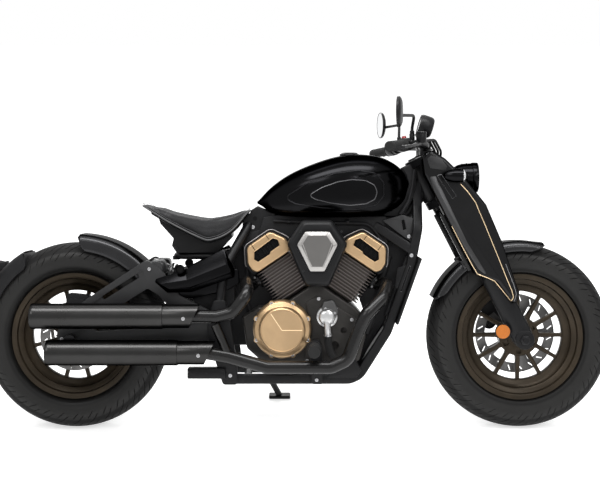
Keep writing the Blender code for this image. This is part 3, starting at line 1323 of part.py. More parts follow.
def exhaust(side, path, muffler_z, muffler_back, muffler_split, muffler_front):
    start, facing = port(side)
    pipe = tube([start, start + facing * 0.032, *path, (muffler_front - 0.03, MUFFLER_Y, muffler_z)],
                PIPE_R, 8, bend=[0] + [0.045] * (len(path) + 1) + [0], steps=1)
    flange = rod(start, start + facing * 0.009, 0.031, 12)
    can = turned(
        [(0.0, muffler_split), (0.030, muffler_split), (MUFFLER_R, muffler_split - 0.004),
         (MUFFLER_R, muffler_back + 0.004), (MUFFLER_R - 0.004, muffler_back), (MUFFLER_R - 0.012, muffler_back),
         (MUFFLER_R - 0.012, muffler_back + 0.050), (0.0, muffler_back + 0.050)],
        centre=(0, MUFFLER_Y, muffler_z), axis="X", steps=16)
    shield = rod((muffler_split - 0.010, MUFFLER_Y, muffler_z), (muffler_front, MUFFLER_Y, muffler_z),
                 MUFFLER_R - 0.0035, 16)
    slant = moved(block((0, -0.1, -0.1), (0.2, 0.1, 0.1)),
                  Matrix.Translation((muffler_front - 0.018, MUFFLER_Y, muffler_z)) @ Matrix.Rotation(radians(25), 4, "Y"))
    return fuse(can, cut(shield, slant), pipe, flange)


def balance_pipe():
    """Joins the lower pipe to the upper muffler's foot, just clear of it."""
    return rod((0.541, MUFFLER_Y, 0.280), (0.498, MUFFLER_Y, UPPER_Z - PIPE_R - 0.006), 0.015, 8)


node("exhaust_upper", exhaust(
    -1, [(0.598, -0.130, 0.518), (0.606, MUFFLER_Y, 0.484), (0.556, MUFFLER_Y, 0.420), (0.500, MUFFLER_Y, 0.406)],
    UPPER_Z, -0.117, 0.325, 0.447), "satin_black")
node("exhaust_lower", fuse(exhaust(
    1, [(1.084, -0.105, 0.512), (1.062, -0.170, 0.468), (1.004, MUFFLER_Y, 0.416), (0.978, MUFFLER_Y, 0.365),
        (0.940, MUFFLER_Y, 0.262), (0.885, MUFFLER_Y, 0.2374), (0.671, MUFFLER_Y, 0.2374),
        (0.540, MUFFLER_Y, 0.274)],
    LOWER_Z, -0.066, 0.374, 0.497), balance_pipe()), "satin_black")


# Chain, footrests and side stand

def belt_loop(extra, steps):
    """The outline round both sprockets, this far outside the chain's own inner edge."""
    big, small = SPROCKET_R + CHAIN_IN + extra, DRIVE_R + extra
    dx, dz = DRIVE_X, DRIVE_Z - REAR_TYRE_R
    span = hypot(dx, dz)
    lean = atan2(dz, dx)
    spread = atan2(sqrt(span ** 2 - (big - small) ** 2), big - small)
    loop = ring_points((0, REAR_TYRE_R), big, steps, lean + spread, 2 * pi - 2 * spread)
    loop += ring_points((DRIVE_X, DRIVE_Z), small, steps // 2, lean - spread, 2 * spread)
    return loop


def spaced(loop, count):
    """Points at even steps along a closed outline."""
    runs = [hypot(b[0] - a[0], b[1] - a[1]) for a, b in zip(loop, loop[1:] + loop[:1])]
    step, done, found = sum(runs) / count, 0.0, []
    for (ax, az), (bx, bz), run in zip(loop, loop[1:] + loop[:1], runs):
        while len(found) < count and len(found) * step <= done + run:
            share = (len(found) * step - done) / run
            found.append((ax + (bx - ax) * share, az + (bz - az) * share))
        done += run
    return found


def chain():
    """Link plates waisted between their pins, round both sprockets."""
    edges = []
    for extra, waist in ((CHAIN_H, -0.0025), (0.0, 0.0025)):
        crest = spaced(belt_loop(extra, 24), CHAIN_LINKS * 3)
        dip = spaced(belt_loop(extra + waist, 24), CHAIN_LINKS * 3)
        edges.append([dip[k] if k % 3 == 0 else crest[k] for k in range(CHAIN_LINKS * 3)])
    loop = plate(edges[0], CHAIN_Y - CHAIN_W / 2, CHAIN_Y + CHAIN_W / 2, [edges[1]])
    at_drive = Vector((DRIVE_X, CHAIN_Y, DRIVE_Z))
    reach = Vector((0, SPROCKET_T / 2 + SEAT_GAP, 0))
    return cut(loop, rod(at_drive - reach, at_drive + reach, DRIVE_R + SEAT_GAP * 2, 26))


def footrest(side):
    """Bracket on the cradle rail, shaft and rubber peg."""
    rail = CRADLE_HALF + FRAME_R * cos(pi / 8) + SEAT_GAP
    # the left one stands outside the generator cover
    low = rail if side < 0 else CASE_HALF + GENERATOR_T + 0.003
    hanger = plate(rounded([(0.820, 0.170), (0.860, 0.170), (0.856, 0.300), (0.844, 0.322), (0.824, 0.320),
                            (0.818, 0.300)], 0.008, 1), low, low + 0.010)
    hanger = fuse(hanger, block((0.822, rail, 0.172), (0.858, low + 0.009, 0.198)))
    shaft = rod((0.836, low + 0.004, 0.302), (0.830, 0.220, 0.302), 0.011, 8)
    peg = rod((0.830, 0.215, 0.302), (0.827, 0.308, 0.302), 0.0205, 14)
    cap = rod((0.830, 0.208, 0.302), (0.830, 0.2155, 0.302), 0.024, 14)
    body = fuse(hanger, shaft, peg, cap)
    return body if side > 0 else mirror_away(body)


def side_stand():
    across = STAND_AXIS * STAND_HEAD
    eye = rod(STAND_EYE - across, STAND_EYE + across, STAND_EYE_R, 14)
    leg = rod(STAND_EYE + STAND_DOWN * 0.0125 + STAND_AXIS * 0.006, STAND_FOOT, STAND_LEG_R, 10)
    pin = bore(STAND_EYE - across * 3, STAND_EYE + across * 3, STAND_PIN_R + 0.0002, 8)
    pad = bevelled(block((-0.040, -0.022, -STAND_PAD_T), (0.040, 0.022, 0.004)), 0.003)
    pad = moved(pad, Matrix.Translation(STAND_FOOT) @ Matrix.Rotation(LEAN, 4, "X"))
    body = cut(fuse(eye, leg, pad), pin)
    return moved(body, Matrix.Translation(-STAND_EYE))


node("chain", chain(), "steel")
node("footrest_right", footrest(-1), "satin_black")
node("footrest_left", footrest(1), "satin_black")
node("side_stand", side_stand(), "satin_black", stand_pivot)


# Lean onto the stand, with the origin at the bottom centre of the bounding box

machine.rotation_euler = (-LEAN, 0, 0)
bpy.context.view_layer.update()
points = [
    part.matrix_world @ vertex.co
    for part in PARTS.objects if part.type == "MESH" for vertex in part.data.vertices
]
low = Vector([min(p[i] for p in points) for i in range(3)])
high = Vector([max(p[i] for p in points) for i in range(3)])
machine.location = (-(low.x + high.x) / 2, -(low.y + high.y) / 2, -low.z)
bpy.context.view_layer.update()
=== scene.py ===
import json
from math import atan2, cos, pi, radians, sin, sqrt, tan

import bmesh
import bpy
import numpy as np
from mathutils import Matrix, Vector


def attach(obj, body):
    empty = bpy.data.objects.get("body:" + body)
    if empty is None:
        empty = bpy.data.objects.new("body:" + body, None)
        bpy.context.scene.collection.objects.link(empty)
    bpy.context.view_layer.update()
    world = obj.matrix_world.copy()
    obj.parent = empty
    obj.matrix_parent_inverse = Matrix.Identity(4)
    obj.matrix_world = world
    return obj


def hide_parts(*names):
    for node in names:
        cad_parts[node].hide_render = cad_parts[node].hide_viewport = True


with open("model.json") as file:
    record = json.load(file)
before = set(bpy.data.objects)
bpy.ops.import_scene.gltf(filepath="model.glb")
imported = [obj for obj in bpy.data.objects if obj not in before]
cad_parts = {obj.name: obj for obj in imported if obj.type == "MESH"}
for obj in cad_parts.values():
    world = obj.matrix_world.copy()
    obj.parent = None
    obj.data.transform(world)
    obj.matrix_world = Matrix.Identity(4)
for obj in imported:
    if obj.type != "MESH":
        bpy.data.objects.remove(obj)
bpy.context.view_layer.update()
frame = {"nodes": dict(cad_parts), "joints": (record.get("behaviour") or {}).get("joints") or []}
print("frame loaded:", len(frame["nodes"]), "nodes")

# Everything is modelled on the upright machine, in metres: x forward from the rear axle,
# y to its left, z up from the ground. The last step of each piece leans it as it is parked.
machine = {
    "lean": 9.0,            # degrees, to the left
    "wheelbase": 1.545,
    "rake": 27.0,
    "rearRadius": 0.323,
    "frontRadius": 0.32,
    "forkOffset": 0.05,
}
rearAxle = Vector(next(j["pos_m"] for j in frame["joints"] if j["name"] == "rear_wheel_spin"))
tilt = Matrix.Rotation(-radians(machine["lean"]), 4, "X")
parked = Matrix.Translation(rearAxle - tilt @ Vector((0, 0, machine["rearRadius"]))) @ tilt
rake = radians(machine["rake"])
forkX = machine["forkOffset"]
steerOrigin = Vector((machine["wheelbase"] - forkX * cos(rake), 0,
                      machine["frontRadius"] - forkX * sin(rake)))
steered = Matrix.Translation(steerOrigin) @ Matrix.Rotation(-rake, 4, "Y")  # x ahead, z along
rearHub = Matrix.Translation((0, 0, machine["rearRadius"]))
frontHub = Matrix.Translation((machine["wheelbase"], 0, machine["frontRadius"]))
alongY = Matrix.Rotation(-pi / 2, 4, "X")   # what is turned about z comes to lie along y
alongX = Matrix.Rotation(pi / 2, 4, "Y")
outward = Matrix.Rotation(pi / 2, 4, "X")    # or to point to the right
flipped = Matrix.Scale(-1, 4, (0, 1, 0))     # from one side of the machine to the other
bothSides = ((-1, "right"), (1, "left"))

# Places read from the picture are taken to the depth at which the piece lies.
view = {
    "eye": (0.7815, -4.0, 0.836),   # of the camera, beside the upright machine
    "pixel": 0.00352,               # metres, in the machine's middle plane
    "ahead": (300, 188),            # the pixel straight in front of the eye
}


def atPixel(px, py, y):
    reach = view["pixel"] * (1 - y / view["eye"][1])
    return Vector((view["eye"][0] + (px - view["ahead"][0]) * reach, y,
                   view["eye"][2] + (view["ahead"][1] - py) * reach))


def seenAt(spots, y):
    # an outline in x and z, for a plate that lies at y
    return [(p.x, p.z) for p in (atPixel(px, py, y) for px, py in spots)]


# Modelling by operators


def startFresh():
    if bpy.context.mode != "OBJECT":
        bpy.ops.object.mode_set(mode="OBJECT")
    bpy.ops.object.select_all(action="DESELECT")


def pick(*pieces):
    startFresh()
    for piece in pieces:
        piece.select_set(True)
    bpy.context.view_layer.objects.active = pieces[0]
    return pieces[0]


def openMesh(piece):
    pick(piece)
    bpy.ops.object.mode_set(mode="EDIT")
    bpy.ops.mesh.select_mode(type="VERT")
    bpy.ops.mesh.select_all(action="SELECT")
    return piece


def closeMesh(piece, merge=1e-5):
    if merge:
        bpy.ops.mesh.select_all(action="SELECT")
        bpy.ops.mesh.remove_doubles(threshold=merge)
        bpy.ops.mesh.normals_make_consistent(inside=False)
    bpy.ops.object.mode_set(mode="OBJECT")
    return piece


def outlined(points, filled=False):
    startFresh()
    bpy.ops.mesh.primitive_circle_add(vertices=len(points), fill_type="NGON" if filled else "NOTHING")
    piece = bpy.context.object
    for vertex, point in zip(piece.data.vertices, points):
        vertex.co = point
    return piece


def applied(piece, kind, **settings):
    pick(piece)
    step = piece.modifiers.new(kind.lower(), kind)
    for key, value in settings.items():
        setattr(step, key, value)
    bpy.ops.object.modifier_apply(modifier=step.name)
    return piece


def bevelled(piece, width, segments=2, angle=30):
    return applied(piece, "BEVEL", width=width, segments=segments, limit_method="ANGLE",
                   angle_limit=radians(angle), use_clamp_overlap=True)


def joined(*pieces):
    pieces = [p for p in pieces if p]
    if len(pieces) > 1:
        pick(*pieces)
        bpy.ops.object.join()
    return pieces[0]


def cutBy(piece, *others):
    for other in others:
        applied(piece, "BOOLEAN", operation="DIFFERENCE", object=other, solver="EXACT")
        bpy.data.objects.remove(other)
    return piece


def shaped(piece, matrix):
    piece.data.transform(matrix)
    if matrix.determinant() < 0:
        piece.data.flip_normals()
    return piece


def copied(piece, matrix=Matrix()):
    other = piece.copy()
    other.data = piece.data.copy()
    bpy.context.scene.collection.objects.link(other)
    return shaped(other, matrix)


def mirroredTo(piece, side):
    # what is modelled on the right or left, taken to the other side if side asks for it
    return shaped(piece, flipped) if side < 0 else piece


def mirroredPair(piece):
    return joined(piece, copied(piece, flipped))


def repeated(piece, matrices):
    copies = [copied(piece, m) for m in matrices]
    bpy.data.objects.remove(piece)
    return joined(*copies)


def spun(profile, steps=96):
    # a closed profile of radius and height, spun about z
    piece = openMesh(outlined([(r, 0, h) for r, h in profile]))
    bpy.ops.mesh.spin(steps=steps, angle=2 * pi, center=(0, 0, 0), axis=(0, 0, 1))
    bpy.ops.mesh.select_all(action="SELECT")
    bpy.ops.mesh.remove_doubles(threshold=1e-5)
    bpy.ops.mesh.delete_loose()
    return closeMesh(piece)


def plated(points, near, far, holes=(), edge=0.0, segments=2, place=Matrix()):
    # an outline in x and z, extruded along y
    near, far = sorted((near, far))
    piece = outlined([(x, near, z) for x, z in points], filled=True)
    openMesh(piece)
    bpy.ops.mesh.extrude_region_move(TRANSFORM_OT_translate={"value": (0, far - near, 0)})
    closeMesh(piece)
    if holes:
        cutBy(piece, joined(*[plated(hole, near - 0.01, far + 0.01) for hole in holes]))
    if edge:
        bevelled(piece, edge, segments)
    return shaped(piece, place)


def lofted(rings, capped=True):
    # a skin through rings of equally many points, each extruded from the one before
    piece = outlined(rings[0], filled=capped)
    openMesh(piece)
    count = len(rings[0])
    for ring in rings[1:]:
        bpy.ops.mesh.extrude_region_move()
        bm = bmesh.from_edit_mesh(piece.data)
        bm.verts.ensure_lookup_table()
        for vertex, point in zip(bm.verts[len(bm.verts) - count:], ring):
            vertex.co = point
    bmesh.update_edit_mesh(piece.data)
    return closeMesh(piece, 1e-6)


def boxed(low, high, edge=0.0, segments=2, place=Matrix()):
    startFresh()
    low, high = [Vector([end(pair) for pair in zip(low, high)]) for end in (min, max)]
    bpy.ops.mesh.primitive_cube_add(size=1, location=(low + high) / 2, scale=high - low)
    piece = bpy.context.object
    bpy.ops.object.transform_apply(location=True, rotation=True, scale=True)
    if edge:
        bevelled(piece, edge, segments)
    return shaped(piece, place)


def turnTo(way):
    # what lies along z comes to point that way
    return Vector(way).to_track_quat("Z", "Y").to_matrix().to_4x4()


def rodded(start, end, radius, endRadius=None, sides=32, edge=0.0):
    startFresh()
    start, end = Vector(start), Vector(end)
    bpy.ops.mesh.primitive_cone_add(vertices=sides, radius1=radius,
                                    radius2=radius if endRadius is None else endRadius,
                                    depth=(end - start).length)
    piece = bpy.context.object
    shaped(piece, Matrix.Translation((start + end) / 2) @ turnTo(end - start))
    return bevelled(piece, edge, 2, 60) if edge else piece


def roundedPath(points, bend, steps=8, closed=False):
    points = [Vector(p) for p in points]
    count = len(points)
    bends = bend if isinstance(bend, (list, tuple)) else [bend] * count
    path = []
    for i, corner in enumerate(points):
        if (not closed and i in (0, count - 1)) or bends[i] <= 0:
            path.append(corner)
            continue
        back, ahead = points[i - 1] - corner, points[(i + 1) % count] - corner
        half = back.angle(ahead) / 2
        if half > 1.565:
            path.append(corner)
            continue
        reach = min(bends[i] / tan(half), min(back.length, ahead.length) * 0.48)
        first = corner + back.normalized() * reach
        last = corner + ahead.normalized() * reach
        middle = corner + (back.normalized() + ahead.normalized()).normalized() * (reach / cos(half))
        for k in range(steps + 1):
            mix = (first - middle).normalized().slerp((last - middle).normalized(), k / steps)
            path.append(middle + mix * (first - middle).length)
    return path


def roundedOutline(points, bend, steps=5):
    return [(p.x, p.y) for p in roundedPath([(x, z, 0) for x, z in points], bend, steps, True)]


def piped(points, radius, bend=0.0, sides=20, steps=8, closed=False):
    # a round bar along a path
    path = roundedPath(points, bend, steps, closed) if bend else [Vector(p) for p in points]
    startFresh()
    bpy.ops.curve.primitive_nurbs_path_add()
    curve = bpy.context.object
    curve.data.splines.clear()
    spline = curve.data.splines.new("POLY")
    spline.points.add(len(path) - 1)
    spline.use_cyclic_u = closed
    for point, p in zip(spline.points, path):
        point.co = (*p, 1)
    curve.location = (0, 0, 0)
    curve.data.dimensions = "3D"
    curve.data.twist_mode = "MINIMUM"
    curve.data.bevel_depth = radius
    curve.data.bevel_resolution = max(0, sides // 2 - 2)
    curve.data.use_fill_caps = not closed
    bpy.ops.object.convert(target="MESH")
    return closeMesh(openMesh(bpy.context.object))


def ringOf(radius, count, begin=0.0, sweep=2 * pi, centre=(0, 0)):
    span = count if abs(sweep - 2 * pi) < 1e-9 else count - 1
    return [(centre[0] + radius * cos(begin + sweep * k / span),
             centre[1] + radius * sin(begin + sweep * k / span)) for k in range(count)]


def nodeCopy(name, edge, segments):
    # the CAD node's shape with its triangles merged to faces and its edges rounded
    source = frame["nodes"][name]
    piece = bpy.data.objects.new(name + "_body", source.data.copy())
    bpy.context.scene.collection.objects.link(piece)
    piece.data.materials.clear()
    openMesh(piece)
    bpy.ops.mesh.remove_doubles(threshold=2e-5)
    bpy.ops.mesh.dissolve_limited(angle_limit=radians(1.5))
    closeMesh(piece, 0)
    if piece.data.has_custom_normals:
        pick(piece)
        bpy.ops.mesh.customdata_custom_splitnormals_clear()
    return shaped(bevelled(piece, edge, segments, 25), parked.inverted())


def sideSpot(x, y, z):
    # where a screw stands and the way it faces: out to its own side
    return (x, y, z), (0, 1 if y > 0 else -1, 0)


def screws(spots, size, deep, sides=24):
    # socket-head screws, modelled once: (point, way it faces)
    startFresh()
    bpy.ops.mesh.primitive_cylinder_add(vertices=sides, radius=size, depth=deep, location=(0, 0, deep / 2))
    head = bpy.context.object
    bpy.ops.object.transform_apply(location=True)
    bevelled(head, size * 0.14, 2, 60)
    cutBy(head, rodded((0, 0, deep * 0.35), (0, 0, deep * 1.3), size * 0.5, sides=6))
    return repeated(head, [Matrix.Translation(p) @ turnTo(way) for p, way in spots])


def painted(piece, paint):
    piece.data.materials.clear()
    piece.data.materials.append(paint)
    return piece


def dressed(name, body, piece, paint=None, replaces=(), smooth=35):
    # the finished piece: leaned, named, smoothed and riding on its body
    shaped(piece, parked)
    if paint:
        painted(piece, paint)
    piece.name = name
    piece.data.name = name
    pick(piece)
    bpy.ops.object.shade_smooth_by_angle(angle=radians(smooth))
    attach(piece, body)
    if replaces:
        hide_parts(*([replaces] if isinstance(replaces, str) else replaces))
    return piece


# Materials: arithmetic on sockets adds Math nodes, numbers alone stay in Python


class Wire:
    def __init__(self, paint, socket):
        self.paint, self.socket = paint, socket

    def out(self, name):
        return Wire(self.paint, self.socket.node.outputs[name])

    def math(self, operation, *others):
        node = self.paint.tree.nodes.new("ShaderNodeMath")
        node.operation = operation
        for target, value in zip(node.inputs, (self, *others)):
            self.paint.feed(target, value)
        return Wire(self.paint, node.outputs[0])

    def __add__(self, other): return self.math("ADD", other)
    def __radd__(self, other): return self.math("ADD", other)
    def __sub__(self, other): return self.math("SUBTRACT", other)
    def __mul__(self, other): return self.math("MULTIPLY", other)
    def __rmul__(self, other): return self.math("MULTIPLY", other)
    def __rsub__(self, other): return (self * -1) + other

    def step(self, low, high):
        # 0 at low, 1 at high, smooth between
        span = self.paint.tree.nodes.new("ShaderNodeMapRange")
        span.interpolation_type = "SMOOTHSTEP"
        for key, value in (("Value", self), ("From Min", low), ("From Max", high)):
            self.paint.feed(span.inputs[key], value)
        return Wire(self.paint, span.outputs[0])


class Paint:
    def __init__(self, name):
        self.material = bpy.data.materials.new(name)
        self.material.use_nodes = True
        self.tree = self.material.node_tree
        self.tree.nodes.clear()
        self.place = self.add("TexCoord").out("Object")

    def feed(self, target, value):
        if isinstance(value, Wire):
            self.tree.links.new(value.socket, target)
        else:
            target.default_value = value

    def add(self, kind, settings=None, **sockets):
        node = self.tree.nodes.new("ShaderNode" + kind)
        for key, value in (settings or {}).items():
            setattr(node, key, value)
        for key, value in sockets.items():   # by name, or i and its number
            key = int(key[1:]) if key[1:].isdigit() else key.replace("_", " ")
            self.feed(node.inputs[key], value)
        return Wire(self, node.outputs[0])

    def noise(self, scale, detail=3, rough=0.5, at=None):
        return self.add("TexNoise", Vector=at or self.place, Scale=scale, Detail=detail, Roughness=rough)

    def mixed(self, share, first, second):
        first, second = [v if isinstance(v, Wire) else (*v, 1) for v in (first, second)]
        node = self.add("Mix", {"data_type": "RGBA"}, i0=share, i6=first, i7=second)
        return Wire(self, node.socket.node.outputs[2])

    def bumped(self, height, strength, distance):
        return self.add("Bump", Height=height, Strength=strength, Distance=distance)

    def surface(self, **sockets):
        shader = self.add("BsdfPrincipled")
        for key, value in sockets.items():
            target = shader.socket.node.inputs[key.replace("_", " ")]
            self.feed(target, (*value, 1) if isinstance(value, tuple) else value)
        return self.finished(shader)

    def finished(self, shader):
        self.tree.links.new(shader.socket, self.tree.nodes.new("ShaderNodeOutputMaterial").inputs["Surface"])
        return self.material


def faded(tone, share):
    return tuple(v * share for v in tone)


def lacquer(name, tone=(0.008, 0.008, 0.0085), rough=0.17, edge=0.14):
    # deep black that mirrors a little, and hardly more towards its edges
    p = Paint(name)
    peel = p.noise(260, 2)
    haze = p.noise(7, 4, 0.6)
    return p.surface(Base_Color=p.mixed(haze.step(0.35, 0.75) * 0.5, tone, faded(tone, 1.3)),
                     Roughness=haze.step(0.3, 0.8) * 0.035 + rough, Metallic=1.0, Specular_Tint=(edge, edge, edge),
                     Normal=p.bumped(peel, 0.02, 0.0003))


def powderCoat(name, tone=(0.0042, 0.0042, 0.0046), rough=0.37, wear=(0.035, 0.035, 0.036), grain=1500,
               shine=0.16):
    p = Paint(name)
    fine = p.noise(grain, 2)
    broad = p.noise(11, 4, 0.6)
    edges = p.add("NewGeometry").out("Pointiness").step(0.54, 0.6)
    scuffs = edges * p.noise(60, 3, 0.7).step(0.5, 0.68)
    return p.surface(Base_Color=p.mixed(scuffs * 0.6, p.mixed(broad.step(0.3, 0.8), tone, faded(tone, 1.5)), wear),
                     Roughness=broad * 0.14 + fine * 0.05 + (rough - 0.09) - scuffs * 0.08,
                     Metallic=scuffs * 0.4, Specular_IOR_Level=shine,
                     Normal=p.bumped(fine, 0.1, 0.0003))


def mouldedPlastic(name, tone=(0.0065, 0.0065, 0.007), rough=0.55, shine=0.16):
    p = Paint(name)
    cells = p.add("TexVoronoi", {"feature": "SMOOTH_F1"}, Vector=p.place, Scale=900.0)
    broad = p.noise(14, 3, 0.6)
    return p.surface(Base_Color=p.mixed(broad.step(0.3, 0.75), tone, faded(tone, 1.45)),
                     Roughness=broad * 0.12 + cells * 0.08 + (rough - 0.09),
                     Specular_IOR_Level=shine, Normal=p.bumped(cells, 0.35, 0.0004))


def fromAxle(p, hub):
    # how far a point of a wheel is from its axle
    at = p.add("Mapping", {"vector_type": "POINT"}, Vector=p.place, Location=hub[0], Rotation=hub[1])
    parts = p.add("SeparateXYZ", Vector=at)
    x, z = parts.out("X"), parts.out("Z")
    return (x * x + z * z).math("SQRT")


def tyreRubber(name, hub, treadFrom):
    # centred on the wheel's axle, so the sidewall and the tread differ: dust and rougher rubber on the tread, and
    # a painted sheen on the sidewall, lighter away from the rim
    p = Paint(name)
    radius = fromAxle(p, hub)
    tread = radius.step(treadFrom, treadFrom + 0.006)
    fine = p.noise(700, 3, 0.65)
    broad = p.noise(9, 4, 0.6)
    dust = p.noise(38, 5, 0.7).step(0.5, 0.8) * tread
    rings = (radius * 2600.0).math("SINE") * (1 - tread)
    # painted sheen: the outer sidewall is lighter in colour than the ring by the rim and than the tread, and its
    # lighter patches lie only there
    near = 1 - radius.step(treadFrom - 0.05, treadFrom - 0.04)
    skin = p.mixed(near, (0.0125, 0.0122, 0.0118), (0.0048, 0.0046, 0.0044))
    skin = p.mixed(tread, skin, (0.0052, 0.005, 0.005))
    skin = p.mixed(broad.step(0.3, 0.8) * 0.5 * (1 - tread) * (1 - near), skin, (0.017, 0.0167, 0.0162))
    return p.surface(Base_Color=p.mixed(dust * 0.25, skin, (0.014, 0.0135, 0.013)),
                     Specular_IOR_Level=0.17, Roughness=tread * 0.3 + broad * 0.1 + 0.34,
                     Normal=p.bumped(fine * 0.6 + rings * 0.1, 0.3, 0.0004))


def castMetal(name, tone, rough=0.36, metal=0.85, grain=420, deep=0.3, shade=0.7, shine=0.3):
    p = Paint(name)
    fine = p.noise(grain, 4, 0.6)
    broad = p.noise(12, 3, 0.6)
    darker = faded(tone, shade)
    return p.surface(Base_Color=p.mixed(broad.step(0.3, 0.75), darker, tone),
                     Roughness=broad * 0.12 + fine * 0.1 + (rough - 0.11), Metallic=metal,
                     Specular_IOR_Level=shine, Normal=p.bumped(fine, deep, 0.0004))


def turnedSteel(name, hub, tone=(0.135, 0.132, 0.13)):
    # fine turning marks about the axle
    p = Paint(name)
    radius = fromAxle(p, hub)
    lines = p.add("TexNoise", {"noise_dimensions": "1D"}, W=radius, Scale=1800.0, Detail=3.0)
    heat = p.noise(26, 4, 0.6)
    return p.surface(Base_Color=p.mixed(heat.step(0.35, 0.75), tone, faded(tone, 0.62)),
                     Roughness=lines * 0.18 + 0.28, Metallic=0.95,
                     Normal=p.bumped(lines, 0.25, 0.0003))


def brushedPlate(name, tone, rough):
    p = Paint(name)
    at = p.add("Mapping", Vector=p.place, Scale=(1, 1, 40))
    lines = p.noise(1200, 3, 0.6, at)
    broad = p.noise(9, 2)
    return p.surface(Base_Color=p.mixed(broad.step(0.3, 0.7), tone, faded(tone, 0.86)),
                     Roughness=lines * 0.16 + (rough - 0.07), Metallic=0.95,
                     Normal=p.bumped(lines, 0.18, 0.0002))


def ironFins(name, tone, edge):
    # black fins whose machined rims show a brownish metal
    p = Paint(name)
    fine = p.noise(900, 3, 0.6)
    rims = p.add("NewGeometry").out("Pointiness").step(0.515, 0.56)
    broad = p.noise(22, 3)
    return p.surface(Base_Color=p.mixed(rims * 0.75, p.mixed(broad.step(0.35, 0.7), tone, faded(tone, 1.6)), edge),
                     Roughness=fine * 0.16 + 0.34, Metallic=rims * 0.5 + 0.25,
                     Specular_IOR_Level=0.3, Normal=p.bumped(fine, 0.3, 0.0003))


def hide(name, tone):
    p = Paint(name)
    warped = p.add("VectorMath", {"operation": "ADD"}, i0=p.place, i1=p.noise(60, 3).out("Color"))
    cells = p.add("TexVoronoi", {"feature": "DISTANCE_TO_EDGE"}, Vector=p.place, Scale=520.0)
    creases = cells.step(0.0, 0.16)
    soft = p.noise(90, 4, 0.6, warped)
    broad = p.noise(8, 3)
    # painted shade: the grain's creases are darker in colour as well as sunk
    return p.surface(Base_Color=p.mixed(creases, faded(tone, 0.55),
                                        p.mixed(broad.step(0.3, 0.75), tone, faded(tone, 1.6))),
                     Roughness=soft * 0.18 + broad * 0.08 + 0.46, Specular_IOR_Level=0.13,
                     Normal=p.bumped(creases * 0.8 + soft * 0.5, 0.45, 0.0006))


def gripRubber(name):
    p = Paint(name)
    fine = p.noise(1100, 2)
    broad = p.noise(40, 3)
    return p.surface(Base_Color=p.mixed(broad, (0.006, 0.006, 0.006), (0.013, 0.013, 0.013)),
                     Specular_IOR_Level=0.2, Roughness=fine * 0.12 + 0.62, Normal=p.bumped(fine, 0.35, 0.0004))


def lens(name, tone, rough, clear, ribs=420.0):
    # moulded lens with ribs inside, in its own colour
    p = Paint(name)
    parts = p.add("SeparateXYZ", Vector=p.place)
    rows = (parts.out("Z") * ribs).math("SINE")
    cells = p.add("TexVoronoi", Vector=p.place, Scale=520.0)
    deep = p.mixed(cells.step(0.0, 0.9), tone, faded(tone, 0.8))
    return p.surface(Base_Color=deep, Roughness=cells * 0.05 + rough, Transmission_Weight=clear, IOR=1.49,
                     Coat_Weight=0.25, Coat_Roughness=0.03, Normal=p.bumped(rows, 0.12, 0.0004))


def thread(name, tone):
    p = Paint(name)
    twist = p.noise(2400, 2)
    return p.surface(Base_Color=p.mixed(twist, faded(tone, 0.6), tone), Roughness=twist * 0.2 + 0.55,
                     Normal=p.bumped(twist, 0.5, 0.0003))


def coreFins(name):
    p = Paint(name)
    parts = p.add("SeparateXYZ", Vector=p.place)
    rows = (parts.out("Z") * 2400.0).math("SINE")
    cells = p.noise(500, 2)
    # painted light and shade: the stripes of the fine fins are darker between them and lighter along their edges
    return p.surface(Base_Color=p.mixed(rows.step(-0.5, 0.8), (0.01, 0.01, 0.011), (0.06, 0.06, 0.063)),
                     Roughness=cells * 0.2 + 0.45, Metallic=0.5, Normal=p.bumped(rows, 0.6, 0.0008))


def glassy(name, tone):
    p = Paint(name)
    smear = p.noise(18, 3)
    return p.surface(Base_Color=tone, Roughness=smear * 0.03 + 0.02, Transmission_Weight=1.0, IOR=1.46)


def silvered(name, tone=(0.8, 0.81, 0.82), rough=0.03):
    p = Paint(name)
    smear = p.noise(25, 3)
    return p.surface(Base_Color=p.mixed(smear, tone, faded(tone, 0.93)),
                     Roughness=smear * 0.04 + rough, Metallic=1.0)


leanTurn = (radians(machine["lean"]), 0, 0)   # undoes the lean in a pattern


def hubAt(matrix):
    centre = (parked @ matrix).translation
    turn = Matrix.Rotation(leanTurn[0], 3, "X")
    return (tuple(-(turn @ centre)), leanTurn)


blackLacquer = lacquer("blackLacquer")
satinBlack = powderCoat("satinBlack")
pipeBlack = lacquer("pipeBlack", (0.03, 0.0296, 0.0292), 0.27, 0.22)
frameBlack = powderCoat("frameBlack", (0.0046, 0.0046, 0.005), 0.38)
mattBlack = mouldedPlastic("mattBlack")
# near-black; also painted shade where it fills holes, slits and the space behind the gussets
deepBlack = mouldedPlastic("deepBlack", (0.0022, 0.0022, 0.0024), 0.5, 0.08)
bronzeWheel = castMetal("bronzeWheel", (0.034, 0.0255, 0.0165), 0.36, 0.5, 600, 0.15, 0.7, 0.2)
goldCast = castMetal("goldCast", (0.46, 0.315, 0.178), 0.34, 0.85, 700, 0.22, 0.82)
goldFace = castMetal("goldFace", (0.4, 0.275, 0.155), 0.38, 0.82, 900, 0.15, 0.88)
castAlloy = castMetal("castAlloy", (0.27, 0.27, 0.272), 0.36, 0.85, 520, 0.35, 0.72)
greyCase = castMetal("greyCase", (0.036, 0.034, 0.032), 0.4, 0.6, 520, 0.35, 0.7, 0.2)
insertFace = brushedPlate("insertFace", (0.155, 0.15, 0.145), 0.34)
insertEdge = brushedPlate("insertEdge", (0.34, 0.33, 0.32), 0.28)
fenderBlack = lacquer("fenderBlack", (0.03, 0.03, 0.031), 0.26, 0.22)
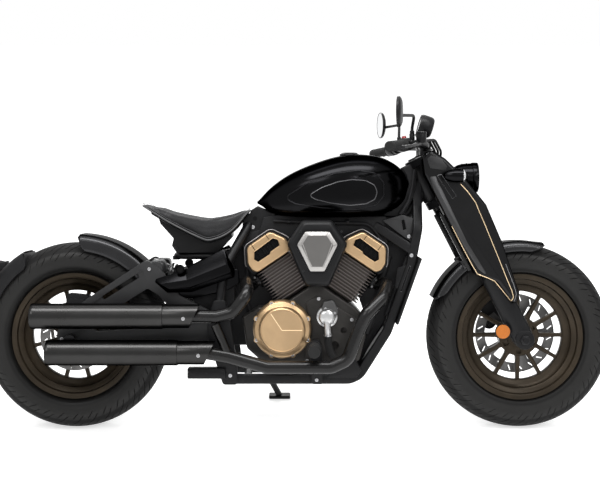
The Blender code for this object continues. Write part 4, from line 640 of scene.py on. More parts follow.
# a lighter copy of the cover lacquer: painted sheen on the cover's rear face
coverSheenPaint = lacquer("coverSheenPaint", (0.048, 0.048, 0.049), 0.32, 0.3)
coverBlack = lacquer("coverBlack", (0.018, 0.018, 0.0185), 0.22, 0.22)
grooveEdge = castMetal("grooveEdge", (0.013, 0.013, 0.014), 0.26, 0.9, 900, 0.05, 0.9)
# a lighter grey for raised rims: painted highlight where their edges catch light
highlightRim = castMetal("highlightRim", (0.085, 0.085, 0.088), 0.26, 0.9, 900, 0.05, 0.9)
goldEdge = castMetal("goldEdge", (0.76, 0.58, 0.36), 0.3, 0.5, 900, 0.1, 0.92)
brightAlloy = castMetal("brightAlloy", (0.52, 0.52, 0.52), 0.32, 0.9, 900, 0.04, 0.9)
pumpGrey = castMetal("pumpGrey", (0.105, 0.104, 0.104), 0.36, 0.8, 520, 0.3, 0.7)
panelGrey = powderCoat("panelGrey", (0.012, 0.012, 0.0125), 0.42, (0.05, 0.05, 0.05), 1300, 0.3)
boltSteel = castMetal("boltSteel", (0.42, 0.42, 0.43), 0.3, 0.95, 900, 0.15, 0.8)
darkBolt = castMetal("darkBolt", (0.024, 0.024, 0.025), 0.32, 0.8, 900, 0.15, 0.8)
chainSteel = castMetal("chainSteel", (0.2, 0.19, 0.175), 0.38, 0.9, 700, 0.25, 0.6)
springBlack = powderCoat("springBlack", (0.006, 0.006, 0.0064), 0.28)
finMetal = ironFins("finMetal", (0.018, 0.0155, 0.0145), (0.25, 0.22, 0.205))
seatHide = hide("seatHide", (0.0125, 0.0125, 0.0132))
seatThread = thread("seatThread", (0.09, 0.09, 0.092))
gripBlack = gripRubber("gripBlack")
stripeSilver = castMetal("stripeSilver", (0.3, 0.3, 0.31), 0.32, 0.6, 900, 0.1, 0.88)
amberLens = lens("amberLens", (0.46, 0.125, 0.002), 0.3, 0.0, 1400.0)
smokeLens = lens("smokeLens", (0.62, 0.62, 0.63), 0.1, 0.25)
redLens = lens("redLens", (0.36, 0.006, 0.006), 0.08, 0.2)
radiatorCore = coreFins("radiatorCore")

lampGlass = glassy("lampGlass", (0.96, 0.97, 0.98))
mirrorGlass = silvered("mirrorGlass")
chrome = silvered("chrome", (0.72, 0.72, 0.73), 0.07)
print("materials made")


# Wheels and tyres


def smoothCurve(points, count):
    # evenly spaced points on a smooth curve through the given ones
    points = np.array(points, float)
    padded = np.vstack([2 * points[0] - points[1], points, 2 * points[-1] - points[-2]])
    fine = []
    for a, b, c, d in zip(padded, padded[1:], padded[2:], padded[3:]):
        for t in np.linspace(0, 1, 24, endpoint=False):
            fine.append(0.5 * (2 * b + (c - a) * t + (2 * a - 5 * b + 4 * c - d) * t ** 2
                               + (3 * b - a - 3 * c + d) * t ** 3))
    fine.append(points[-1])
    fine = np.array(fine)
    gone = np.concatenate([[0], np.cumsum(np.linalg.norm(np.diff(fine, axis=0), axis=1))])
    even = np.linspace(0, gone[-1], count)
    return np.stack([np.interp(even, gone, fine[:, k]) for k in range(points.shape[1])], 1)


rubber = {
    "beadRadius": 0.2058,
    "lipRadius": 0.2185,
    "beadHalf": 0.0507,
    "pitches": 34,            # tread blocks round the tyre
    "columns": (0.0, 0.05, 0.1, 0.112, 0.165, 0.177, 0.23, 0.36, 0.48, 0.6, 0.612, 0.655, 0.667, 0.8),
    "longCut": (2, 5),        # the columns between which each cut runs
    "shortCut": (9, 12),
    "depth": 0.0045,
    "slant": 0.85,            # along the tread for each metre across
}


def tyre(name, outer, width, hub, body):
    half = width / 2
    low = rubber["beadRadius"]
    side = [(low, rubber["beadHalf"]), (rubber["lipRadius"] + 0.001, rubber["beadHalf"]),
            (rubber["lipRadius"] + 0.006, 0.061), (0.2055 + 0.25 * (outer - 0.2055), half * 0.925),
            (0.2055 + 0.5 * (outer - 0.2055), half), (0.2055 + 0.66 * (outer - 0.2055), half * 0.975),
            (outer - 0.02, half * 0.82), (outer - 0.0125, half * 0.66),
            (outer - 0.005, half * 0.42), (outer - 0.0012, half * 0.2)]
    crown = smoothCurve(side[2:] + [(outer, 0)] + [(r, -y) for r, y in reversed(side[2:])], 61)
    profile = side[:2] + [tuple(p) for p in crown] + [(r, -y) for r, y in reversed(side[:2])]
    each = len(rubber["columns"])
    steps = rubber["pitches"] * each
    piece = spun(profile, steps)
    co = np.empty(len(piece.data.vertices) * 3)
    piece.data.vertices.foreach_get("co", co)
    co = co.reshape(-1, 3)
    radius = np.hypot(co[:, 0], co[:, 1])
    column = np.round(np.arctan2(co[:, 1], co[:, 0]) / (2 * pi) * steps).astype(int) % steps
    share = np.array(rubber["columns"])[column % each] + column // each
    across = co[:, 2]
    reach = np.abs(across)
    # the cuts lean with the roll, and each side stands half a pitch from the other
    tread = np.clip((radius - (outer - 0.058)) / 0.006, 0, 1)
    angle = (share + np.where(across > 0, 0.25, -0.25) * np.clip(reach / 0.006, 0, 1)) / rubber["pitches"]
    angle = angle * 2 * pi - np.clip(reach, 0, half * 0.9) * rubber["slant"] / outer
    angle -= np.clip(outer - 0.016 - radius, 0, 0.048) * 1.1 / outer
    phase = column % each
    inLong = (phase > rubber["longCut"][0]) & (phase < rubber["longCut"][1])
    inShort = (phase > rubber["shortCut"][0]) & (phase < rubber["shortCut"][1])
    sunk = np.zeros(len(co))
    sunk[inLong & (reach > half * 0.2) & ((reach < half * 0.79) | (radius < outer - 0.034))] = rubber["depth"]
    sunk[inShort & (reach > half * 0.52) & (radius > outer - 0.044)] = rubber["depth"]
    sunk *= tread
    # moulded rings on the sidewall
    for at, proud, wide in ((0.2275, 0.0011, 0.0018), (outer - 0.066, 0.0009, 0.0016)):
        ring = np.clip(1 - np.abs(radius - at) / wide, 0, 1)
        co[:, 2] += np.sign(across) * ring * proud * (reach > rubber["beadHalf"])
    slope = np.clip(reach / half, 0, 1) ** 2 * 0.55
    radius = radius - sunk * (1 - slope * 0.35)
    co[:, 2] -= np.sign(across) * sunk * slope
    co[:, 0], co[:, 1] = radius * np.cos(angle), radius * np.sin(angle)
    piece.data.vertices.foreach_set("co", co.ravel())
    piece.data.update()
    dressed(name + "_cover", body, shaped(piece, hub @ alongY),
            tyreRubber(name + "Rubber", hubAt(hub), outer - 0.036),
            name, smooth=32)


tyre("rear_tyre", machine["rearRadius"], 0.15, rearHub, "rear_rolling")
tyre("front_tyre", machine["frontRadius"], 0.13, frontHub, "front_rolling")

wheel = {
    "spokes": 12,
    "rim": ((0.2055, 0.051), (0.2174, 0.051), (0.2185, 0.0521), (0.2185, 0.0553), (0.2174, 0.0565),
            (0.205, 0.056), (0.2012, 0.0545), (0.2, 0.0515), (0.1996, 0.0455), (0.198, 0.043),
            (0.184, 0.0385), (0.1818, 0.0365), (0.1812, 0.03), (0.1795, 0.027), (0.169, 0.02),
            (0.16, 0.0172), (0.1565, 0.015), (0.155, 0.011)),
    "spoke": ((0.06, 0.017, 0.0145), (0.068, 0.014, 0.0105), (0.078, 0.013, 0.0078), (0.148, 0.0105, 0.0066),
              (0.158, 0.0115, 0.008), (0.166, 0.0135, 0.012)),
    "pockets": 6,
}


def castWheel(name, begin, left, right, body, hub, nearFace):
    profile = wheel["rim"] + tuple((r, -y) for r, y in reversed(wheel["rim"]))
    rim = spun(profile, 144)
    rings = [[(r, t, h), (r, -t, h), (r, -t, -h), (r, t, -h)] for r, h, t in wheel["spoke"]]
    spoke = bevelled(lofted(rings), 0.0032, 3)
    turns = [Matrix.Rotation(begin + 2 * pi * k / wheel["spokes"], 4, "Z") for k in range(wheel["spokes"])]
    spokes = repeated(spoke, turns)
    core = [(0.0104, right), (0.03, right), (0.0315, right + 0.0015), (0.0315, -nearFace - 0.002),
            (0.034, -nearFace), (0.0685, -nearFace), (0.07, -nearFace + 0.0015), (0.07, 0.0175), (0.0685, 0.019),
            (0.049, 0.025), (0.048, 0.027), (0.048, left - 0.0012), (0.0468, left), (0.0104, left)]
    isThin = nearFace < 0.03
    if isThin:
        core[1:6] = [(0.0468, right), (0.048, right + 0.0012), (0.048, -0.027), (0.049, -0.025), (0.0685, -0.019)]
        core[6] = (0.07, -0.0175)
    middle = spun(core, 96)
    if not isThin:
        pocket = boxed((0.043, -0.0085, -nearFace - 0.01), (0.062, 0.0085, -nearFace + 0.009), 0.003)
        cutBy(middle, repeated(pocket, [Matrix.Rotation(2 * pi * (k + 0.5) / wheel["pockets"], 4, "Z")
                                        for k in range(wheel["pockets"])]))
    dressed(name + "_casting", body, shaped(joined(rim, spokes, middle), hub @ alongY), bronzeWheel,
            name)


castWheel("rear_wheel", pi / 12, 0.088, -0.05, "rear_rolling", rearHub, 0.019)
castWheel("front_wheel", 0.0, 0.046, -0.046, "front_rolling", frontHub, 0.034)

valve = rodded((0.2052, 0, 0), (0.172, 0, 0), 0.0042, sides=16, edge=0.001)
valve = joined(valve, rodded((0.178, 0, 0), (0.17, 0, 0), 0.0052, sides=16, edge=0.001))
for hub, body, turn in ((rearHub, "rear_rolling", 2.6), (frontHub, "front_rolling", 3.4)):
    stem = copied(valve, hub @ Matrix.Rotation(turn, 4, "Y"))
    dressed(body.split("_")[0] + "_valve", body, stem, gripBlack)
bpy.data.objects.remove(valve)

brake = {
    "thick": 0.005,
    "band": 0.034,
    "slots": 20,
    "carriers": 5,
    "bore": 0.034,
}


def brakeDisc(name, outer, face, towards, body, hub):
    holes = [ringOf(brake["bore"], 48)]
    for k in range(brake["carriers"]):
        begin, sweep = 2 * pi * k / brake["carriers"] + 0.16, 2 * pi / brake["carriers"] - 0.32
        window = ringOf(outer - brake["band"], 16, begin, sweep)
        window += ringOf(brake["bore"] + 0.018, 10, begin + sweep, -sweep)
        holes.append(roundedOutline(window, 0.004, 3))
    for k in range(brake["slots"]):
        turn = Matrix.Rotation(2 * pi * (k + 0.5) / brake["slots"], 3, "Z")
        lean = Matrix.Rotation(0.65 if k % 2 else 0.5, 3, "Z")
        middle = Vector((outer - brake["band"] * (0.5 if k % 2 else 0.46), 0, 0))
        corners = [(-0.0105, -0.0019), (0.0105, -0.0019), (0.0105, 0.0019), (-0.0105, 0.0019)]
        spots = [turn @ (middle + lean @ Vector((x, y, 0))) for x, y in corners]
        holes.append(roundedOutline([(p.x, p.y) for p in spots], 0.0018, 3))
    far = face + towards * brake["thick"]
    piece = plated(ringOf(outer, 144), face, far, holes, 0.0004, 1)
    spots = [((0.041 * cos(a), far, 0.041 * sin(a)), (0, towards, 0)) for a in np.arange(5) * 2 * pi / 5]
    painted(piece, turnedSteel(name + "Steel", hubAt(hub)))
    bolts = painted(screws(spots, 0.0055, 0.004), boltSteel)
    piece = joined(piece, bolts)
    dressed(name + "_turned", body, shaped(piece, hub), None, name, smooth=30)


brakeDisc("front_disc", 0.14, 0.0463, 1, "front_rolling", frontHub)
brakeDisc("rear_disc", 0.12, -0.0503, -1, "rear_rolling", rearHub)

drive = {
    "teeth": 32,
    "radius": 0.098,
    "face": 0.0883,
    "thick": 0.007,
    "chainY": 0.0918,
    "small": (0.618, 0.352, 0.036, 13),
    "links": 104,
}


def toothed(radius, teeth, deep):
    outline = []
    for k in range(teeth):
        for share, drop in ((-0.11, 0.0), (0.11, 0.0), (0.26, 0.55), (0.38, 0.92), (0.5, 1.0), (0.62, 0.92),
                            (0.74, 0.55)):
            angle, reach = (k + share) * 2 * pi / teeth, radius - deep * drop
            outline.append((reach * cos(angle), reach * sin(angle)))
    return outline


holes = [ringOf(0.014, 28, centre=(0.062 * cos(a), 0.062 * sin(a))) for a in np.arange(5) * 2 * pi / 5]
big = plated(toothed(drive["radius"], drive["teeth"], 0.008), drive["face"], drive["face"] + drive["thick"],
             holes + [ringOf(0.034, 48)], 0.0006, 1)
nuts = [((0.041 * cos(a), drive["face"] + drive["thick"], 0.041 * sin(a)), (0, 1, 0))
        for a in (np.arange(5) + 0.5) * 2 * pi / 5]
big = joined(painted(big, turnedSteel("sprocketSteel", hubAt(rearHub), (0.1, 0.1, 0.102))),
             painted(screws(nuts, 0.007, 0.006, 6), boltSteel))
dressed("rear_sprocket_cut", "rear_rolling", shaped(big, rearHub), None, "rear_sprocket", smooth=30)


def chainLine(extra, steps):
    wide, small = drive["radius"] + 0.005 + extra, drive["small"][2] + extra
    dx, dz = drive["small"][0], drive["small"][1] - machine["rearRadius"]
    lean = atan2(dz, dx)
    spread = atan2(sqrt(dx ** 2 + dz ** 2 - (wide - small) ** 2), wide - small)
    line = ringOf(wide, steps, lean + spread, 2 * pi - 2 * spread, (0, machine["rearRadius"]))
    return line + ringOf(small, steps // 2, lean - spread, 2 * spread, drive["small"][:2])


def spacedAlong(line, count):
    points = np.array(line + line[:1])
    gone = np.concatenate([[0], np.cumsum(np.linalg.norm(np.diff(points, axis=0), axis=1))])
    even = np.arange(count) * gone[-1] / count
    return np.stack([np.interp(even, gone, points[:, k]) for k in (0, 1)], 1)


pins = spacedAlong(chainLine(0.0065, 120), drive["links"])
pitch = float(np.linalg.norm(pins[1] - pins[0]))
figure = []      # a waisted link plate about its two pins
for k in range(20):
    a = 2 * pi * k / 20
    figure.append((pitch / 2 * (1 if cos(a) > 0 else -1) * min(1, abs(cos(a)) * 1.6) + 0.006 * cos(a),
                   0.0063 * sin(a) * (0.8 if abs(cos(a)) < 0.4 else 1)))


def chainLink(near, far, pinHalf, pinRadius, sides):
    # two plates on two pins
    parts = [plated(figure, way * near, way * far, edge=0.0003, segments=1) for way in (-1, 1)]
    return joined(*parts, *[rodded((x, -pinHalf, 0), (x, pinHalf, 0), pinRadius, sides=sides)
                            for x in (-pitch / 2, pitch / 2)])


links = []
for kind, first in ((chainLink(0.0036, 0.005, 0.0036, 0.0045, 12), 0),
                    (chainLink(0.0052, 0.0066, 0.0074, 0.0025, 10), 1)):
    places = []
    for k in range(first, drive["links"], 2):
        a, b = pins[k], pins[(k + 1) % drive["links"]]
        turn = Matrix.Rotation(-atan2(b[1] - a[1], b[0] - a[0]), 4, "Y")
        places.append(Matrix.Translation(((a[0] + b[0]) / 2, drive["chainY"], (a[1] + b[1]) / 2)) @ turn)
    links.append(repeated(kind, places))
dressed("chain_links", "chassis", joined(*links), chainSteel, "chain", smooth=30)
print("wheels, discs and chain made")


# Steering


def fenderShell(form, hub):
    # a rolled-edge band with a skirt; the ends are cut round
    steps = 72
    outer, half, skirt = form["outer"], form["half"], form["skirt"]
    begin, end = radians(form["from"]), radians(form["to"])
    across = [(skirt, half - 0.001), (skirt + 0.002, half), (outer - 0.018, half - 0.0004),
              (outer - 0.009, half - 0.0055), (outer - 0.003, half - 0.016), (outer - 0.0005, half - 0.032),
              (outer, 0)]
    curve = smoothCurve(across, 26)
    full = [tuple(p) for p in curve] + [(r, -y) for r, y in reversed(curve[:-1])]
    rings = []
    for k in range(steps + 1):
        share = k / steps
        ring = []
        for r, y in full:
            # towards an end the skirt is cut back in a curve
            near = min(share, 1 - share) * (end - begin)
            back = max(0.0, 1 - near / form["ends"])
            low = skirt + (outer - 0.004 - skirt) * back ** 2.2
            r = max(r, min(low, outer - 0.0005 - (abs(y) / half) ** 6 * 0.004))
            rise = form["lip"] * max(0.0, 1 - share * (end - begin) / 0.1) ** 2 * (1 - (abs(y) / half) ** 2)
            a = begin + (end - begin) * share
            ring.append(((r + rise) * cos(a), y, (r + rise) * sin(a)))
        rings.append(ring)
    piece = lofted(rings, capped=False)
    piece = applied(piece, "SOLIDIFY", thickness=outer - form["inner"], offset=-1, use_rim=True)
    return shaped(piece, hub)


frontFender = {
    "inner": 0.3305, "outer": 0.333, "half": 0.0775, "skirt": 0.298,
    "from": 75.8, "to": 156.0,     # degrees about the axle, from straight ahead
    "lip": 0.004,                  # how far the front edge turns up
    "ends": 0.16,                  # how long the cut of the ends is, in radians
    "stayOut": 0.0915,
}
guard = fenderShell(frontFender, frontHub)
stays = []
for side in (-1, 1):
    out = side * frontFender["stayOut"]
    stays.append(boxed((forkX - 0.07, side * (frontFender["half"] - 0.003), 0.3),
                       (forkX + 0.012, out, 0.33), 0.003, place=steered))
    stays.append(screws([(steered @ Vector((forkX - 0.06, out, 0.315)), (0, side, 0))], 0.006, 0.004))
dressed("front_fender_shell", "steering", joined(guard, *stays), fenderBlack, "front_fender")

fork = {
    "half": 0.115, "tube": 0.024, "legX": 0.0375, "legY": 0.03,
    "coverIn": 0.11, "coverOut": 0.16,
    "outline": ((-0.051, 0.277), (-0.051, 0.655), (-0.028, 0.72), (0.008, 0.72), (0.038, 0.672),
                (0.066, 0.588), (0.0906, 0.47), (0.081, 0.33), (0.054, 0.151), (0.022, 0.114),
                (0.004, 0.218), (-0.04, 0.262)),
    "reflector": 0.026,
}


coverOut = fork["coverOut"]
slotPath = seenAt(((437.0, 175.5), (441.5, 174.6), (456.4, 196.0), (452.4, 198.6)), -coverOut)
signal = {
    "bowl": ((0, -0.034), (0.006, -0.0335), (0.012, -0.0305), (0.0175, -0.018), (0.0215, -0.004), (0.0225, 0.004),
             (0.0225, 0.029), (0.0215, 0.03), (0.02, 0.03), (0.02, 0.024), (0, 0.022)),
    "lensEdge": ((0, 0.0245), (0.0198, 0.0255), (0.0198, 0.029)),
    "frontDome": ((0.0185, 0.0335), (0.012, 0.0375), (0, 0.039)),
    "rearDome": ((0.0185, 0.0325), (0.012, 0.034), (0, 0.0345)),
    "front": (1.297, 0.198, 0.8775), "rear": (-0.3, 0.115, 0.552),
}
tubePaint = powderCoat("tubeBlack", (0.0045, 0.0045, 0.0048), 0.24, shine=0.25)
for side, word in bothSides:
    y = side * fork["half"]
    rings = []
    for z, grow in ((-0.005, 0.74), (0.001, 0.9), (0.01, 0.985), (0.03, 1.0), (0.12, 0.985), (0.236, 1.0),
                    (0.244, 0.985), (0.25, 0.93)):
        rings.append([(forkX + fork["legX"] * grow * cos(a), y + fork["legY"] * grow * sin(a), z)
                      for a in np.arange(48) * 2 * pi / 48])
    leg = lofted(rings)
    tube = rodded((forkX, y, 0.24), (forkX, y, 0.711), fork["tube"], sides=48)
    seal = rodded((forkX, y, 0.247), (forkX, y, 0.262), fork["tube"] + 0.0035, sides=48, edge=0.0015)
    boss = rodded((forkX, y - 0.031, 0), (forkX, y + 0.031, 0), 0.033, sides=48, edge=0.003)
    lug = boxed((-0.012, y + side * 0.02 - 0.005, 0.045), (0.028, y + side * 0.02 + 0.005, 0.075), 0.002)
    ring = rodded((-0.004, y + side * 0.022, 0.06), (-0.004, y + side * 0.0325, 0.06), fork["reflector"],
                  sides=48, edge=0.001)
    flange = boxed((forkX - 0.062, side * 0.093, 0.29), (forkX - 0.036, side * 0.104, 0.5), 0.002)
    web = boxed((forkX - 0.04, side * 0.093, 0.29), (forkX - 0.02, side * 0.104, 0.31), 0.002)
    body = joined(painted(joined(leg, boss, lug, ring), satinBlack),
                  painted(joined(tube, seal, flange, web), tubePaint))
    cutBy(body, rodded((forkX, y - 0.05, 0), (forkX, y + 0.05, 0), 0.0102, sides=32))
    dressed(f"fork_leg_{word}_body", "steering", shaped(body, steered), None, f"fork_leg_{word}")
    glow = spun([(0, 0.0), (0.0232, 0.0), (0.0238, 0.0008), (0.0232, 0.0022), (0, 0.0028)], 64)
    shaped(glow,
           steered @ Matrix.Translation((-0.004, y + side * 0.0322, 0.06)) @ (alongY if side > 0 else outward))
    dressed(f"reflector_{word}", "steering", glow, amberLens)

    outline = roundedOutline([(forkX + x, z) for x, z in fork["outline"]], 0.024, 8)
    shell = plated(outline, side * fork["coverIn"], side * coverOut)
    # only the outer edge is rolled
    openMesh(shell)
    bpy.ops.mesh.select_mode(type="FACE")
    bpy.ops.mesh.select_all(action="DESELECT")
    bm = bmesh.from_edit_mesh(shell.data)
    for face in bm.faces:
        face.select_set(face.normal.y * side > 0.9)
    bmesh.update_edit_mesh(shell.data)
    bpy.ops.mesh.select_mode(type="EDGE")
    bpy.ops.mesh.region_to_loop()
    bpy.ops.mesh.bevel(offset=0.012, segments=6, profile=0.5, affect="EDGES")
    closeMesh(shell)
    tubeCut = rodded((forkX, y, 0.2), (forkX, y, 0.7123), fork["tube"] + 0.0006, sides=48)
    legCut = lofted([[(forkX + (fork["legX"] + 0.0015) * cos(a), y + (fork["legY"] + 0.0015) * sin(a), z)
                      for a in np.arange(48) * 2 * pi / 48] for z in (0.05, 0.2503)])
    cutBy(shell, tubeCut, legCut)
    shaped(shell, steered)
    cutBy(shell, plated(roundedOutline(slotPath, 0.002), side * (coverOut - 0.004), side * (coverOut + 0.002)))
    # the signal lamp's stalk stands on the cover
    foot = rodded((1.292, side * 0.156, 0.8775), (1.292, side * 0.166, 0.8775), 0.015, sides=40, edge=0.003)
    stalk = rodded((1.292, side * 0.16, 0.8775), (1.292, side * 0.198, 0.8775), 0.0085, sides=32)
    shell = joined(painted(shell, coverBlack), painted(joined(foot, stalk), satinBlack))
    x, y, z = signal["front"]
    at = Matrix.Translation((x, side * y, z)) @ alongX
    shell = joined(shell, painted(shaped(spun(signal["bowl"], 56), at), blackLacquer))
    dressed(f"fork_cover_{word}_shell", "steering", shell, None, f"fork_cover_{word}")
    dome = spun(signal["lensEdge"] + signal["frontDome"], 56)
    dressed(f"front_signal_lens_{word}", "steering", shaped(dome, at), smokeLens)

# a fine double line follows each cover's edge
pinstripe = {
    "gold": ((460.5, 184), (468, 192), (475.6, 202.6), (479.6, 212.5), (485.6, 226.3), (493, 244.7), (500.5, 263),
             (507.2, 279.9), (511.8, 290.6), (513.4, 297), (511, 303), (504.8, 293.7), (500.2, 286), (494.8, 281),
             (487.9, 277.9), (477.6, 274), (472.8, 266.1), (463.0, 247.7), (456.8, 235.5), (450.6, 223.2)),
    "fine": ((505.6, 264.0), (513.4, 284.0), (516.3, 294.0), (513.6, 303.0)),
    "lift": 0.0005,
}


def onPiece(piece, x, z, side, lift=0.0):
    # where a line from the side meets a finished piece
    start = parked @ Vector((x, side * 0.3, z))
    way = parked.to_3x3() @ Vector((0, -side, 0))
    hit, point, normal, _ = piece.ray_cast(start, way)
    return parked.inverted() @ (point + normal * lift) if hit else None


for side, word in bothSides:
    shell = bpy.data.objects[f"fork_cover_{word}_shell"]
    for tone, radius, label in ((goldEdge, 0.0014, "gold"), (stripeSilver, 0.0008, "fine")):
        path = roundedPath([atPixel(px, py, -coverOut) for px, py in pinstripe[label]], 0.01, 5)
        laid = []
        for a, b in zip(path, path[1:]):
            laid += [a.lerp(b, k / 4) for k in range(4)]
        found = [onPiece(shell, p.x, p.z, side, pinstripe["lift"]) for p in laid]
        found = [p for p in found if p and abs(p.y) > 0.145]
        dressed(f"pinstripe_{label}_{word}", "steering", piped(found, radius, sides=8), tone)
    # the slot's rim is lighter grey: painted highlight
    rim = piped([(x, side * (coverOut + 0.0001), z) for x, z in slotPath], 0.0009, sides=8, closed=True)
    dressed(f"cover_slot_{word}", "steering", rim, highlightRim)
    crown = seenAt(((427, 158.5), (431, 155.5), (441, 158.5), (447, 166), (446, 170.5), (430, 168)), -coverOut)
    crown = plated(roundedOutline(crown, 0.004), side * (coverOut - 0.001), side * (coverOut + 0.0016),
                   edge=0.0008)
    dressed(f"cover_crown_{word}", "steering", crown, panelGrey)
    # the rear face of the cover stands a little proud, in a lighter copy of the cover's lacquer: a painted sheen
    rearFace = seenAt(((429.5, 177), (435.5, 176), (450, 206), (467.5, 243), (489, 277.5),
                       (478.5, 269.5), (463, 245), (447, 216), (434, 190)), -coverOut)
    rearFace = plated(roundedOutline(rearFace, 0.004), side * (coverOut - 0.001), side * (coverOut + 0.0014),
                      edge=0.001)
    dressed(f"cover_face_{word}", "steering", rearFace, coverSheenPaint)

yoke = nodeCopy("yoke", 0.0022, 3)
dressed("yoke_casting", "steering", yoke, satinBlack, "yoke")
axle = nodeCopy("front_axle", 0.0015, 2)
dressed("front_axle_turned", "steering", axle, darkBolt, "front_axle")

lampPlace = Matrix.Translation((1.357, 0, 0.873)) @ alongX
bowl = spun([(0, -0.045), (0.018, -0.0447), (0.026, -0.0425), (0.036, -0.035), (0.0435, -0.022), (0.0475, -0.008),
             (0.0488, -0.0075), (0.0488, -0.0045), (0.048, -0.004), (0.0492, 0.008), (0.0505, 0.0085),
             (0.0505, 0.0115), (0.0495, 0.012), (0.05, 0.026), (0.0518, 0.0275), (0.0525, 0.03), (0.0525, 0.046),
             (0.0515, 0.048), (0.047, 0.048), (0.0462, 0.044), (0.0455, 0.041), (0.03, 0.016), (0.016, 0.006),
             (0, 0.003)], 96)
dressed("headlight_bowl", "steering", shaped(bowl, lampPlace), blackLacquer, "headlight")
mirrorBowl = spun([(0.0448, 0.0405), (0.03, 0.0172), (0.016, 0.0072), (0.008, 0.0055), (0.008, 0.005),
                   (0.016, 0.0064), (0.0305, 0.0163), (0.0454, 0.0403)], 72)
bulb = rodded((0, 0, 0.006), (0, 0, 0.026), 0.006, sides=24, edge=0.002)
dressed("headlight_reflector", "steering", shaped(joined(mirrorBowl, bulb), lampPlace), chrome)
pane = spun([(0, 0.0445), (0.03, 0.0435), (0.0465, 0.0415), (0.0465, 0.0435), (0.03, 0.0468), (0, 0.0482)], 72)
dressed("headlight_glass", "steering", shaped(pane, lampPlace), lampGlass)

dial = {"at": (1.224, 0, 1.052), "turn": 196, "marks": 25, "from": -130, "sweep": 260}
gauge = Matrix.Translation(dial["at"]) @ Matrix.Rotation(radians(dial["turn"]), 4, "Y") @ alongX
drum = spun([(0, -0.024), (0.029, -0.024), (0.033, -0.0215), (0.037, -0.016), (0.0385, 0.0), (0.039, 0.018),
             (0.038, 0.022), (0.0365, 0.0255), (0.0345, 0.026), (0.0332, 0.0235), (0.0325, 0.0185), (0, 0.0185)],
             80)
post = boxed((0.05, -0.018, 0.7528), (0.072, 0.018, 0.792), 0.003, place=steered)
drum = joined(shaped(drum, gauge), post)
dressed("instrument_body", "steering", drum, satinBlack, "instrument")
marks = []
for k in range(dial["marks"]):
    turn = Matrix.Rotation(radians(dial["from"] + dial["sweep"] * k / (dial["marks"] - 1)), 4, "Z")
    long = 0.006 if k % 4 == 0 else 0.0035
    marks.append(boxed((0.0285 - long, -0.00035, 0.0186), (0.0285, 0.00035, 0.0189), place=turn))
marks.append(boxed((-0.006, -0.0006, 0.0196), (0.024, 0.0006, 0.0202),
                   place=Matrix.Rotation(radians(dial["from"]), 4, "Z")))
marks.append(rodded((0, 0, 0.0187), (0, 0, 0.0206), 0.0035, sides=20))
dressed("instrument_marks", "steering", shaped(joined(*marks), gauge), stripeSilver)
cover = spun([(0, 0.0235), (0.0335, 0.0225), (0.0335, 0.0235), (0, 0.025)], 64)
dressed("instrument_glass", "steering", shaped(cover, gauge), lampGlass)

bars = {
    "radius": 0.0125, "gripLong": 0.125,
    "end": (1.065, 0.4, 0.968), "knee": (1.17, 0.18, 0.986),
    "mirrorAt": (1.097, 0.398, 1.078),
}
barCentre = steered @ Vector((0.056, 0, 0.74))
barEnd, barKnee = Vector(bars["end"]), Vector(bars["knee"])
gripWay = (barEnd - barKnee).normalized()
gripAhead = gripWay.cross(Vector((0, 0, 1))).normalized()


def onGrip(back, ahead=0.0, up=0.0):
    return barEnd - gripWay * back + gripAhead * ahead + Vector((0, 0, up))


half = [barCentre, barCentre + Vector((0, 0.1, 0)), barKnee, barEnd]
path = [Vector((p.x, -p.y, p.z)) for p in reversed(half[1:])] + half
bar = painted(piped(path, bars["radius"], [0, 0.08, 0.08, 0, 0.08, 0.08, 0], sides=32, steps=10), satinBlack)
grips = []
profile = [(0.0, -0.0035), (0.0145, -0.0035), (0.0165, -0.002), (0.017, 0.001), (0.017, 0.008)]
for k in range(16):
    at = 0.012 + k * 0.0062
    profile += [(0.017, at), (0.016, at + 0.001), (0.016, at + 0.0022), (0.017, at + 0.0032)]
profile += [(0.0172, 0.113), (0.0205, 0.117), (0.022, 0.119), (0.022, 0.124), (0.0205, 0.125), (0.0, 0.125)]
for side in (-1, 1):
    grip = spun(profile, 48)
    shaped(grip, Matrix.Translation(barEnd) @ turnTo(-gripWay))
    grips.append(mirroredTo(grip, side))
dressed("handlebar_bar", "steering", joined(bar, painted(joined(*grips), gripBlack)), None,
        "handlebar")


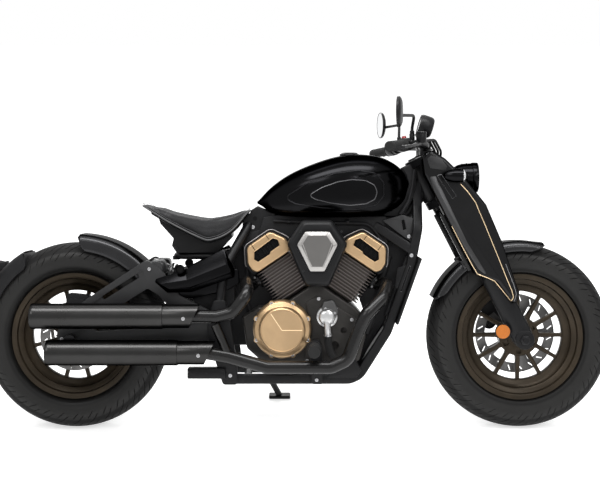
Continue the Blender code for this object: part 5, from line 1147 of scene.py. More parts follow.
def controlSet(side):
    long = bars["gripLong"]
    case = rodded(onGrip(long + 0.002), onGrip(long + 0.044), 0.022, sides=48, edge=0.004)
    seam = rodded(onGrip(long + 0.0222), onGrip(long + 0.0238), 0.0224, sides=48)
    clamp = rodded(onGrip(long + 0.04), onGrip(long + 0.062), 0.019, sides=40, edge=0.002)
    cylinder = rodded(onGrip(long + 0.062, 0.03, 0.002), onGrip(long + 0.004, 0.034, 0.002), 0.0125, sides=40,
                      edge=0.002)
    neck = rodded(onGrip(long + 0.051, 0.004), onGrip(long + 0.051, 0.032, 0.002), 0.011, sides=32)
    boss = rodded(onGrip(long + 0.051, 0.012, 0.004), onGrip(long + 0.051, 0.012, 0.034), 0.009, sides=32,
                  edge=0.001)
    blade = piped([onGrip(long + 0.01, 0.036, 0.002), onGrip(long - 0.03, 0.058),
                   onGrip(long - 0.075, 0.054, -0.002),
                   onGrip(0.002, 0.047, -0.004)], 0.006, 0.03, sides=20)
    ball = rodded(onGrip(0.008, 0.0475, -0.004), onGrip(-0.006, 0.0465, -0.004), 0.0072, sides=24, edge=0.004)
    button = rodded(onGrip(long + 0.018, -0.018, 0.006), onGrip(long + 0.018, -0.024, 0.008), 0.006, sides=24,
                    edge=0.001)
    turn = gripAhead.to_track_quat("Y", "Z").to_matrix().to_4x4()
    rocker = boxed((-0.006, -0.0035, -0.008), (0.006, 0.0035, 0.008), 0.0015,
                   place=Matrix.Translation(onGrip(long + 0.032, -0.021, -0.002)) @ turn)
    dark = [case, seam, clamp, cylinder, neck, boss]
    if side < 0:
        pot = rodded(onGrip(long + 0.046, 0.046, 0.006), onGrip(long + 0.046, 0.046, 0.034), 0.017, sides=48,
                     edge=0.002)
        lid = rodded(onGrip(long + 0.046, 0.046, 0.032), onGrip(long + 0.046, 0.046, 0.04), 0.0182, sides=48,
                     edge=0.002)
        dark += [pot, lid]
    body = joined(painted(joined(*dark), satinBlack), painted(joined(blade, ball), darkBolt),
                  painted(joined(button, rocker), mattBlack))
    if side < 0:
        stop = rodded(onGrip(long + 0.026, -0.006, 0.018), onGrip(long + 0.026, -0.008, 0.0275), 0.0075, sides=32,
                      edge=0.0012)
        body = joined(body, painted(stop, redLens))
    return mirroredTo(body, side)


def mirrorSet(side):
    at = Matrix.Translation(bars["mirrorAt"]) @ Matrix.Rotation(radians(10), 4, "Z")
    head = spun([(0, -0.0055), (0.047, -0.0055), (0.0476, -0.007), (0.0492, -0.007), (0.05, -0.006),
                 (0.05, -0.001), (0.049, 0.0015), (0.044, 0.0055), (0.036, 0.0085), (0.02, 0.0098), (0, 0.01)], 80)
    shaped(head, at @ alongX)
    foot = onGrip(bars["gripLong"] + 0.051, 0.012, 0.0343)
    mirrorAt = Vector(bars["mirrorAt"])
    stem = piped([foot, foot + Vector((0, 0, 0.018)), foot + Vector((0.004, 0.035, 0.058)),
                  mirrorAt + Vector((0.006, -0.022, -0.01)), mirrorAt + Vector((0.004, 0, 0))], 0.0052, 0.03,
                  sides=20)
    nut = rodded(foot, foot + Vector((0, 0, 0.01)), 0.0085, sides=6, edge=0.0008)
    pad = spun([(0, -0.0063), (0.0468, -0.0063), (0.0468, -0.005), (0, -0.005)], 80)
    shaped(pad, at @ alongX)
    dark = painted(joined(head, stem, nut), satinBlack)
    return mirroredTo(dark, side), mirroredTo(pad, side)


for side, word in bothSides:
    dressed(f"control_{word}_set", "steering", controlSet(side), None, f"control_{word}")
    back, glass = mirrorSet(side)
    dressed(f"mirror_{word}_back", "steering", back, satinBlack, f"mirror_{word}")
    dressed(f"mirror_{word}_glass", "steering", glass, mirrorGlass)

caliper = nodeCopy("front_caliper", 0.0022, 3)
dressed("front_caliper_body", "steering", caliper, satinBlack, "front_caliper")
print("steering made")


# Chassis


def beamed(points, deep, wide, bend):
    # a bar of rounded square section along a path in about the x-z plane
    path = roundedPath(points, bend)
    corner = 0.35      # 0 is square, 1 a rhombus
    section = []
    for k in range(24):
        a = 2 * pi * k / 24
        c, s = cos(a), sin(a)
        section.append((abs(c) ** corner * (1 if c > 0 else -1) * deep,
                        abs(s) ** corner * (1 if s > 0 else -1) * wide))
    rings = []
    for i, p in enumerate(path):
        way = (path[min(i + 1, len(path) - 1)] - path[max(i - 1, 0)]).normalized()
        out = way.cross(Vector((0, 1, 0))).normalized()
        side = out.cross(way).normalized()
        rings.append([p + out * a + side * b for a, b in section])
    return lofted(rings)


def discSpots(centre, y, radius, count, begin):
    turns = [begin + 2 * pi * k / count for k in range(count)]
    return [sideSpot(centre[0] + radius * cos(a), y, centre[1] + radius * sin(a)) for a in turns]


def wedge(*ends):
    # a tapering bar between two upright rectangles
    return lofted([[(x, y, z) for y, z in ((-half, low), (half, low), (half, high), (-half, high))]
                   for x, half, low, high in ends])


chassis = {
    "tube": 0.0165, "backbone": 0.022,
    "down": ((1.19, 0.012, 0.8575), (1.19, 0.034, 0.768), (1.188, 0.07, 0.695), (1.165, 0.07, 0.573),
             (1.082, 0.07, 0.3415), (0.985, 0.1, 0.197), (0.95, 0.118, 0.185), (0.545, 0.118, 0.185)),
    "upright": ((0.507, 0.127, 0.425), (0.522, 0.124, 0.56), (0.606, 0.04, 0.712)),
    "casting": ((0.578, 0.672), (0.583, 0.7265), (0.599, 0.745), (0.607, 0.748), (0.611, 0.759), (0.632, 0.7725),
                (0.68, 0.7525), (0.697, 0.7495), (0.697, 0.704), (0.64, 0.68), (0.598, 0.656)),
    "pivotPlate": ((0.468, 0.33), (0.468, 0.385), (0.488, 0.455), (0.528, 0.455), (0.545, 0.385),
                   (0.566, 0.25), (0.572, 0.168), (0.52, 0.168), (0.49, 0.26)),
    "bolts": ((1.158, 0.064, 0.6685), (1.165, 0.085, 0.604), (0.5, 0.1433, 0.355), (0.545, 0.1433, 0.2),
              (0.618, 0.046, 0.7)),
}
headLow, headHigh = steered @ Vector((0, 0, 0.558)), steered @ Vector((0, 0, 0.686))
parts = [
    rodded(headLow, headHigh, 0.031, sides=64, edge=0.003),
    piped([(1.216, 0, 0.828), (1.15, 0, 0.735), (1.05, 0, 0.722), (0.6, 0, 0.722)],
          chassis["backbone"], [0, 0.06, 0.2, 0], 40),
    mirroredPair(beamed(chassis["down"], chassis["tube"], 0.015, [0, 0.05, 0.05, 0, 0.08, 0.05, 0.04, 0])),
    piped([(x, -y, z) for x, y, z in chassis["upright"]] + list(chassis["upright"])[::-1], chassis["tube"],
          [0, 0.1, 0.04, 0.04, 0.1, 0], 32),
    rodded((0.511, -0.12, 0.47), (0.511, 0.12, 0.47), 0.014, sides=32),
    piped([(0.552, -0.096, 0.612), (0.5, -0.074, 0.6), (0.352, -0.046, 0.6), (0.352, 0.046, 0.6),
           (0.5, 0.074, 0.6), (0.552, 0.096, 0.612)], 0.0115, [0, 0.02, 0.03, 0.03, 0.02, 0], 24),
    boxed((0.338, -0.04, 0.586), (0.362, 0.04, 0.6), 0.002),
    mirroredPair(plated(roundedOutline(chassis["pivotPlate"], 0.012), 0.1283, 0.1433, edge=0.003, segments=3)),
    boxed((0.4, -0.1553, 0.19), (0.53, -0.1083, 0.226), 0.004),
    mirroredPair(beamed([(1.02, 0.02, 0.722), (1.049, 0.045, 0.7), (1.172, 0.07, 0.62)], 0.0175, 0.015,
                        [0, 0.04, 0])),
    plated(roundedOutline(chassis["casting"], 0.005), -0.046, 0.046, edge=0.01, segments=5),
    rodded((0.6, -0.118, 0.185), (0.6, 0.118, 0.185), 0.013, sides=24),
    rodded((0.945, -0.118, 0.185), (0.945, 0.118, 0.185), 0.013, sides=24),
]
web = plated(roundedOutline(seenAt(((382.5, 220.5), (402.8, 214.8), (420.5, 221), (412.3, 243.2)), -0.064),
                            0.003), 0.056, 0.064,
             [roundedOutline(seenAt(((401.4, 220.2), (404.2, 219.4), (406.2, 229.2), (403.2, 230.4)), -0.064),
                             0.0022)], 0.0012)
mount = plated(roundedOutline([(1.118, 0.56), (1.16, 0.575), (1.14, 0.482), (1.108, 0.492)], 0.008), 0.074, 0.08,
               edge=0.0012)
shoe = plated(roundedOutline([(0.874, 0.189), (0.874, 0.199), (0.935, 0.262), (0.966, 0.262), (0.99, 0.215),
                              (0.972, 0.189)], 0.006),
              0.1253, 0.134, edge=0.0015)
skid = lofted([[(x + way * 0.006, y, z - way * 0.004) for way,
                y in ((1, -half), (1, half), (-1, half), (-1, -half))]
               for x, z, half in ((1.082, 0.3415, 0.07), (0.985, 0.197, 0.1))])
parts += [mirroredPair(mount), mirroredPair(shoe), skid]
web = mirroredPair(web)
# the stand's lug stands square to the way it swings
standEye = Vector((0.64, 0.15, 0.19))
standFoot = Vector((0.705, 0.285, 0.053))
standDown = (standFoot - standEye).normalized()
standUp = Vector((-1.0, 0.14, 0.1)).normalized()
standAxis = standDown.cross(standUp).normalized()
eyeSeat = standEye - standAxis * 0.0072
parts += [rodded(eyeSeat - standAxis * 0.01, eyeSeat, 0.02, sides=40, edge=0.002),
          rodded(eyeSeat - standAxis * 0.009, (0.64, 0.118, 0.185), 0.01, 0.015, 24),
          rodded(eyeSeat - standAxis * 0.004, standEye + standAxis * 0.01, 0.006, sides=24, edge=0.001)]
bolts = [sideSpot(x, way * y, z) for x, y, z in chassis["bolts"] for way in (-1, 1)]
body = joined(painted(joined(*parts), frameBlack), painted(screws(bolts, 0.0065, 0.005), boltSteel))
# the round hole in the casting is a near-black disc: painted shade
castingHoleShade = rodded((0.6249, -0.0468, 0.73), (0.6249, -0.04, 0.73), 0.0075, sides=32)
# a long blank recess in each down tube, drawn as a near-black sheet on the tube: painted shade, with a lighter rim
# as painted highlight
slits, slitRims = [], []
for side in (-1, 1):
    path = [(1.1635, 0.566), (1.1575, 0.568), (1.1265, 0.481), (1.1325, 0.479)]
    slits.append(plated(roundedOutline(path, 0.0025), side * 0.0848, side * 0.0856))
    slitRims.append(piped([(x, side * 0.0857, z) for x, z in roundedOutline(path, 0.0025)], 0.0008, sides=8,
                          closed=True))
# near-black sheets behind the gussets, seen through their holes: painted shade
shadeBehindWebs = mirroredPair(plated([(1.078, 0.69), (1.072, 0.7245), (1.132, 0.741), (1.192, 0.721), (1.16, 0.63)],
                              0.048, 0.0545))
body = joined(body, painted(shadeBehindWebs, deepBlack))
body = joined(body, painted(joined(castingHoleShade, *slits), deepBlack), painted(joined(*slitRims), highlightRim),
              painted(web, panelGrey))
dressed("frame_welded", "chassis", body, None, "frame")

arm = {
    "outline": ((-0.044, 0.296), (-0.044, 0.352), (-0.012, 0.402), (0.053, 0.457), (0.258, 0.592),
                (0.306, 0.56), (0.372, 0.47), (0.53, 0.388), (0.536, 0.328), (0.48, 0.316), (0.03, 0.284)),
    "window": ((0.062, 0.345), (0.118, 0.402), (0.262, 0.494), (0.3, 0.47), (0.345, 0.42), (0.44, 0.368)),
    "slot": ((0.105, 0.466), (0.112, 0.454), (0.235, 0.532), (0.228, 0.545)),
    "half": 0.128, "thick": 0.02,
}
beam = plated(roundedOutline(arm["outline"], 0.02, 8), arm["half"] - arm["thick"], arm["half"],
              [roundedOutline(arm["window"], 0.012), roundedOutline(arm["slot"], 0.005),
               ringOf(0.0105, 32, centre=(0, 0.323))],
              0.0035, 3)
recess = plated(roundedOutline([(0.075, 0.444), (0.083, 0.431), (0.252, 0.54), (0.244, 0.556)], 0.006), 0.1255,
                0.135)
cutBy(beam, recess, plated(roundedOutline(arm["slot"], 0.005), 0.1, 0.14))
bridge = rodded((0.29, -0.123, 0.562), (0.29, 0.123, 0.562), 0.022, sides=48)
sleeve = mirroredPair(boxed((0.262, 0.034, 0.536), (0.32, 0.112, 0.586), 0.016, 5))
pivot = rodded((0.5, -0.126, 0.355), (0.5, 0.126, 0.355), 0.02, sides=40)
low = rodded((0.4, -0.122, 0.348), (0.4, 0.122, 0.348), 0.012, sides=24)
caps = screws([sideSpot(x, y, z) for x, z in ((0.268, 0.56), (-0.03, 0.322)) for y in (0.128, -0.128)], 0.006,
              0.004)
body = joined(painted(joined(mirroredPair(beam), bridge, sleeve), panelGrey),
              painted(joined(pivot, low), frameBlack), painted(caps, boltSteel))
dressed("swingarm_welded", "chassis", body, None, "swingarm")

damper = {"low": (0.29, 0, 0.562), "high": (0.511, 0, 0.47), "coil": 0.0058, "turns": 7, "radius": 0.0242}
low, high = Vector(damper["low"]), Vector(damper["high"])
along = Matrix.Translation(low) @ turnTo(high - low)
span = (high - low).length
tube = spun([(0, 0.02), (0.01, 0.022), (0.01, 0.036), (0.027, 0.036), (0.029, 0.038), (0.029, 0.043),
             (0.013, 0.045), (0.013, span - 0.066), (0.029, span - 0.064), (0.029, span - 0.059),
             (0.022, span - 0.056), (0.022, span - 0.034), (0.014, span - 0.03), (0, span - 0.012)], 56)
eyes = joined(rodded((0, -0.017, 0), (0, 0.017, 0), 0.03, sides=48, edge=0.002),
              rodded((0, -0.017, span), (0, 0.017, span), 0.022, sides=48, edge=0.002))
coil = []
reach = span - 0.066 - 0.047
for k in range(damper["turns"] * 28 + 1):
    share = k / (damper["turns"] * 28)
    a = 2 * pi * damper["turns"] * share
    coil.append((damper["radius"] * cos(a), damper["radius"] * sin(a), 0.05 + (reach - 0.008) * share))
spring = piped(coil, damper["coil"], sides=12)
tube, eyes = [shaped(piece, along) for piece in (tube, eyes)]
cutBy(eyes, rodded(low - Vector((0, 0.05, 0)), low + Vector((0, 0.05, 0)), 0.0224, sides=48),
      rodded(high - Vector((0, 0.05, 0)), high + Vector((0, 0.05, 0)), 0.0144, sides=48))
body = joined(painted(joined(tube, eyes), castAlloy), painted(shaped(spring, along), springBlack))
dressed("shock_coil", "chassis", body, None, "shock")

dressed("rear_axle_turned", "chassis", nodeCopy("rear_axle", 0.0015, 2), darkBolt, "rear_axle")
dressed("rear_caliper_body", "chassis", nodeCopy("rear_caliper", 0.0022, 3), satinBlack,
        "rear_caliper")

rearFender = {"inner": 0.348, "outer": 0.351, "half": 0.0875, "skirt": 0.3, "from": 36, "to": 87,
              "lip": 0.0, "ends": 0.1}
shell = fenderShell(rearFender, rearHub)
tabs = mirroredPair(boxed((0.224, 0.0835, 0.534), (0.25, 0.1077, 0.562), 0.003))
dressed("rear_fender_shell", "chassis", joined(painted(shell, fenderBlack), painted(tabs, satinBlack)), None,
        "rear_fender")

tailGuard = {"inner": 0.3365, "outer": 0.339, "half": 0.0845, "skirt": 0.29, "from": 121, "to": 172,
             "lip": 0.0, "ends": 0.1}
guard = fenderShell(tailGuard, rearHub)
carry = plated(roundedOutline([(0.026, 0.3), (0.026, 0.346), (-0.03, 0.352), (-0.235, 0.48), (-0.3, 0.47),
                               (-0.3, 0.42), (-0.23, 0.425), (-0.04, 0.296)], 0.014, 6), 0.1283, 0.1363,
               [ringOf(0.0105, 32, centre=(0, 0.323)),
                roundedOutline([(-0.07, 0.35), (-0.215, 0.444), (-0.232, 0.436), (-0.062, 0.326)], 0.006)],
                0.0015, 2)
link = boxed((-0.29, 0.0805, 0.432), (-0.25, 0.134, 0.462), 0.003)
neck = wedge((-0.247, 0.024, 0.549, 0.58), (-0.345, 0.024, 0.54, 0.56))
strut = wedge((-0.325, 0.02, 0.544, 0.557), (-0.366, 0.02, 0.492, 0.51))
boardPlace = Matrix.Translation((-0.372, 0, 0.472)) @ Matrix.Rotation(radians(18), 4, "Y")
board = boxed((-0.003, -0.09, -0.065), (0.003, 0.09, 0.065), 0.0012, place=boardPlace)
spots = [(boardPlace @ Vector((-0.003, y, z)), boardPlace.to_3x3() @ Vector((-1, 0, 0))) for y in (-0.07, 0.07)
         for z in (-0.045, 0.045)]
bullets = []
x, y, z = signal["rear"]
for side, word in bothSides:
    at = Matrix.Translation((x, side * y, z)) @ Matrix.Rotation(pi, 4, "Z") @ alongX
    bullets += [shaped(spun(signal["bowl"], 56), at),
                rodded((x, side * 0.018, z), (x, side * y, z), 0.0085, sides=24)]
    dome = spun(signal["lensEdge"] + signal["rearDome"], 56)
    dressed(f"rear_signal_lens_{word}", "chassis", shaped(dome, at), amberLens)
body = joined(painted(joined(guard, carry, link, bevelled(neck, 0.004, 3), bevelled(strut, 0.002), board,
                             *bullets), mattBlack),
              painted(screws(spots, 0.005, 0.003), boltSteel))
dressed("plate_carrier_set", "chassis", body, None, "plate_carrier")
lampRed = spun([(0, 0.0003), (0.026, 0.0003), (0.0285, 0.003), (0.03, 0.008), (0.03, 0.012), (0.0288, 0.013),
                (0.0288, 0.015), (0.03, 0.016), (0.03, 0.029), (0.0285, 0.033), (0.026, 0.0355), (0.016, 0.0375),
                (0, 0.038)], 80)
shaped(lampRed, Matrix.Translation((-0.345, 0, 0.576)) @ Matrix.Rotation(pi, 4, "Z") @ alongX)
dressed("tail_light_lens", "chassis", lampRed, redLens, "tail_light")
print("chassis made")

tankForm = {
    "sections": ((0.636, 0.779, 0.792, 0.03), (0.68, 0.757, 0.838, 0.076), (0.74, 0.7475, 0.881, 0.108),
                 (0.815, 0.7465, 0.916, 0.132), (0.905, 0.7465, 0.945, 0.144), (0.985, 0.7475, 0.954, 0.14),
                 (1.06, 0.752, 0.945, 0.122), (1.115, 0.773, 0.919, 0.09), (1.145, 0.797, 0.89, 0.058),
                 (1.158, 0.826, 0.862, 0.024)),
    "rings": 90, "around": 120, "skirt": 0.014,
    # the raised pointed oval on each flank, by places in the picture
    "outer": ((284, 198), (306, 184), (335, 173.5), (358, 170.5), (375, 173), (384, 182), (384, 196), (376, 205),
              (356, 209.5), (322, 208), (296, 204)),
    "inner": ((308.6, 195.5), (322, 187.5), (338, 181.8), (352, 179.6), (366, 180.6), (374.5, 185), (377.5, 192),
              (375, 199.5), (366, 203.8), (350, 205.3), (330, 203), (316, 199.5)),
    "cap": (0.955, 0, 0.9475),
}
rows = smoothCurve([(x, low, high, half) for x, low, high, half in tankForm["sections"]], tankForm["rings"])
rings = []
for i, (x, low, high, half) in enumerate(rows):
    mid, reach = (low + high) / 2, (high - low) / 2
    ring = []
    for k in range(tankForm["around"]):
        a = 2 * pi * k / tankForm["around"]
        c, s = cos(a), sin(a)
        y = half * abs(c) ** (0.72 if s > 0 else 0.5) * (1 if c > 0 else -1)
        z = mid + reach * abs(s) ** (0.85 if s > 0 else 0.5) * (1 if s > 0 else -1)
        # the flanks hang lower than the tunnel over the backbone
        if s < 0:
            share = min(1.0, max(0.0, (abs(y) - 0.027) / 0.022))
            z -= tankForm["skirt"] * share * max(0.0, sin(pi * i / (len(rows) - 1))) ** 0.6 * abs(s) ** 0.5
        ring.append((x, y, z))
    rings.append(ring)
first, last = rings[0], rings[-1]
for rim, front in ((first, -1), (last, 1)):
    middle = sum((Vector(p) for p in rim), Vector()) / len(rim)
    for shrink, ahead in ((0.8, 0.003), (0.45, 0.0045), (0.12, 0.005)):
        ring = [tuple(middle + (Vector(p) - middle) * shrink + Vector((front * ahead, 0, 0))) for p in rim]
        rings.insert(0, ring) if front < 0 else rings.append(ring)
shell = lofted(rings)
saddles = joined(*[boxed((x, -0.026, 0.722), (x + 0.03, 0.026, 0.765), 0.003) for x in (0.7, 0.94)])
cutBy(saddles, rodded((0.6, 0, 0.722), (1.08, 0, 0.722), 0.0224, sides=48))
cap = spun([(0, 0.0), (0.034, 0.0), (0.034, 0.0065), (0.0325, 0.008), (0.029, 0.0095), (0.0265, 0.0125),
            (0.02, 0.013), (0, 0.013)], 96)
shaped(cap, Matrix.Translation(tankForm["cap"]))
body = joined(painted(shell, blackLacquer), painted(saddles, satinBlack), painted(cap, satinBlack))
tankShell = dressed("tank_shell", "chassis", body, None, "tank", smooth=50)


for side, word in bothSides:
    rims = []
    for label, radius in (("outer", 0.003), ("inner", 0.0021)):
        path = [atPixel(px, py, -0.14) for px, py in tankForm[label]]
        path = roundedPath(path, 0.02, 6, closed=True)
        found = [onPiece(tankShell, p.x, p.z, side) for p in path]
        rims.append(piped([p for p in found if p], radius, sides=10, closed=True))
    # painted highlight: the inner rim is a lighter grey where the oval's edge catches light
    rims[0], rims[1] = painted(rims[0], grooveEdge), painted(rims[1], highlightRim)
    dressed(f"tank_oval_{word}", "chassis", joined(*rims), None)
print("tank made")


# Seat: the cushion is swollen by cloth pressure, then gets its piping and stitches

seatForm = {
    "sections": ((0.24, 0.77, 0.778, 0.074), (0.29, 0.7425, 0.766, 0.112), (0.3425, 0.7135, 0.748, 0.138),
                 (0.44, 0.666, 0.729, 0.152), (0.4818, 0.658, 0.73, 0.149), (0.5446, 0.686, 0.745, 0.122),
                 (0.602, 0.7505, 0.771, 0.08)),
    "rings": 48, "voxel": 0.005, "shrink": 0.0045, "thin": 0.009, "cap": 0.006, "pressure": 4.0, "frames": 20,
    "piping": 0.0028, "stitch": 0.0075,
}
rows = smoothCurve(seatForm["sections"], seatForm["rings"])


def seatRing(x, low, high, half, tight=0.0):
    dish = min(0.01, (high - low) * 0.3)
    low, high, half = low + tight, high - tight, half - tight
    points = [(-half * 0.93, low), (0.0, low), (half * 0.93, low), (half * 0.985, low + (high - low) * 0.18),
              (half, low + (high - low) * 0.38), (half * 0.97, high - (high - low) * 0.26),
              (half * 0.86, high - (high - low) * 0.05), (half * 0.66, high), (half * 0.3, high - dish * 0.7),
              (0.0, high - dish)]
    points += [(-y, z) for y, z in reversed(points[3:9])]
    return [(x, y, z) for y, z in points]


rings = []
for i, (x, low, high, half) in enumerate(rows):
    room = max(0.0, min(seatForm["shrink"], (high - low - seatForm["thin"]) * 0.4))
    rings.append(seatRing(x, low, high, half, room))
cushion = lofted(rings)
cushion.name = "seat_cushion"
applied(cushion, "REMESH", mode="VOXEL", voxel_size=seatForm["voxel"], use_smooth_shade=True)
before = np.array([v.co for v in cushion.data.vertices])
pick(cushion)
swell = cushion.modifiers.new("swell", "CLOTH")
swell.settings.use_pressure = True
swell.settings.uniform_pressure_force = seatForm["pressure"]
swell.settings.effector_weights.gravity = 0
swell.settings.quality = 5
for step in range(1, seatForm["frames"] + 1):
    bpy.context.scene.frame_set(step)
bpy.context.view_layer.update()
now = cushion.evaluated_get(bpy.context.evaluated_depsgraph_get()).data
after = np.array([v.co for v in now.vertices])
cushion.modifiers.remove(swell)
bpy.context.scene.frame_set(1)
move = after - before
long = np.linalg.norm(move, axis=1, keepdims=True)
move *= np.minimum(1, seatForm["cap"] / np.maximum(long, 1e-9))
# the thin tail stays where it is sewn
move *= np.clip((before[:, :1] - rows[0][0] - 0.02) / 0.04, 0, 1)
# it keeps clear of what is under it
isLow = before[:, 2] < np.interp(before[:, 0], rows[:, 0], rows[:, 1]) + 0.008
move[:, 2] = np.where(isLow, np.maximum(move[:, 2], -0.003), move[:, 2])
for vertex, p in zip(cushion.data.vertices, before + move):
    vertex.co = p
applied(cushion, "SUBSURF", levels=1, render_levels=1)
dressed("seat_cushion", "chassis", cushion, seatHide, "seat", smooth=60)


def rimLine(lift, out):
    # round the cushion's lower edge: right side, nose, left side, tail
    right = [(x, -half * 0.985 - out, low + lift) for x, low, high, half in rows]
    left = [(x, half * 0.985 + out, low + lift) for x, low, high, half in reversed(rows)]
    nose = [(rows[-1][0] + 0.003 + out, y, rows[-1][1] + lift + 0.002) for y in (-0.06, -0.02, 0.02, 0.06)]
    back = [(rows[0][0] - 0.003 - out, y, rows[0][1] + lift + 0.001) for y in (0.055, 0.02, -0.02, -0.055)]
    return right + nose + left + back


welt = piped(smoothCurve([Vector(p) for p in rimLine(0.0035, 0.0005)], 260)[:-1].tolist(), seatForm["piping"],
             sides=12, closed=True)
dressed("seat_piping", "chassis", welt, thread("seatWelt", (0.06, 0.06, 0.062)), smooth=60)
line = smoothCurve(rimLine(0.0115, 0.0005), 190)
one = rodded((-seatForm["stitch"] * 0.36, 0, 0), (seatForm["stitch"] * 0.36, 0, 0), 0.0007, sides=6)
places = []
for a, b in zip(line[:-1], line[1:]):
    places.append(Matrix.Translation((a + b) / 2) @ Vector(b - a).to_track_quat("X", "Z").to_matrix().to_4x4())
dressed("seat_stitches", "chassis", repeated(one, places), seatThread)

pan = {
    "outline": ((0.5446, 0.664), (0.496, 0.6121), (0.356, 0.6121), (0.339, 0.637), (0.345, 0.662), (0.3, 0.712)),
}
top = [(x, low - 0.0003) for x, low, high, half in seatForm["sections"] if 0.28 < x < 0.56]
base = plated(roundedOutline(top + list(pan["outline"]), 0.006, 4), -0.078, 0.078, edge=0.012, segments=5)
spots = [sideSpot(x, y, z) for x, z in ((0.352, 0.628), (0.52, 0.672)) for y in (-0.0775, 0.0775)]
tray = []
for x, low, high, half in rows[4:-3]:
    tray.append([(x, half * share, low - drop) for share, drop in ((-0.9, 0.0008), (0.9, 0.0008), (0.84, 0.0085),
                                                                   (-0.84, 0.0085))])
base = joined(painted(base, satinBlack), painted(bevelled(lofted(tray), 0.002), satinBlack),
              painted(screws(spots, 0.006, 0.004), darkBolt))
dressed("seat_pan", "chassis", base, None, "seat_base")

panel = {
    "outline": ((0.524, 0.631), (0.391, 0.559), (0.294, 0.528), (0.289, 0.5175), (0.332, 0.481),
                (0.415, 0.483), (0.56, 0.534), (0.56, 0.56)),
    "inner": ((0.536, 0.58), (0.4, 0.526), (0.312, 0.514), (0.312, 0.511), (0.342, 0.495),
              (0.412, 0.503), (0.545, 0.552), (0.547, 0.56)),
}
rim = roundedOutline(panel["outline"], 0.008, 5)
face = roundedOutline(panel["inner"], 0.006, 5)
skin = lofted([[(x, -0.1463, z) for x, z in rim], [(x, -0.149, z) for x, z in rim],
               [(x, -0.17, z) for x, z in face]])
bevelled(skin, 0.0016, 3, 20)
peg = boxed((0.5, -0.15, 0.566), (0.524, -0.134, 0.59), 0.002)
cutBy(peg, piped([(x, -y, z) for x, y, z in chassis["upright"]], 0.0173, [0, 0.1, 0], 32))
ringSpot = Matrix.Translation((0.376, -0.16, 0.562)) @ outward
collar = shaped(spun([(0.0125, -0.004), (0.0155, -0.004), (0.0155, 0.006), (0.0148, 0.0072), (0.0132, 0.0072),
                      (0.0125, 0.006)], 56), ringSpot)
# the hole in the collar is a near-black disc: painted shade
hollow = shaped(spun([(0, -0.004), (0.0126, -0.004), (0.0126, 0.001), (0, 0.001)], 48), ringSpot)
cover = joined(painted(skin, blackLacquer), painted(peg, satinBlack), painted(collar, blackLacquer),
               painted(hollow, deepBlack))
for side, word in bothSides:
    body = mirroredTo(copied(cover), -side)
    dressed(f"side_cover_{word}_skin", "chassis", body, None, f"side_cover_{word}", smooth=28)
bpy.data.objects.remove(cover)
print("seat and side covers made")

# Engine

engine = {
    "crank": (0.838, 0.365), "lean": 34.0, "half": 0.125, "foot": 0.125, "top": 0.255, "fins": 12,
    "case": ((0.585, 0.395), (0.6, 0.29), (0.66, 0.236), (0.8, 0.2145), (0.93, 0.2145), (0.985, 0.25),
             (1.006, 0.33), (1.0, 0.392), (0.971, 0.4262), (0.845, 0.511), (0.831, 0.511), (0.705, 0.4262),
             (0.64, 0.43)),
    "bolts": ((0.806, 0.248), (0.868, 0.243), (0.926, 0.243), (0.962, 0.275), (0.975, 0.336), (0.958, 0.388),
              (0.905, 0.424), (0.845, 0.459)),
}


def bankAt(side):
    return Matrix.Translation((engine["crank"][0], 0,
                               engine["crank"][1])) @ Matrix.Rotation(side * radians(engine["lean"]), 4, "Y")


case = plated(engine["case"], -engine["half"], engine["half"], edge=0.01, segments=4)
case = cutBy(case, boxed((0.56, 0.0738, 0.27), (0.674, 0.145, 0.44)))
extras = [rodded((0.618, 0.0618, 0.352), (0.618, 0.1038, 0.352), 0.016, sides=32)]   # the drive shaft
for side in (-1, 1):
    cutBy(case, boxed((-0.09, -0.2, engine["foot"] - 0.0003), (0.09, 0.2, engine["foot"] + 0.06),
                      place=bankAt(side)))
gearX, gearZ, gearRadius, gearTeeth = drive["small"]
gear = plated([(gearX + x, gearZ + z) for x, z in toothed(gearRadius, gearTeeth, 0.006)], drive["face"],
              drive["face"] + drive["thick"], edge=0.0005, segments=1)
# ribs, plugs and a lower pan on the crankcase's sides
for way in (-1, 1):
    y = way * engine["half"]
    for x, z, r in ((0.9, 0.3, 0.016), (0.93, 0.352, 0.012)):
        extras.append(rodded((x, y - way * 0.004, z), (x, y + way * 0.006, z), r, sides=40, edge=0.0015))
plugRight = rodded((0.8265, -0.12, 0.2755), (0.8265, -0.1335, 0.2755), 0.019, sides=48, edge=0.002)
front = [(0.925, 0.232), (0.968, 0.262), (0.985, 0.335), (0.972, 0.392), (0.905, 0.434), (0.842, 0.47)]
wall = [(0.795, 0.236), *front, (0.8, 0.444), (0.812, 0.385), (0.8, 0.3)]
wall = plated(roundedOutline(wall, 0.012), -0.131, -0.12, edge=0.003, segments=3)
wallLeft = [(0.7, 0.24), *front, (0.735, 0.42), (0.69, 0.33)]
wallLeft = plated(roundedOutline(wallLeft, 0.012), 0.12, 0.1245, edge=0.001, segments=2)
spots = [sideSpot(x, -0.131, z) for x, z in engine["bolts"]]
lowSpots = [sideSpot(x, y, 0.236) for x in (0.69, 0.76) for y in (-0.1245, 0.1245)]
body = joined(painted(joined(case, *extras), greyCase), painted(gear, boltSteel),
              painted(joined(wall, wallLeft), greyCase),
              painted(plugRight, satinBlack), painted(screws(spots, 0.0058, 0.005), boltSteel),
              painted(screws(lowSpots, 0.006, 0.004), boltSteel))
dressed("engine_case_body", "chassis", body, None, "engine_case")

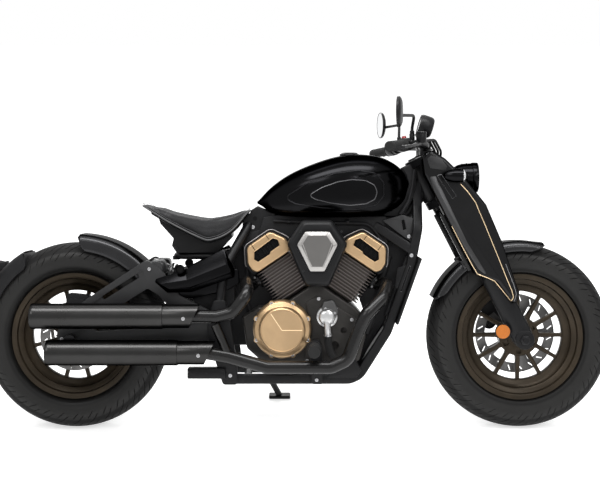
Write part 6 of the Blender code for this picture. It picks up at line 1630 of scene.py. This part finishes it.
jug = {
    "coreX": 0.06, "coreY": 0.07, "finX": 0.076, "finY": 0.09, "thin": 0.0026,
    "recess": ((-0.05, 0.034), (-0.012, 0.034), (-0.004, 0.028), (0.044, 0.028), (0.052, 0.044), (0.036, 0.066),
               (-0.044, 0.07), (-0.056, 0.056)),
}
for side, word in ((-1, "rear"), (1, "front")):
    place = bankAt(side)
    core = boxed((-jug["coreX"], -jug["coreY"], engine["foot"]),
                 (jug["coreX"], jug["coreY"], engine["top"] + 0.0075), 0.012, 4)
    corners = [(x * jug["finX"], y * jug["finY"]) for x, y in ((-1, -1), (1, -1), (1, 1), (-1, 1))]
    fin = plated(roundedOutline(corners, 0.018, 6), 0, jug["thin"], edge=0.0006, segments=1, place=outward)
    step = (engine["top"] - engine["foot"] - 0.014) / (engine["fins"] - 1)
    fins = repeated(fin, [Matrix.Translation((0, 0, engine["foot"] + 0.0125 + k * step))
                          for k in range(engine["fins"])])
    body = shaped(joined(core, fins), place)
    dressed(f"cylinder_{word}_fins", "chassis", body, finMetal, f"cylinder_{word}", smooth=30)

    low = 0.2628
    coverLine = roundedOutline([(-0.078, low), (0.078, low), (0.078, low + 0.045), (0.048, low + 0.094),
                                (-0.048, low + 0.094), (-0.078, low + 0.045)], 0.024, 8)
    cover = plated(coverLine, -0.112, 0.112, edge=0.007, segments=4)
    # the recess steps down towards the cylinder's lower side
    recess = [(x * side, low + z) for x, z in jug["recess"]]
    recessLine = roundedOutline(recess, 0.005, 4)
    vents, dark, trim, louvre = [], [], [], []
    for way in (-1, 1):
        vents.append(plated(recessLine, way * 0.098, way * 0.13))
        dark.append(plated(roundedOutline(recess, 0.004, 4), way * 0.0975, way * 0.0992))
        trim.append(piped([(x, way * 0.1118, z) for x, z in recessLine], 0.0013, sides=8, closed=True))
        for x in (-0.03 * side, 0.03 * side):
            vents.append(boxed((x - 0.0011, way * 0.06, low + 0.066), (x + 0.0011, way * 0.1135, low + 0.11)))
        for k in range(5):
            louvre.append(boxed((-0.046 + k * 0.019, way * 0.099, low + 0.036),
                                (-0.037 + k * 0.019, way * 0.1035, low + 0.062), 0.0015))
    cutBy(cover, *vents)
    # a black flange with a bright edge stands behind the cover
    wide = [(x * 1.13, low + 0.047 + (z - low - 0.047) * 1.15) for x, z in coverLine if z > low + 0.004]
    flanges, edges = [], []
    for way in (-1, 1):
        flanges.append(plated(wide, way * 0.07, way * 0.082, edge=0.001, segments=1))
        edges.append(piped([(x, way * 0.0815, z) for x, z in wide if z > low + 0.02], 0.0014, sides=8))
    body = joined(painted(joined(cover, *trim), goldCast), painted(joined(*dark, *louvre), deepBlack),
                  painted(joined(*flanges), satinBlack), painted(joined(*edges), stripeSilver))
    dressed(f"head_cover_{word}_casting", "chassis", shaped(body, place), None,
            f"head_cover_{word}", smooth=32)

clutch = {"at": (0.721, -0.1253, 0.358), "opening": 124, "bosses": 8}
drum = spun([(0, 0.0), (0.0986, 0.0), (0.0986, 0.028), (0.0975, 0.031), (0.093, 0.0385), (0.0905, 0.0405),
             (0.08, 0.0432), (0.0785, 0.0445), (0.077, 0.0475), (0.0765, 0.0575), (0.075, 0.0605),
             (0.0715, 0.063), (0.07, 0.0625), (0.069, 0.061), (0, 0.061)], 144)
opening = radians(clutch["opening"])
place = Matrix.Translation(clutch["at"])
shaped(drum, place @ outward)
sector = roundedOutline([(0, 0)] + ringOf(0.066, 40, 0, opening), 0.0015, 2)
cutBy(drum, plated(sector, 0.06, 0.07, place=place @ flipped))
bosses, spots, lines = [], [], []
atX, atY, atZ = clutch["at"]
for k in range(clutch["bosses"]):
    a = 2 * pi * (k + 0.5) / clutch["bosses"]
    x, z = atX + 0.0935 * cos(a), atZ + 0.0935 * sin(a)
    bosses.append(rodded((x, atY, z), (x, -0.16, z), 0.0095, sides=32, edge=0.0015))
    spots.append(sideSpot(x, -0.16, z))
y = atY - 0.0612
for a in (0.0, opening):
    lines.append(rodded((atX, y, atZ), (atX + 0.068 * cos(a), y, atZ + 0.068 * sin(a)), 0.0016, sides=8))
sector = roundedOutline([(0, 0)] + ringOf(0.0655, 40, 0, opening), 0.0015, 2)
floorDisc = plated(sector, 0.0585, 0.0602, place=place @ flipped)
body = joined(painted(joined(drum, *bosses), goldCast), painted(floorDisc, goldFace),
              painted(joined(*lines), goldEdge),
              painted(screws(spots, 0.0058, 0.005), boltSteel))
dressed("clutch_cover_turned", "chassis", body, None, "clutch_cover", smooth=30)

spinner = spun([(0, 0.0), (0.088, 0.0), (0.088, 0.022), (0.0865, 0.0245), (0.079, 0.0355), (0.0765, 0.037),
                (0.051, 0.0415), (0.049, 0.0415), (0.0475, 0.04), (0.0465, 0.036), (0, 0.036)], 120)
shaped(spinner, Matrix.Translation((engine["crank"][0], 0.1253, engine["crank"][1])) @ alongY)
spots = discSpots(engine["crank"], 0.1475, 0.0835, 8, 0.3)
body = joined(painted(spinner, satinBlack), painted(screws(spots, 0.0055, 0.004), boltSteel))
dressed("generator_cover_turned", "chassis", body, None, "generator_cover")

pump = {"at": (0.873, -0.1253, 0.399)}
back = pump["at"][1]
dome = spun([(0, 0), (0.036, 0), (0.036, 0.022), (0.0345, 0.0245), (0.029, 0.026), (0.0275, 0.0285),
             (0.026, 0.034), (0.022, 0.038), (0.012, 0.04), (0, 0.0405)], 80)
shaped(dome, Matrix.Translation(pump["at"]) @ outward)
lobe = plated(roundedOutline([(0.842, 0.392), (0.862, 0.452), (0.894, 0.458), (0.912, 0.42), (0.9, 0.38)], 0.012),
              back - 0.026, back, edge=0.003, segments=3)
neckPipe = piped([(0.873, back - 0.028, 0.4), (0.8745, back - 0.0295, 0.362), (0.876, back - 0.026, 0.338)],
                 0.0112, 0.02, 24)
hose = piped([(0.876, back - 0.026, 0.342), (0.8775, back - 0.018, 0.308), (0.884, back - 0.013, 0.282),
              (0.895, back - 0.012, 0.262)], 0.0125, 0.02, 24)
clipA = rodded((0.8757, back - 0.0265, 0.3425), (0.8763, back - 0.0252, 0.335), 0.014, sides=32, edge=0.0008)
spots = [sideSpot(pump["at"][0] + 0.0295 * cos(a), back - 0.0255, pump["at"][2] + 0.0295 * sin(a))
         for a in np.arange(5) * 2 * pi / 5 + 0.5]
body = joined(painted(joined(dome, neckPipe), brightAlloy), painted(lobe, pumpGrey), painted(hose, gripBlack),
              painted(clipA, boltSteel), painted(screws(spots, 0.0042, 0.004), boltSteel))
dressed("water_pump_body", "chassis", body, None, "water_pump")

air = {
    "x": 0.839, "in": -0.1125, "middle": 0.628,
    # half widths and heights of the six-sided outlines, from the top down
    "shell": ((0.05, 0.728), (0.102, 0.65), (0.04, 0.508)),
    "recess": ((0.0405, 0.692), (0.0685, 0.648), (0.024, 0.5586)),
    "badge": ((0.0395, 0.691), (0.067, 0.648), (0.0235, 0.56)),
    # depths, and the share of the outline there
    "steps": ((-0.15, 0.995), (-0.158, 1.0), (-0.214, 0.995), (-0.222, 0.978), (-0.23, 0.935), (-0.2345, 0.885),
              (-0.236, 0.84)),
}
ax = air["x"]


def sixSided(label):
    (a, top), (b, middle), (c, foot) = air[label]
    return [(ax - a, top), (ax + a, top), (ax + b, middle), (ax + c, foot), (ax - c, foot), (ax - b, middle)]


def grown(points, centre, share):
    return [(centre[0] + (x - centre[0]) * share, centre[1] + (z - centre[1]) * share) for x, z in points]


def shellLine(share):
    return roundedOutline(grown(sixSided("shell"), middle, share), 0.02, 8)


middle = (ax, air["middle"])
shell = lofted([[(x, y, z) for x, z in shellLine(share)] for y,
                share in ((air["in"] - 0.03, 0.97), *air["steps"])])
cutBy(shell, plated(roundedOutline(grown(sixSided("recess"), middle, 1.09), 0.012), -0.25, -0.2325))
cutBy(shell, plated(roundedOutline(grown(sixSided("recess"), middle, 1.0), 0.01), -0.25, -0.23))
cutBy(shell, plated(shellLine(1.05), -0.176, -0.173, [shellLine(0.975)]))
neck = boxed((0.815, -0.1575, 0.59), (0.861, -0.09, 0.68), 0.006, 3)
intake = boxed((0.806, -0.1, 0.566), (0.87, 0.085, 0.7005), 0.012, 4)
spots = seenAt(((300.5, 231.5), (341.5, 231.5), (303.5, 271), (338.5, 271)), -0.2355)
spots = [sideSpot(x, -0.2352, z) for x, z in spots]
body = joined(painted(shell, satinBlack), painted(joined(neck, intake), greyCase),
              painted(screws(spots, 0.0042, 0.0035), darkBolt))
dressed("air_cleaner_shell", "chassis", body, None, "air_cleaner", smooth=32)

outer = roundedOutline(sixSided("badge"), 0.008, 5)
insetLine = roundedOutline(grown(sixSided("badge"), (ax, 0.632), 0.8), 0.006, 5)
plateBody = lofted([[(x, y, z) for x, z in line]
                    for y, line in ((-0.2303, outer), (-0.2335, outer), (-0.2393, insetLine))])
core = plated(grown(insetLine, (ax, 0.632), 0.985), -0.2397, -0.236, edge=0.0005, segments=1)
ridges = []
for way in (-1, 1):
    ridges.append(piped([(ax + way * 0.05, -0.2385, 0.655), (ax + way * 0.03, -0.2388, 0.6),
                         (ax + way * 0.018, -0.2385, 0.576)], 0.0022, 0.02, 10))
body = joined(painted(joined(plateBody, *ridges), insertEdge), painted(core, insertFace))
dressed("air_cleaner_badge", "chassis", body, None, "air_cleaner_insert", smooth=25)

cooler = {"low": (1.098, 0, 0.386), "high": (1.172, 0, 0.592), "rows": 34}
low, high = Vector(cooler["low"]), Vector(cooler["high"])
place = Matrix.Translation((low + high) / 2) @ Matrix.Rotation(atan2((high - low).x, (high - low).z), 4, "Y")
half = (high - low).length / 2
core = boxed((-0.024, -0.0525, -half), (0.0205, 0.0525, half), 0.003)
frontPlate = boxed((0.0168, -0.108, -half - 0.012), (0.0265, 0.108, half + 0.012), 0.004, 3)
cutBy(frontPlate, boxed((0.022, -0.092, -half + 0.006), (0.04, 0.092, half - 0.006)))
slats = repeated(boxed((0.0215, -0.0925, -0.0008), (0.0275, 0.0925, 0.0008)),
                 [Matrix.Translation((0, 0, -half + 0.01 + k * (2 * half - 0.02) / (cooler["rows"] - 1)))
                  for k in range(cooler["rows"])])
guardBars = repeated(boxed((0.0262, -0.0015, -half + 0.004), (0.03, 0.0015, half - 0.004), 0.0008),
                 [Matrix.Translation((0, y, 0)) for y in np.linspace(-0.075, 0.075, 7)])
body = joined(painted(joined(core, frontPlate, guardBars), mattBlack), painted(slats, radiatorCore))
dressed("radiator_core", "chassis", shaped(body, place), None, "radiator")
print("engine made")

# Exhausts

pipes = {"radius": 0.022, "can": 0.0425, "y": -0.205, "upper": 0.408, "lower": 0.286, "slant": 25}


def exhaustSet(name, side, path, z, backEnd, split, front, extra=()):
    bank = bankAt(side)
    start = bank @ Vector((side * 0.0763, -0.03, engine["top"] - 0.022))
    facing = bank.to_3x3() @ Vector((side, 0, 0))
    pipe = piped([start, start + facing * 0.032, *path, (front - 0.03, pipes["y"], z)], pipes["radius"],
                 [0] + [0.045] * (len(path) + 1) + [0], 40, 12)
    flange = rodded(start, start + facing * 0.009, 0.031, sides=48, edge=0.002)
    sideways = facing.cross(Vector((0, 1, 0))).normalized()
    studs = [(start + facing * 0.009 + (Vector((0, 1, 0)) * cos(a) + sideways * sin(a)) * 0.026, facing)
             for a in (0.8, 0.8 + pi)]
    r = pipes["can"]
    can = spun([(0, split), (0.03, split), (r - 0.0015, split), (r, split - 0.0015), (r, split - 0.01),
                (r, backEnd + 0.016), (r + 0.0004, backEnd + 0.015), (r + 0.0004, backEnd + 0.004),
                (r - 0.0012, backEnd + 0.001), (r - 0.004, backEnd), (r - 0.0105, backEnd),
                (r - 0.012, backEnd + 0.002), (r - 0.012, backEnd + 0.05), (0, backEnd + 0.05)], 96)
    line = Matrix.Translation((0, pipes["y"], z)) @ alongX
    shaped(can, line)
    shield = rodded((split - 0.01, pipes["y"], z), (front, pipes["y"], z), r - 0.003, sides=80)
    slant = Matrix.Translation((front - 0.018, pipes["y"], z)) @ Matrix.Rotation(radians(pipes["slant"]), 4, "Y")
    bevelled(cutBy(shield, boxed((0, -0.1, -0.1), (0.2, 0.1, 0.1), place=slant)), 0.0035, 3, 50)
    seam = spun([(r - 0.006, split + 0.0025), (r - 0.0035, split + 0.0025), (r - 0.0035, split + 0.0005),
                 (r - 0.006, split + 0.0005)], 80)
    shaped(seam, line)
    spot = screws([((front - 0.052, pipes["y"] - 0.0385, z - 0.004), (0, -1, 0))], 0.0062, 0.004)
    throat = ((0, 0.0505), (0.0295, 0.0505), (0.0295, 0.048), (0.016, 0.046), (0.014, 0.049), (0, 0.049))
    throat = shaped(spun([(radius, backEnd + deep) for radius, deep in throat], 56), line)
    body = joined(painted(joined(can, shield, *extra), pipeBlack), painted(pipe, pipeGloss),
                  painted(flange, darkBolt), painted(seam, deepBlack),
                  painted(throat, deepBlack), painted(joined(spot, screws(studs, 0.005, 0.006, 6)), boltSteel))
    dressed(name + "_system", "chassis", body, None, name)


pipeGloss = powderCoat("pipeGloss", (0.0042, 0.004, 0.004), 0.22, (0.03, 0.027, 0.025), 900, 0.24)
exhaustSet("exhaust_upper", -1, [(0.598, -0.13, 0.518), (0.606, -0.205, 0.484), (0.556, -0.205, 0.42),
                                 (0.5, -0.205, 0.406)],
           pipes["upper"], -0.117, 0.325, 0.447)
balance = rodded((0.541, -0.205, 0.28), (0.498, -0.205, 0.38), 0.015, sides=40)
exhaustSet("exhaust_lower", 1, [(1.084, -0.105, 0.512), (1.062, -0.17, 0.468), (1.004, -0.205, 0.416),
                                (0.978, -0.205, 0.365), (0.94, -0.205, 0.262), (0.885, -0.205, 0.2374),
                                (0.671, -0.205, 0.2374), (0.54, -0.205, 0.274)],
           pipes["lower"], -0.066, 0.374, 0.497, (balance,))
print("exhausts made")

# Footrests and side stand

rest = {"rail": 0.1336, "railLeft": 0.17, "at": (0.83, 0.215, 0.302), "grooves": 9}
for side, word in bothSides:
    low = rest["rail"] if side < 0 else rest["railLeft"]
    hanger = plated(roundedOutline([(0.82, 0.17), (0.86, 0.17), (0.856, 0.3), (0.844, 0.322), (0.824, 0.32),
                                    (0.818, 0.3)], 0.008), low, low + 0.01, edge=0.002)
    block = boxed((0.822, rest["rail"], 0.172), (0.858, low + 0.009, 0.198), 0.003)
    shaft = rodded((0.836, low + 0.004, 0.302), (0.83, 0.22, 0.302), 0.011, sides=32)
    collar = rodded((0.83, 0.208, 0.302), (0.83, 0.2155, 0.302), 0.024, sides=48, edge=0.002)
    profile = [(0, 0), (0.0195, 0), (0.0205, 0.002)]
    for k in range(rest["grooves"]):
        at = 0.006 + k * 0.0088
        profile += [(0.0205, at), (0.0185, at + 0.0012), (0.0185, at + 0.003), (0.0205, at + 0.0042)]
    profile += [(0.0205, 0.09), (0.019, 0.093), (0, 0.093)]
    rubberPeg = spun(profile, 48)
    shaped(rubberPeg, Matrix.Translation(rest["at"]) @ turnTo((-0.003, 0.093, 0)))
    spot = screws([((0.838, low + 0.01, 0.185), (0, 1, 0)), ((0.836, low + 0.01, 0.302), (0, 1, 0))], 0.006, 0.004)
    body = joined(painted(joined(hanger, block, shaft, collar), satinBlack), painted(rubberPeg, gripBlack),
                  painted(spot, boltSteel))
    dressed(f"footrest_{word}_set", "chassis", mirroredTo(body, side), None, f"footrest_{word}")
stand = nodeCopy("side_stand", 0.0018, 2)
dressed("side_stand_leg", "stand", stand, satinBlack, "side_stand")
print("footrests and stand made")

# What fills the frame behind the engine, in moulded black

filling = {
    # outlines in x and z, and how far each side reaches
    "tray": (((0.655, 0.735), (0.7, 0.742), (1.08, 0.738), (1.092, 0.705), (1.085, 0.64), (1.02, 0.655),
              (0.96, 0.655), (0.9, 0.6), (0.78, 0.6), (0.72, 0.655), (0.66, 0.655), (0.628, 0.65)), 0.03, 0.054),
    "battery": (((0.534, 0.47), (0.54, 0.6), (0.58, 0.672), (0.64, 0.69), (0.69, 0.668), (0.7, 0.6), (0.705, 0.54),
                 (0.725, 0.44), (0.66, 0.34), (0.6, 0.29), (0.545, 0.29), (0.534, 0.4)), 0.0, 0.048),
    "duct": (((1.062, 0.678), (1.14, 0.668), (1.16, 0.61), (1.066, 0.36), (0.99, 0.222), (0.955, 0.212),
              (0.985, 0.275), (1.012, 0.33), (1.006, 0.4), (0.992, 0.44), (0.985, 0.52), (1.04, 0.6)), 0.0, 0.03),
    "electrics": (((0.398, 0.5), (0.404, 0.556), (0.5, 0.596), (0.545, 0.59), (0.56, 0.54), (0.556, 0.44),
                   (0.53, 0.408), (0.47, 0.404), (0.42, 0.44)), 0.046, 0.1),
}
pieces = []
for outline, near, far in filling.values():
    shape = roundedOutline(outline, 0.007, 4)
    if near:
        pieces.append(mirroredPair(plated(shape, near, far, edge=0.003, segments=3)))
    else:
        pieces.append(plated(shape, -far, far, edge=0.003, segments=3))
# looms and hoses run along them
looms = (
    (((0.69, 0.058, 0.722), (0.86, 0.06, 0.716), (1.02, 0.058, 0.712), (1.078, 0.05, 0.64), (1.07, 0.036, 0.54)),
     0.0065, 0.05, 16),
    (((1.092, 0.036, 0.6), (1.066, 0.038, 0.52), (1.046, 0.04, 0.42), (1.01, 0.06, 0.33)), 0.0125, 0.06, 20),
    (((0.585, 0.054, 0.64), (0.6, 0.058, 0.56), (0.592, 0.056, 0.46), (0.61, 0.052, 0.4)), 0.007, 0.05, 16),
)
clips = []
for side in (-1, 1):
    for path, *form in looms:
        pieces.append(piped([(x, side * y, z) for x, y, z in path], *form))
    pieces.append(boxed((0.585, side * 0.048, 0.56), (0.628, side * 0.064, 0.62), 0.004, 3))
    for x in (0.74, 0.94):
        y = side * 0.0595
        clips.append(rodded((x, y, 0.7195), (x + 0.012, y, 0.719), 0.008, sides=20, edge=0.001))
spots = [sideSpot(x, y, z) for x, z in ((0.42, 0.545), (0.54, 0.575), (0.545, 0.43)) for y in (-0.1, 0.1)]
body = joined(painted(joined(*pieces), mattBlack), painted(joined(*clips), satinBlack),
              painted(screws(spots, 0.006, 0.004), boltSteel))
dressed("frame_filling", "chassis", body, None)

# blocky covers behind the tank's nose, over the steering head's wiring
nose = ((1.135, 0.905), (1.175, 0.925), (1.188, 0.9), (1.186, 0.845), (1.176, 0.8), (1.15, 0.75), (1.13, 0.735),
        (1.072, 0.738), (1.076, 0.775), (1.125, 0.785), (1.15, 0.815), (1.162, 0.85), (1.15, 0.885))
nose = mirroredPair(plated(roundedOutline(nose, 0.005), 0.026, 0.04, edge=0.003, segments=3))
plait = [piped([(1.18, side * 0.041, 0.9), (1.172, side * 0.045, 0.84), (1.16, side * 0.05, 0.79),
                (1.13, side * 0.052, 0.745)], 0.006, 0.04, 16)
         for side in (-1, 1)]
dressed("head_wiring_cover", "chassis", joined(nose, *plait), mattBlack)

# hoses and clamps about the bars
bundle = []
for swing in (0.0, 0.011, 0.021):
    bundle.append(piped([onGrip(0.187, 0.03, 0.004), (1.215 + swing, 0.165, 1.0), (1.25 + swing, 0.085, 0.955),
                         (1.215 + swing, 0.048, 0.875)], 0.0042, 0.05, 14))
for y in (0.03, 0.058):
    bundle.append(rodded(barCentre + Vector((0, y - 0.011, 0)), barCentre + Vector((0, y + 0.011, 0)), 0.021,
                         sides=40, edge=0.002))
    bundle.append(boxed((barCentre.x - 0.018, y - 0.011, barCentre.z - 0.032),
                        (barCentre.x + 0.018, y + 0.011, barCentre.z - 0.01), 0.003))
dressed("bar_hoses", "steering", mirroredPair(joined(*bundle)), satinBlack)

# the glossy lower half of each side cover
skirt = seenAt(((159, 284), (166, 296), (192, 298.5), (226, 291), (240, 283), (238, 268), (200, 281)), -0.112)
skirt = mirroredPair(plated(roundedOutline(skirt, 0.008, 5), -0.117, -0.104, edge=0.004, segments=4))
dressed("side_skirt", "chassis", skirt, blackLacquer)
print("filling made")

# Floor, light and camera

studio = {
    "lens": 68.2,
    "shift": -52 / 600,          # the picture's middle lies below the eye
    "floorTone": 0.9, "floorGlow": 0.62, "airGlow": 0.55,
    "lookAt": (0.78, 0, 0.5),
    "lamps": (   # place, length, width, watts: soft boxes, and strips that draw the highlights
        ((-1.2, -3.6, 3.0), 1.8, 1.0, 38.0), ((3.0, -3.0, 2.6), 1.4, 0.7, 30.0), ((0.6, 2.9, 3.0), 2.4, 0.8, 42.0),
        ((0.8, -1.5, 3.3), 3.2, 1.0, 130.0), ((0.8, 0.3, 3.6), 3.0, 0.4, 18.0),
        ((2.1, -3.7, 2.1), 0.35, 0.35, 9.0)),
}
startFresh()
bpy.ops.mesh.primitive_plane_add(size=80, location=(0, 0, -0.0006))
floor = bpy.context.object
floor.name = "studio_floor"
bpy.ops.object.transform_apply(location=True)


def studioPaint():
    # white to the camera and in reflections, and still taking the shadow
    p = Paint("studioFloor")
    seen = p.add("LightPath")
    white = seen.out("Is Camera Ray").math("MAXIMUM", seen.out("Is Glossy Ray"))
    white = white.math("MAXIMUM", seen.out("Is Transmission Ray"))
    matt = p.add("BsdfDiffuse", Color=(*[studio["floorTone"]] * 3, 1))
    glow = p.add("Emission", Color=(1, 1, 1, 1), Strength=studio["floorGlow"])
    both = p.add("AddShader", i0=matt, i1=glow)
    choice = p.add("MixShader", i0=white, i1=matt, i2=both)
    return p.finished(choice)


painted(floor, studioPaint())

world = bpy.data.worlds.new("studioAir")
bpy.context.scene.world = world
world.use_nodes = True
air = world.node_tree
air.nodes.clear()
seen = air.nodes.new("ShaderNodeLightPath")
clear, white = air.nodes.new("ShaderNodeMath"), air.nodes.new("ShaderNodeMath")
clear.operation = white.operation = "MAXIMUM"
air.links.new(seen.outputs["Is Camera Ray"], clear.inputs[0])
air.links.new(seen.outputs["Is Transmission Ray"], clear.inputs[1])
air.links.new(clear.outputs[0], white.inputs[0])
air.links.new(seen.outputs["Is Glossy Ray"], white.inputs[1])
soft, plain = air.nodes.new("ShaderNodeBackground"), air.nodes.new("ShaderNodeBackground")
for shade, strength in ((soft, studio["airGlow"]), (plain, 1.0)):
    shade.inputs["Color"].default_value = (1, 1, 1, 1)
    shade.inputs["Strength"].default_value = strength
choose = air.nodes.new("ShaderNodeMixShader")
end = air.nodes.new("ShaderNodeOutputWorld")
air.links.new(white.outputs[0], choose.inputs[0])
air.links.new(soft.outputs[0], choose.inputs[1])
air.links.new(plain.outputs[0], choose.inputs[2])
air.links.new(choose.outputs[0], end.inputs["Surface"])

lookAt = parked @ Vector(studio["lookAt"])
for at, length, width, power in studio["lamps"]:
    startFresh()
    bpy.ops.object.light_add(type="AREA", location=parked @ Vector(at))
    lamp = bpy.context.object
    lamp.data.shape = "RECTANGLE"
    lamp.data.size, lamp.data.size_y = length, width
    lamp.data.energy = power
    lamp.rotation_euler = (lookAt - lamp.location).to_track_quat("-Z", "Y").to_euler()

startFresh()
bpy.ops.object.camera_add()
camera = bpy.context.object
camera.matrix_world = parked @ Matrix.Translation(view["eye"]) @ outward
camera.data.lens = studio["lens"]
camera.data.sensor_width = 36
camera.data.shift_y = studio["shift"]
camera.data.clip_end = 200
bpy.context.scene.camera = camera
bpy.context.scene.view_settings.view_transform = "Standard"
print("studio ready")
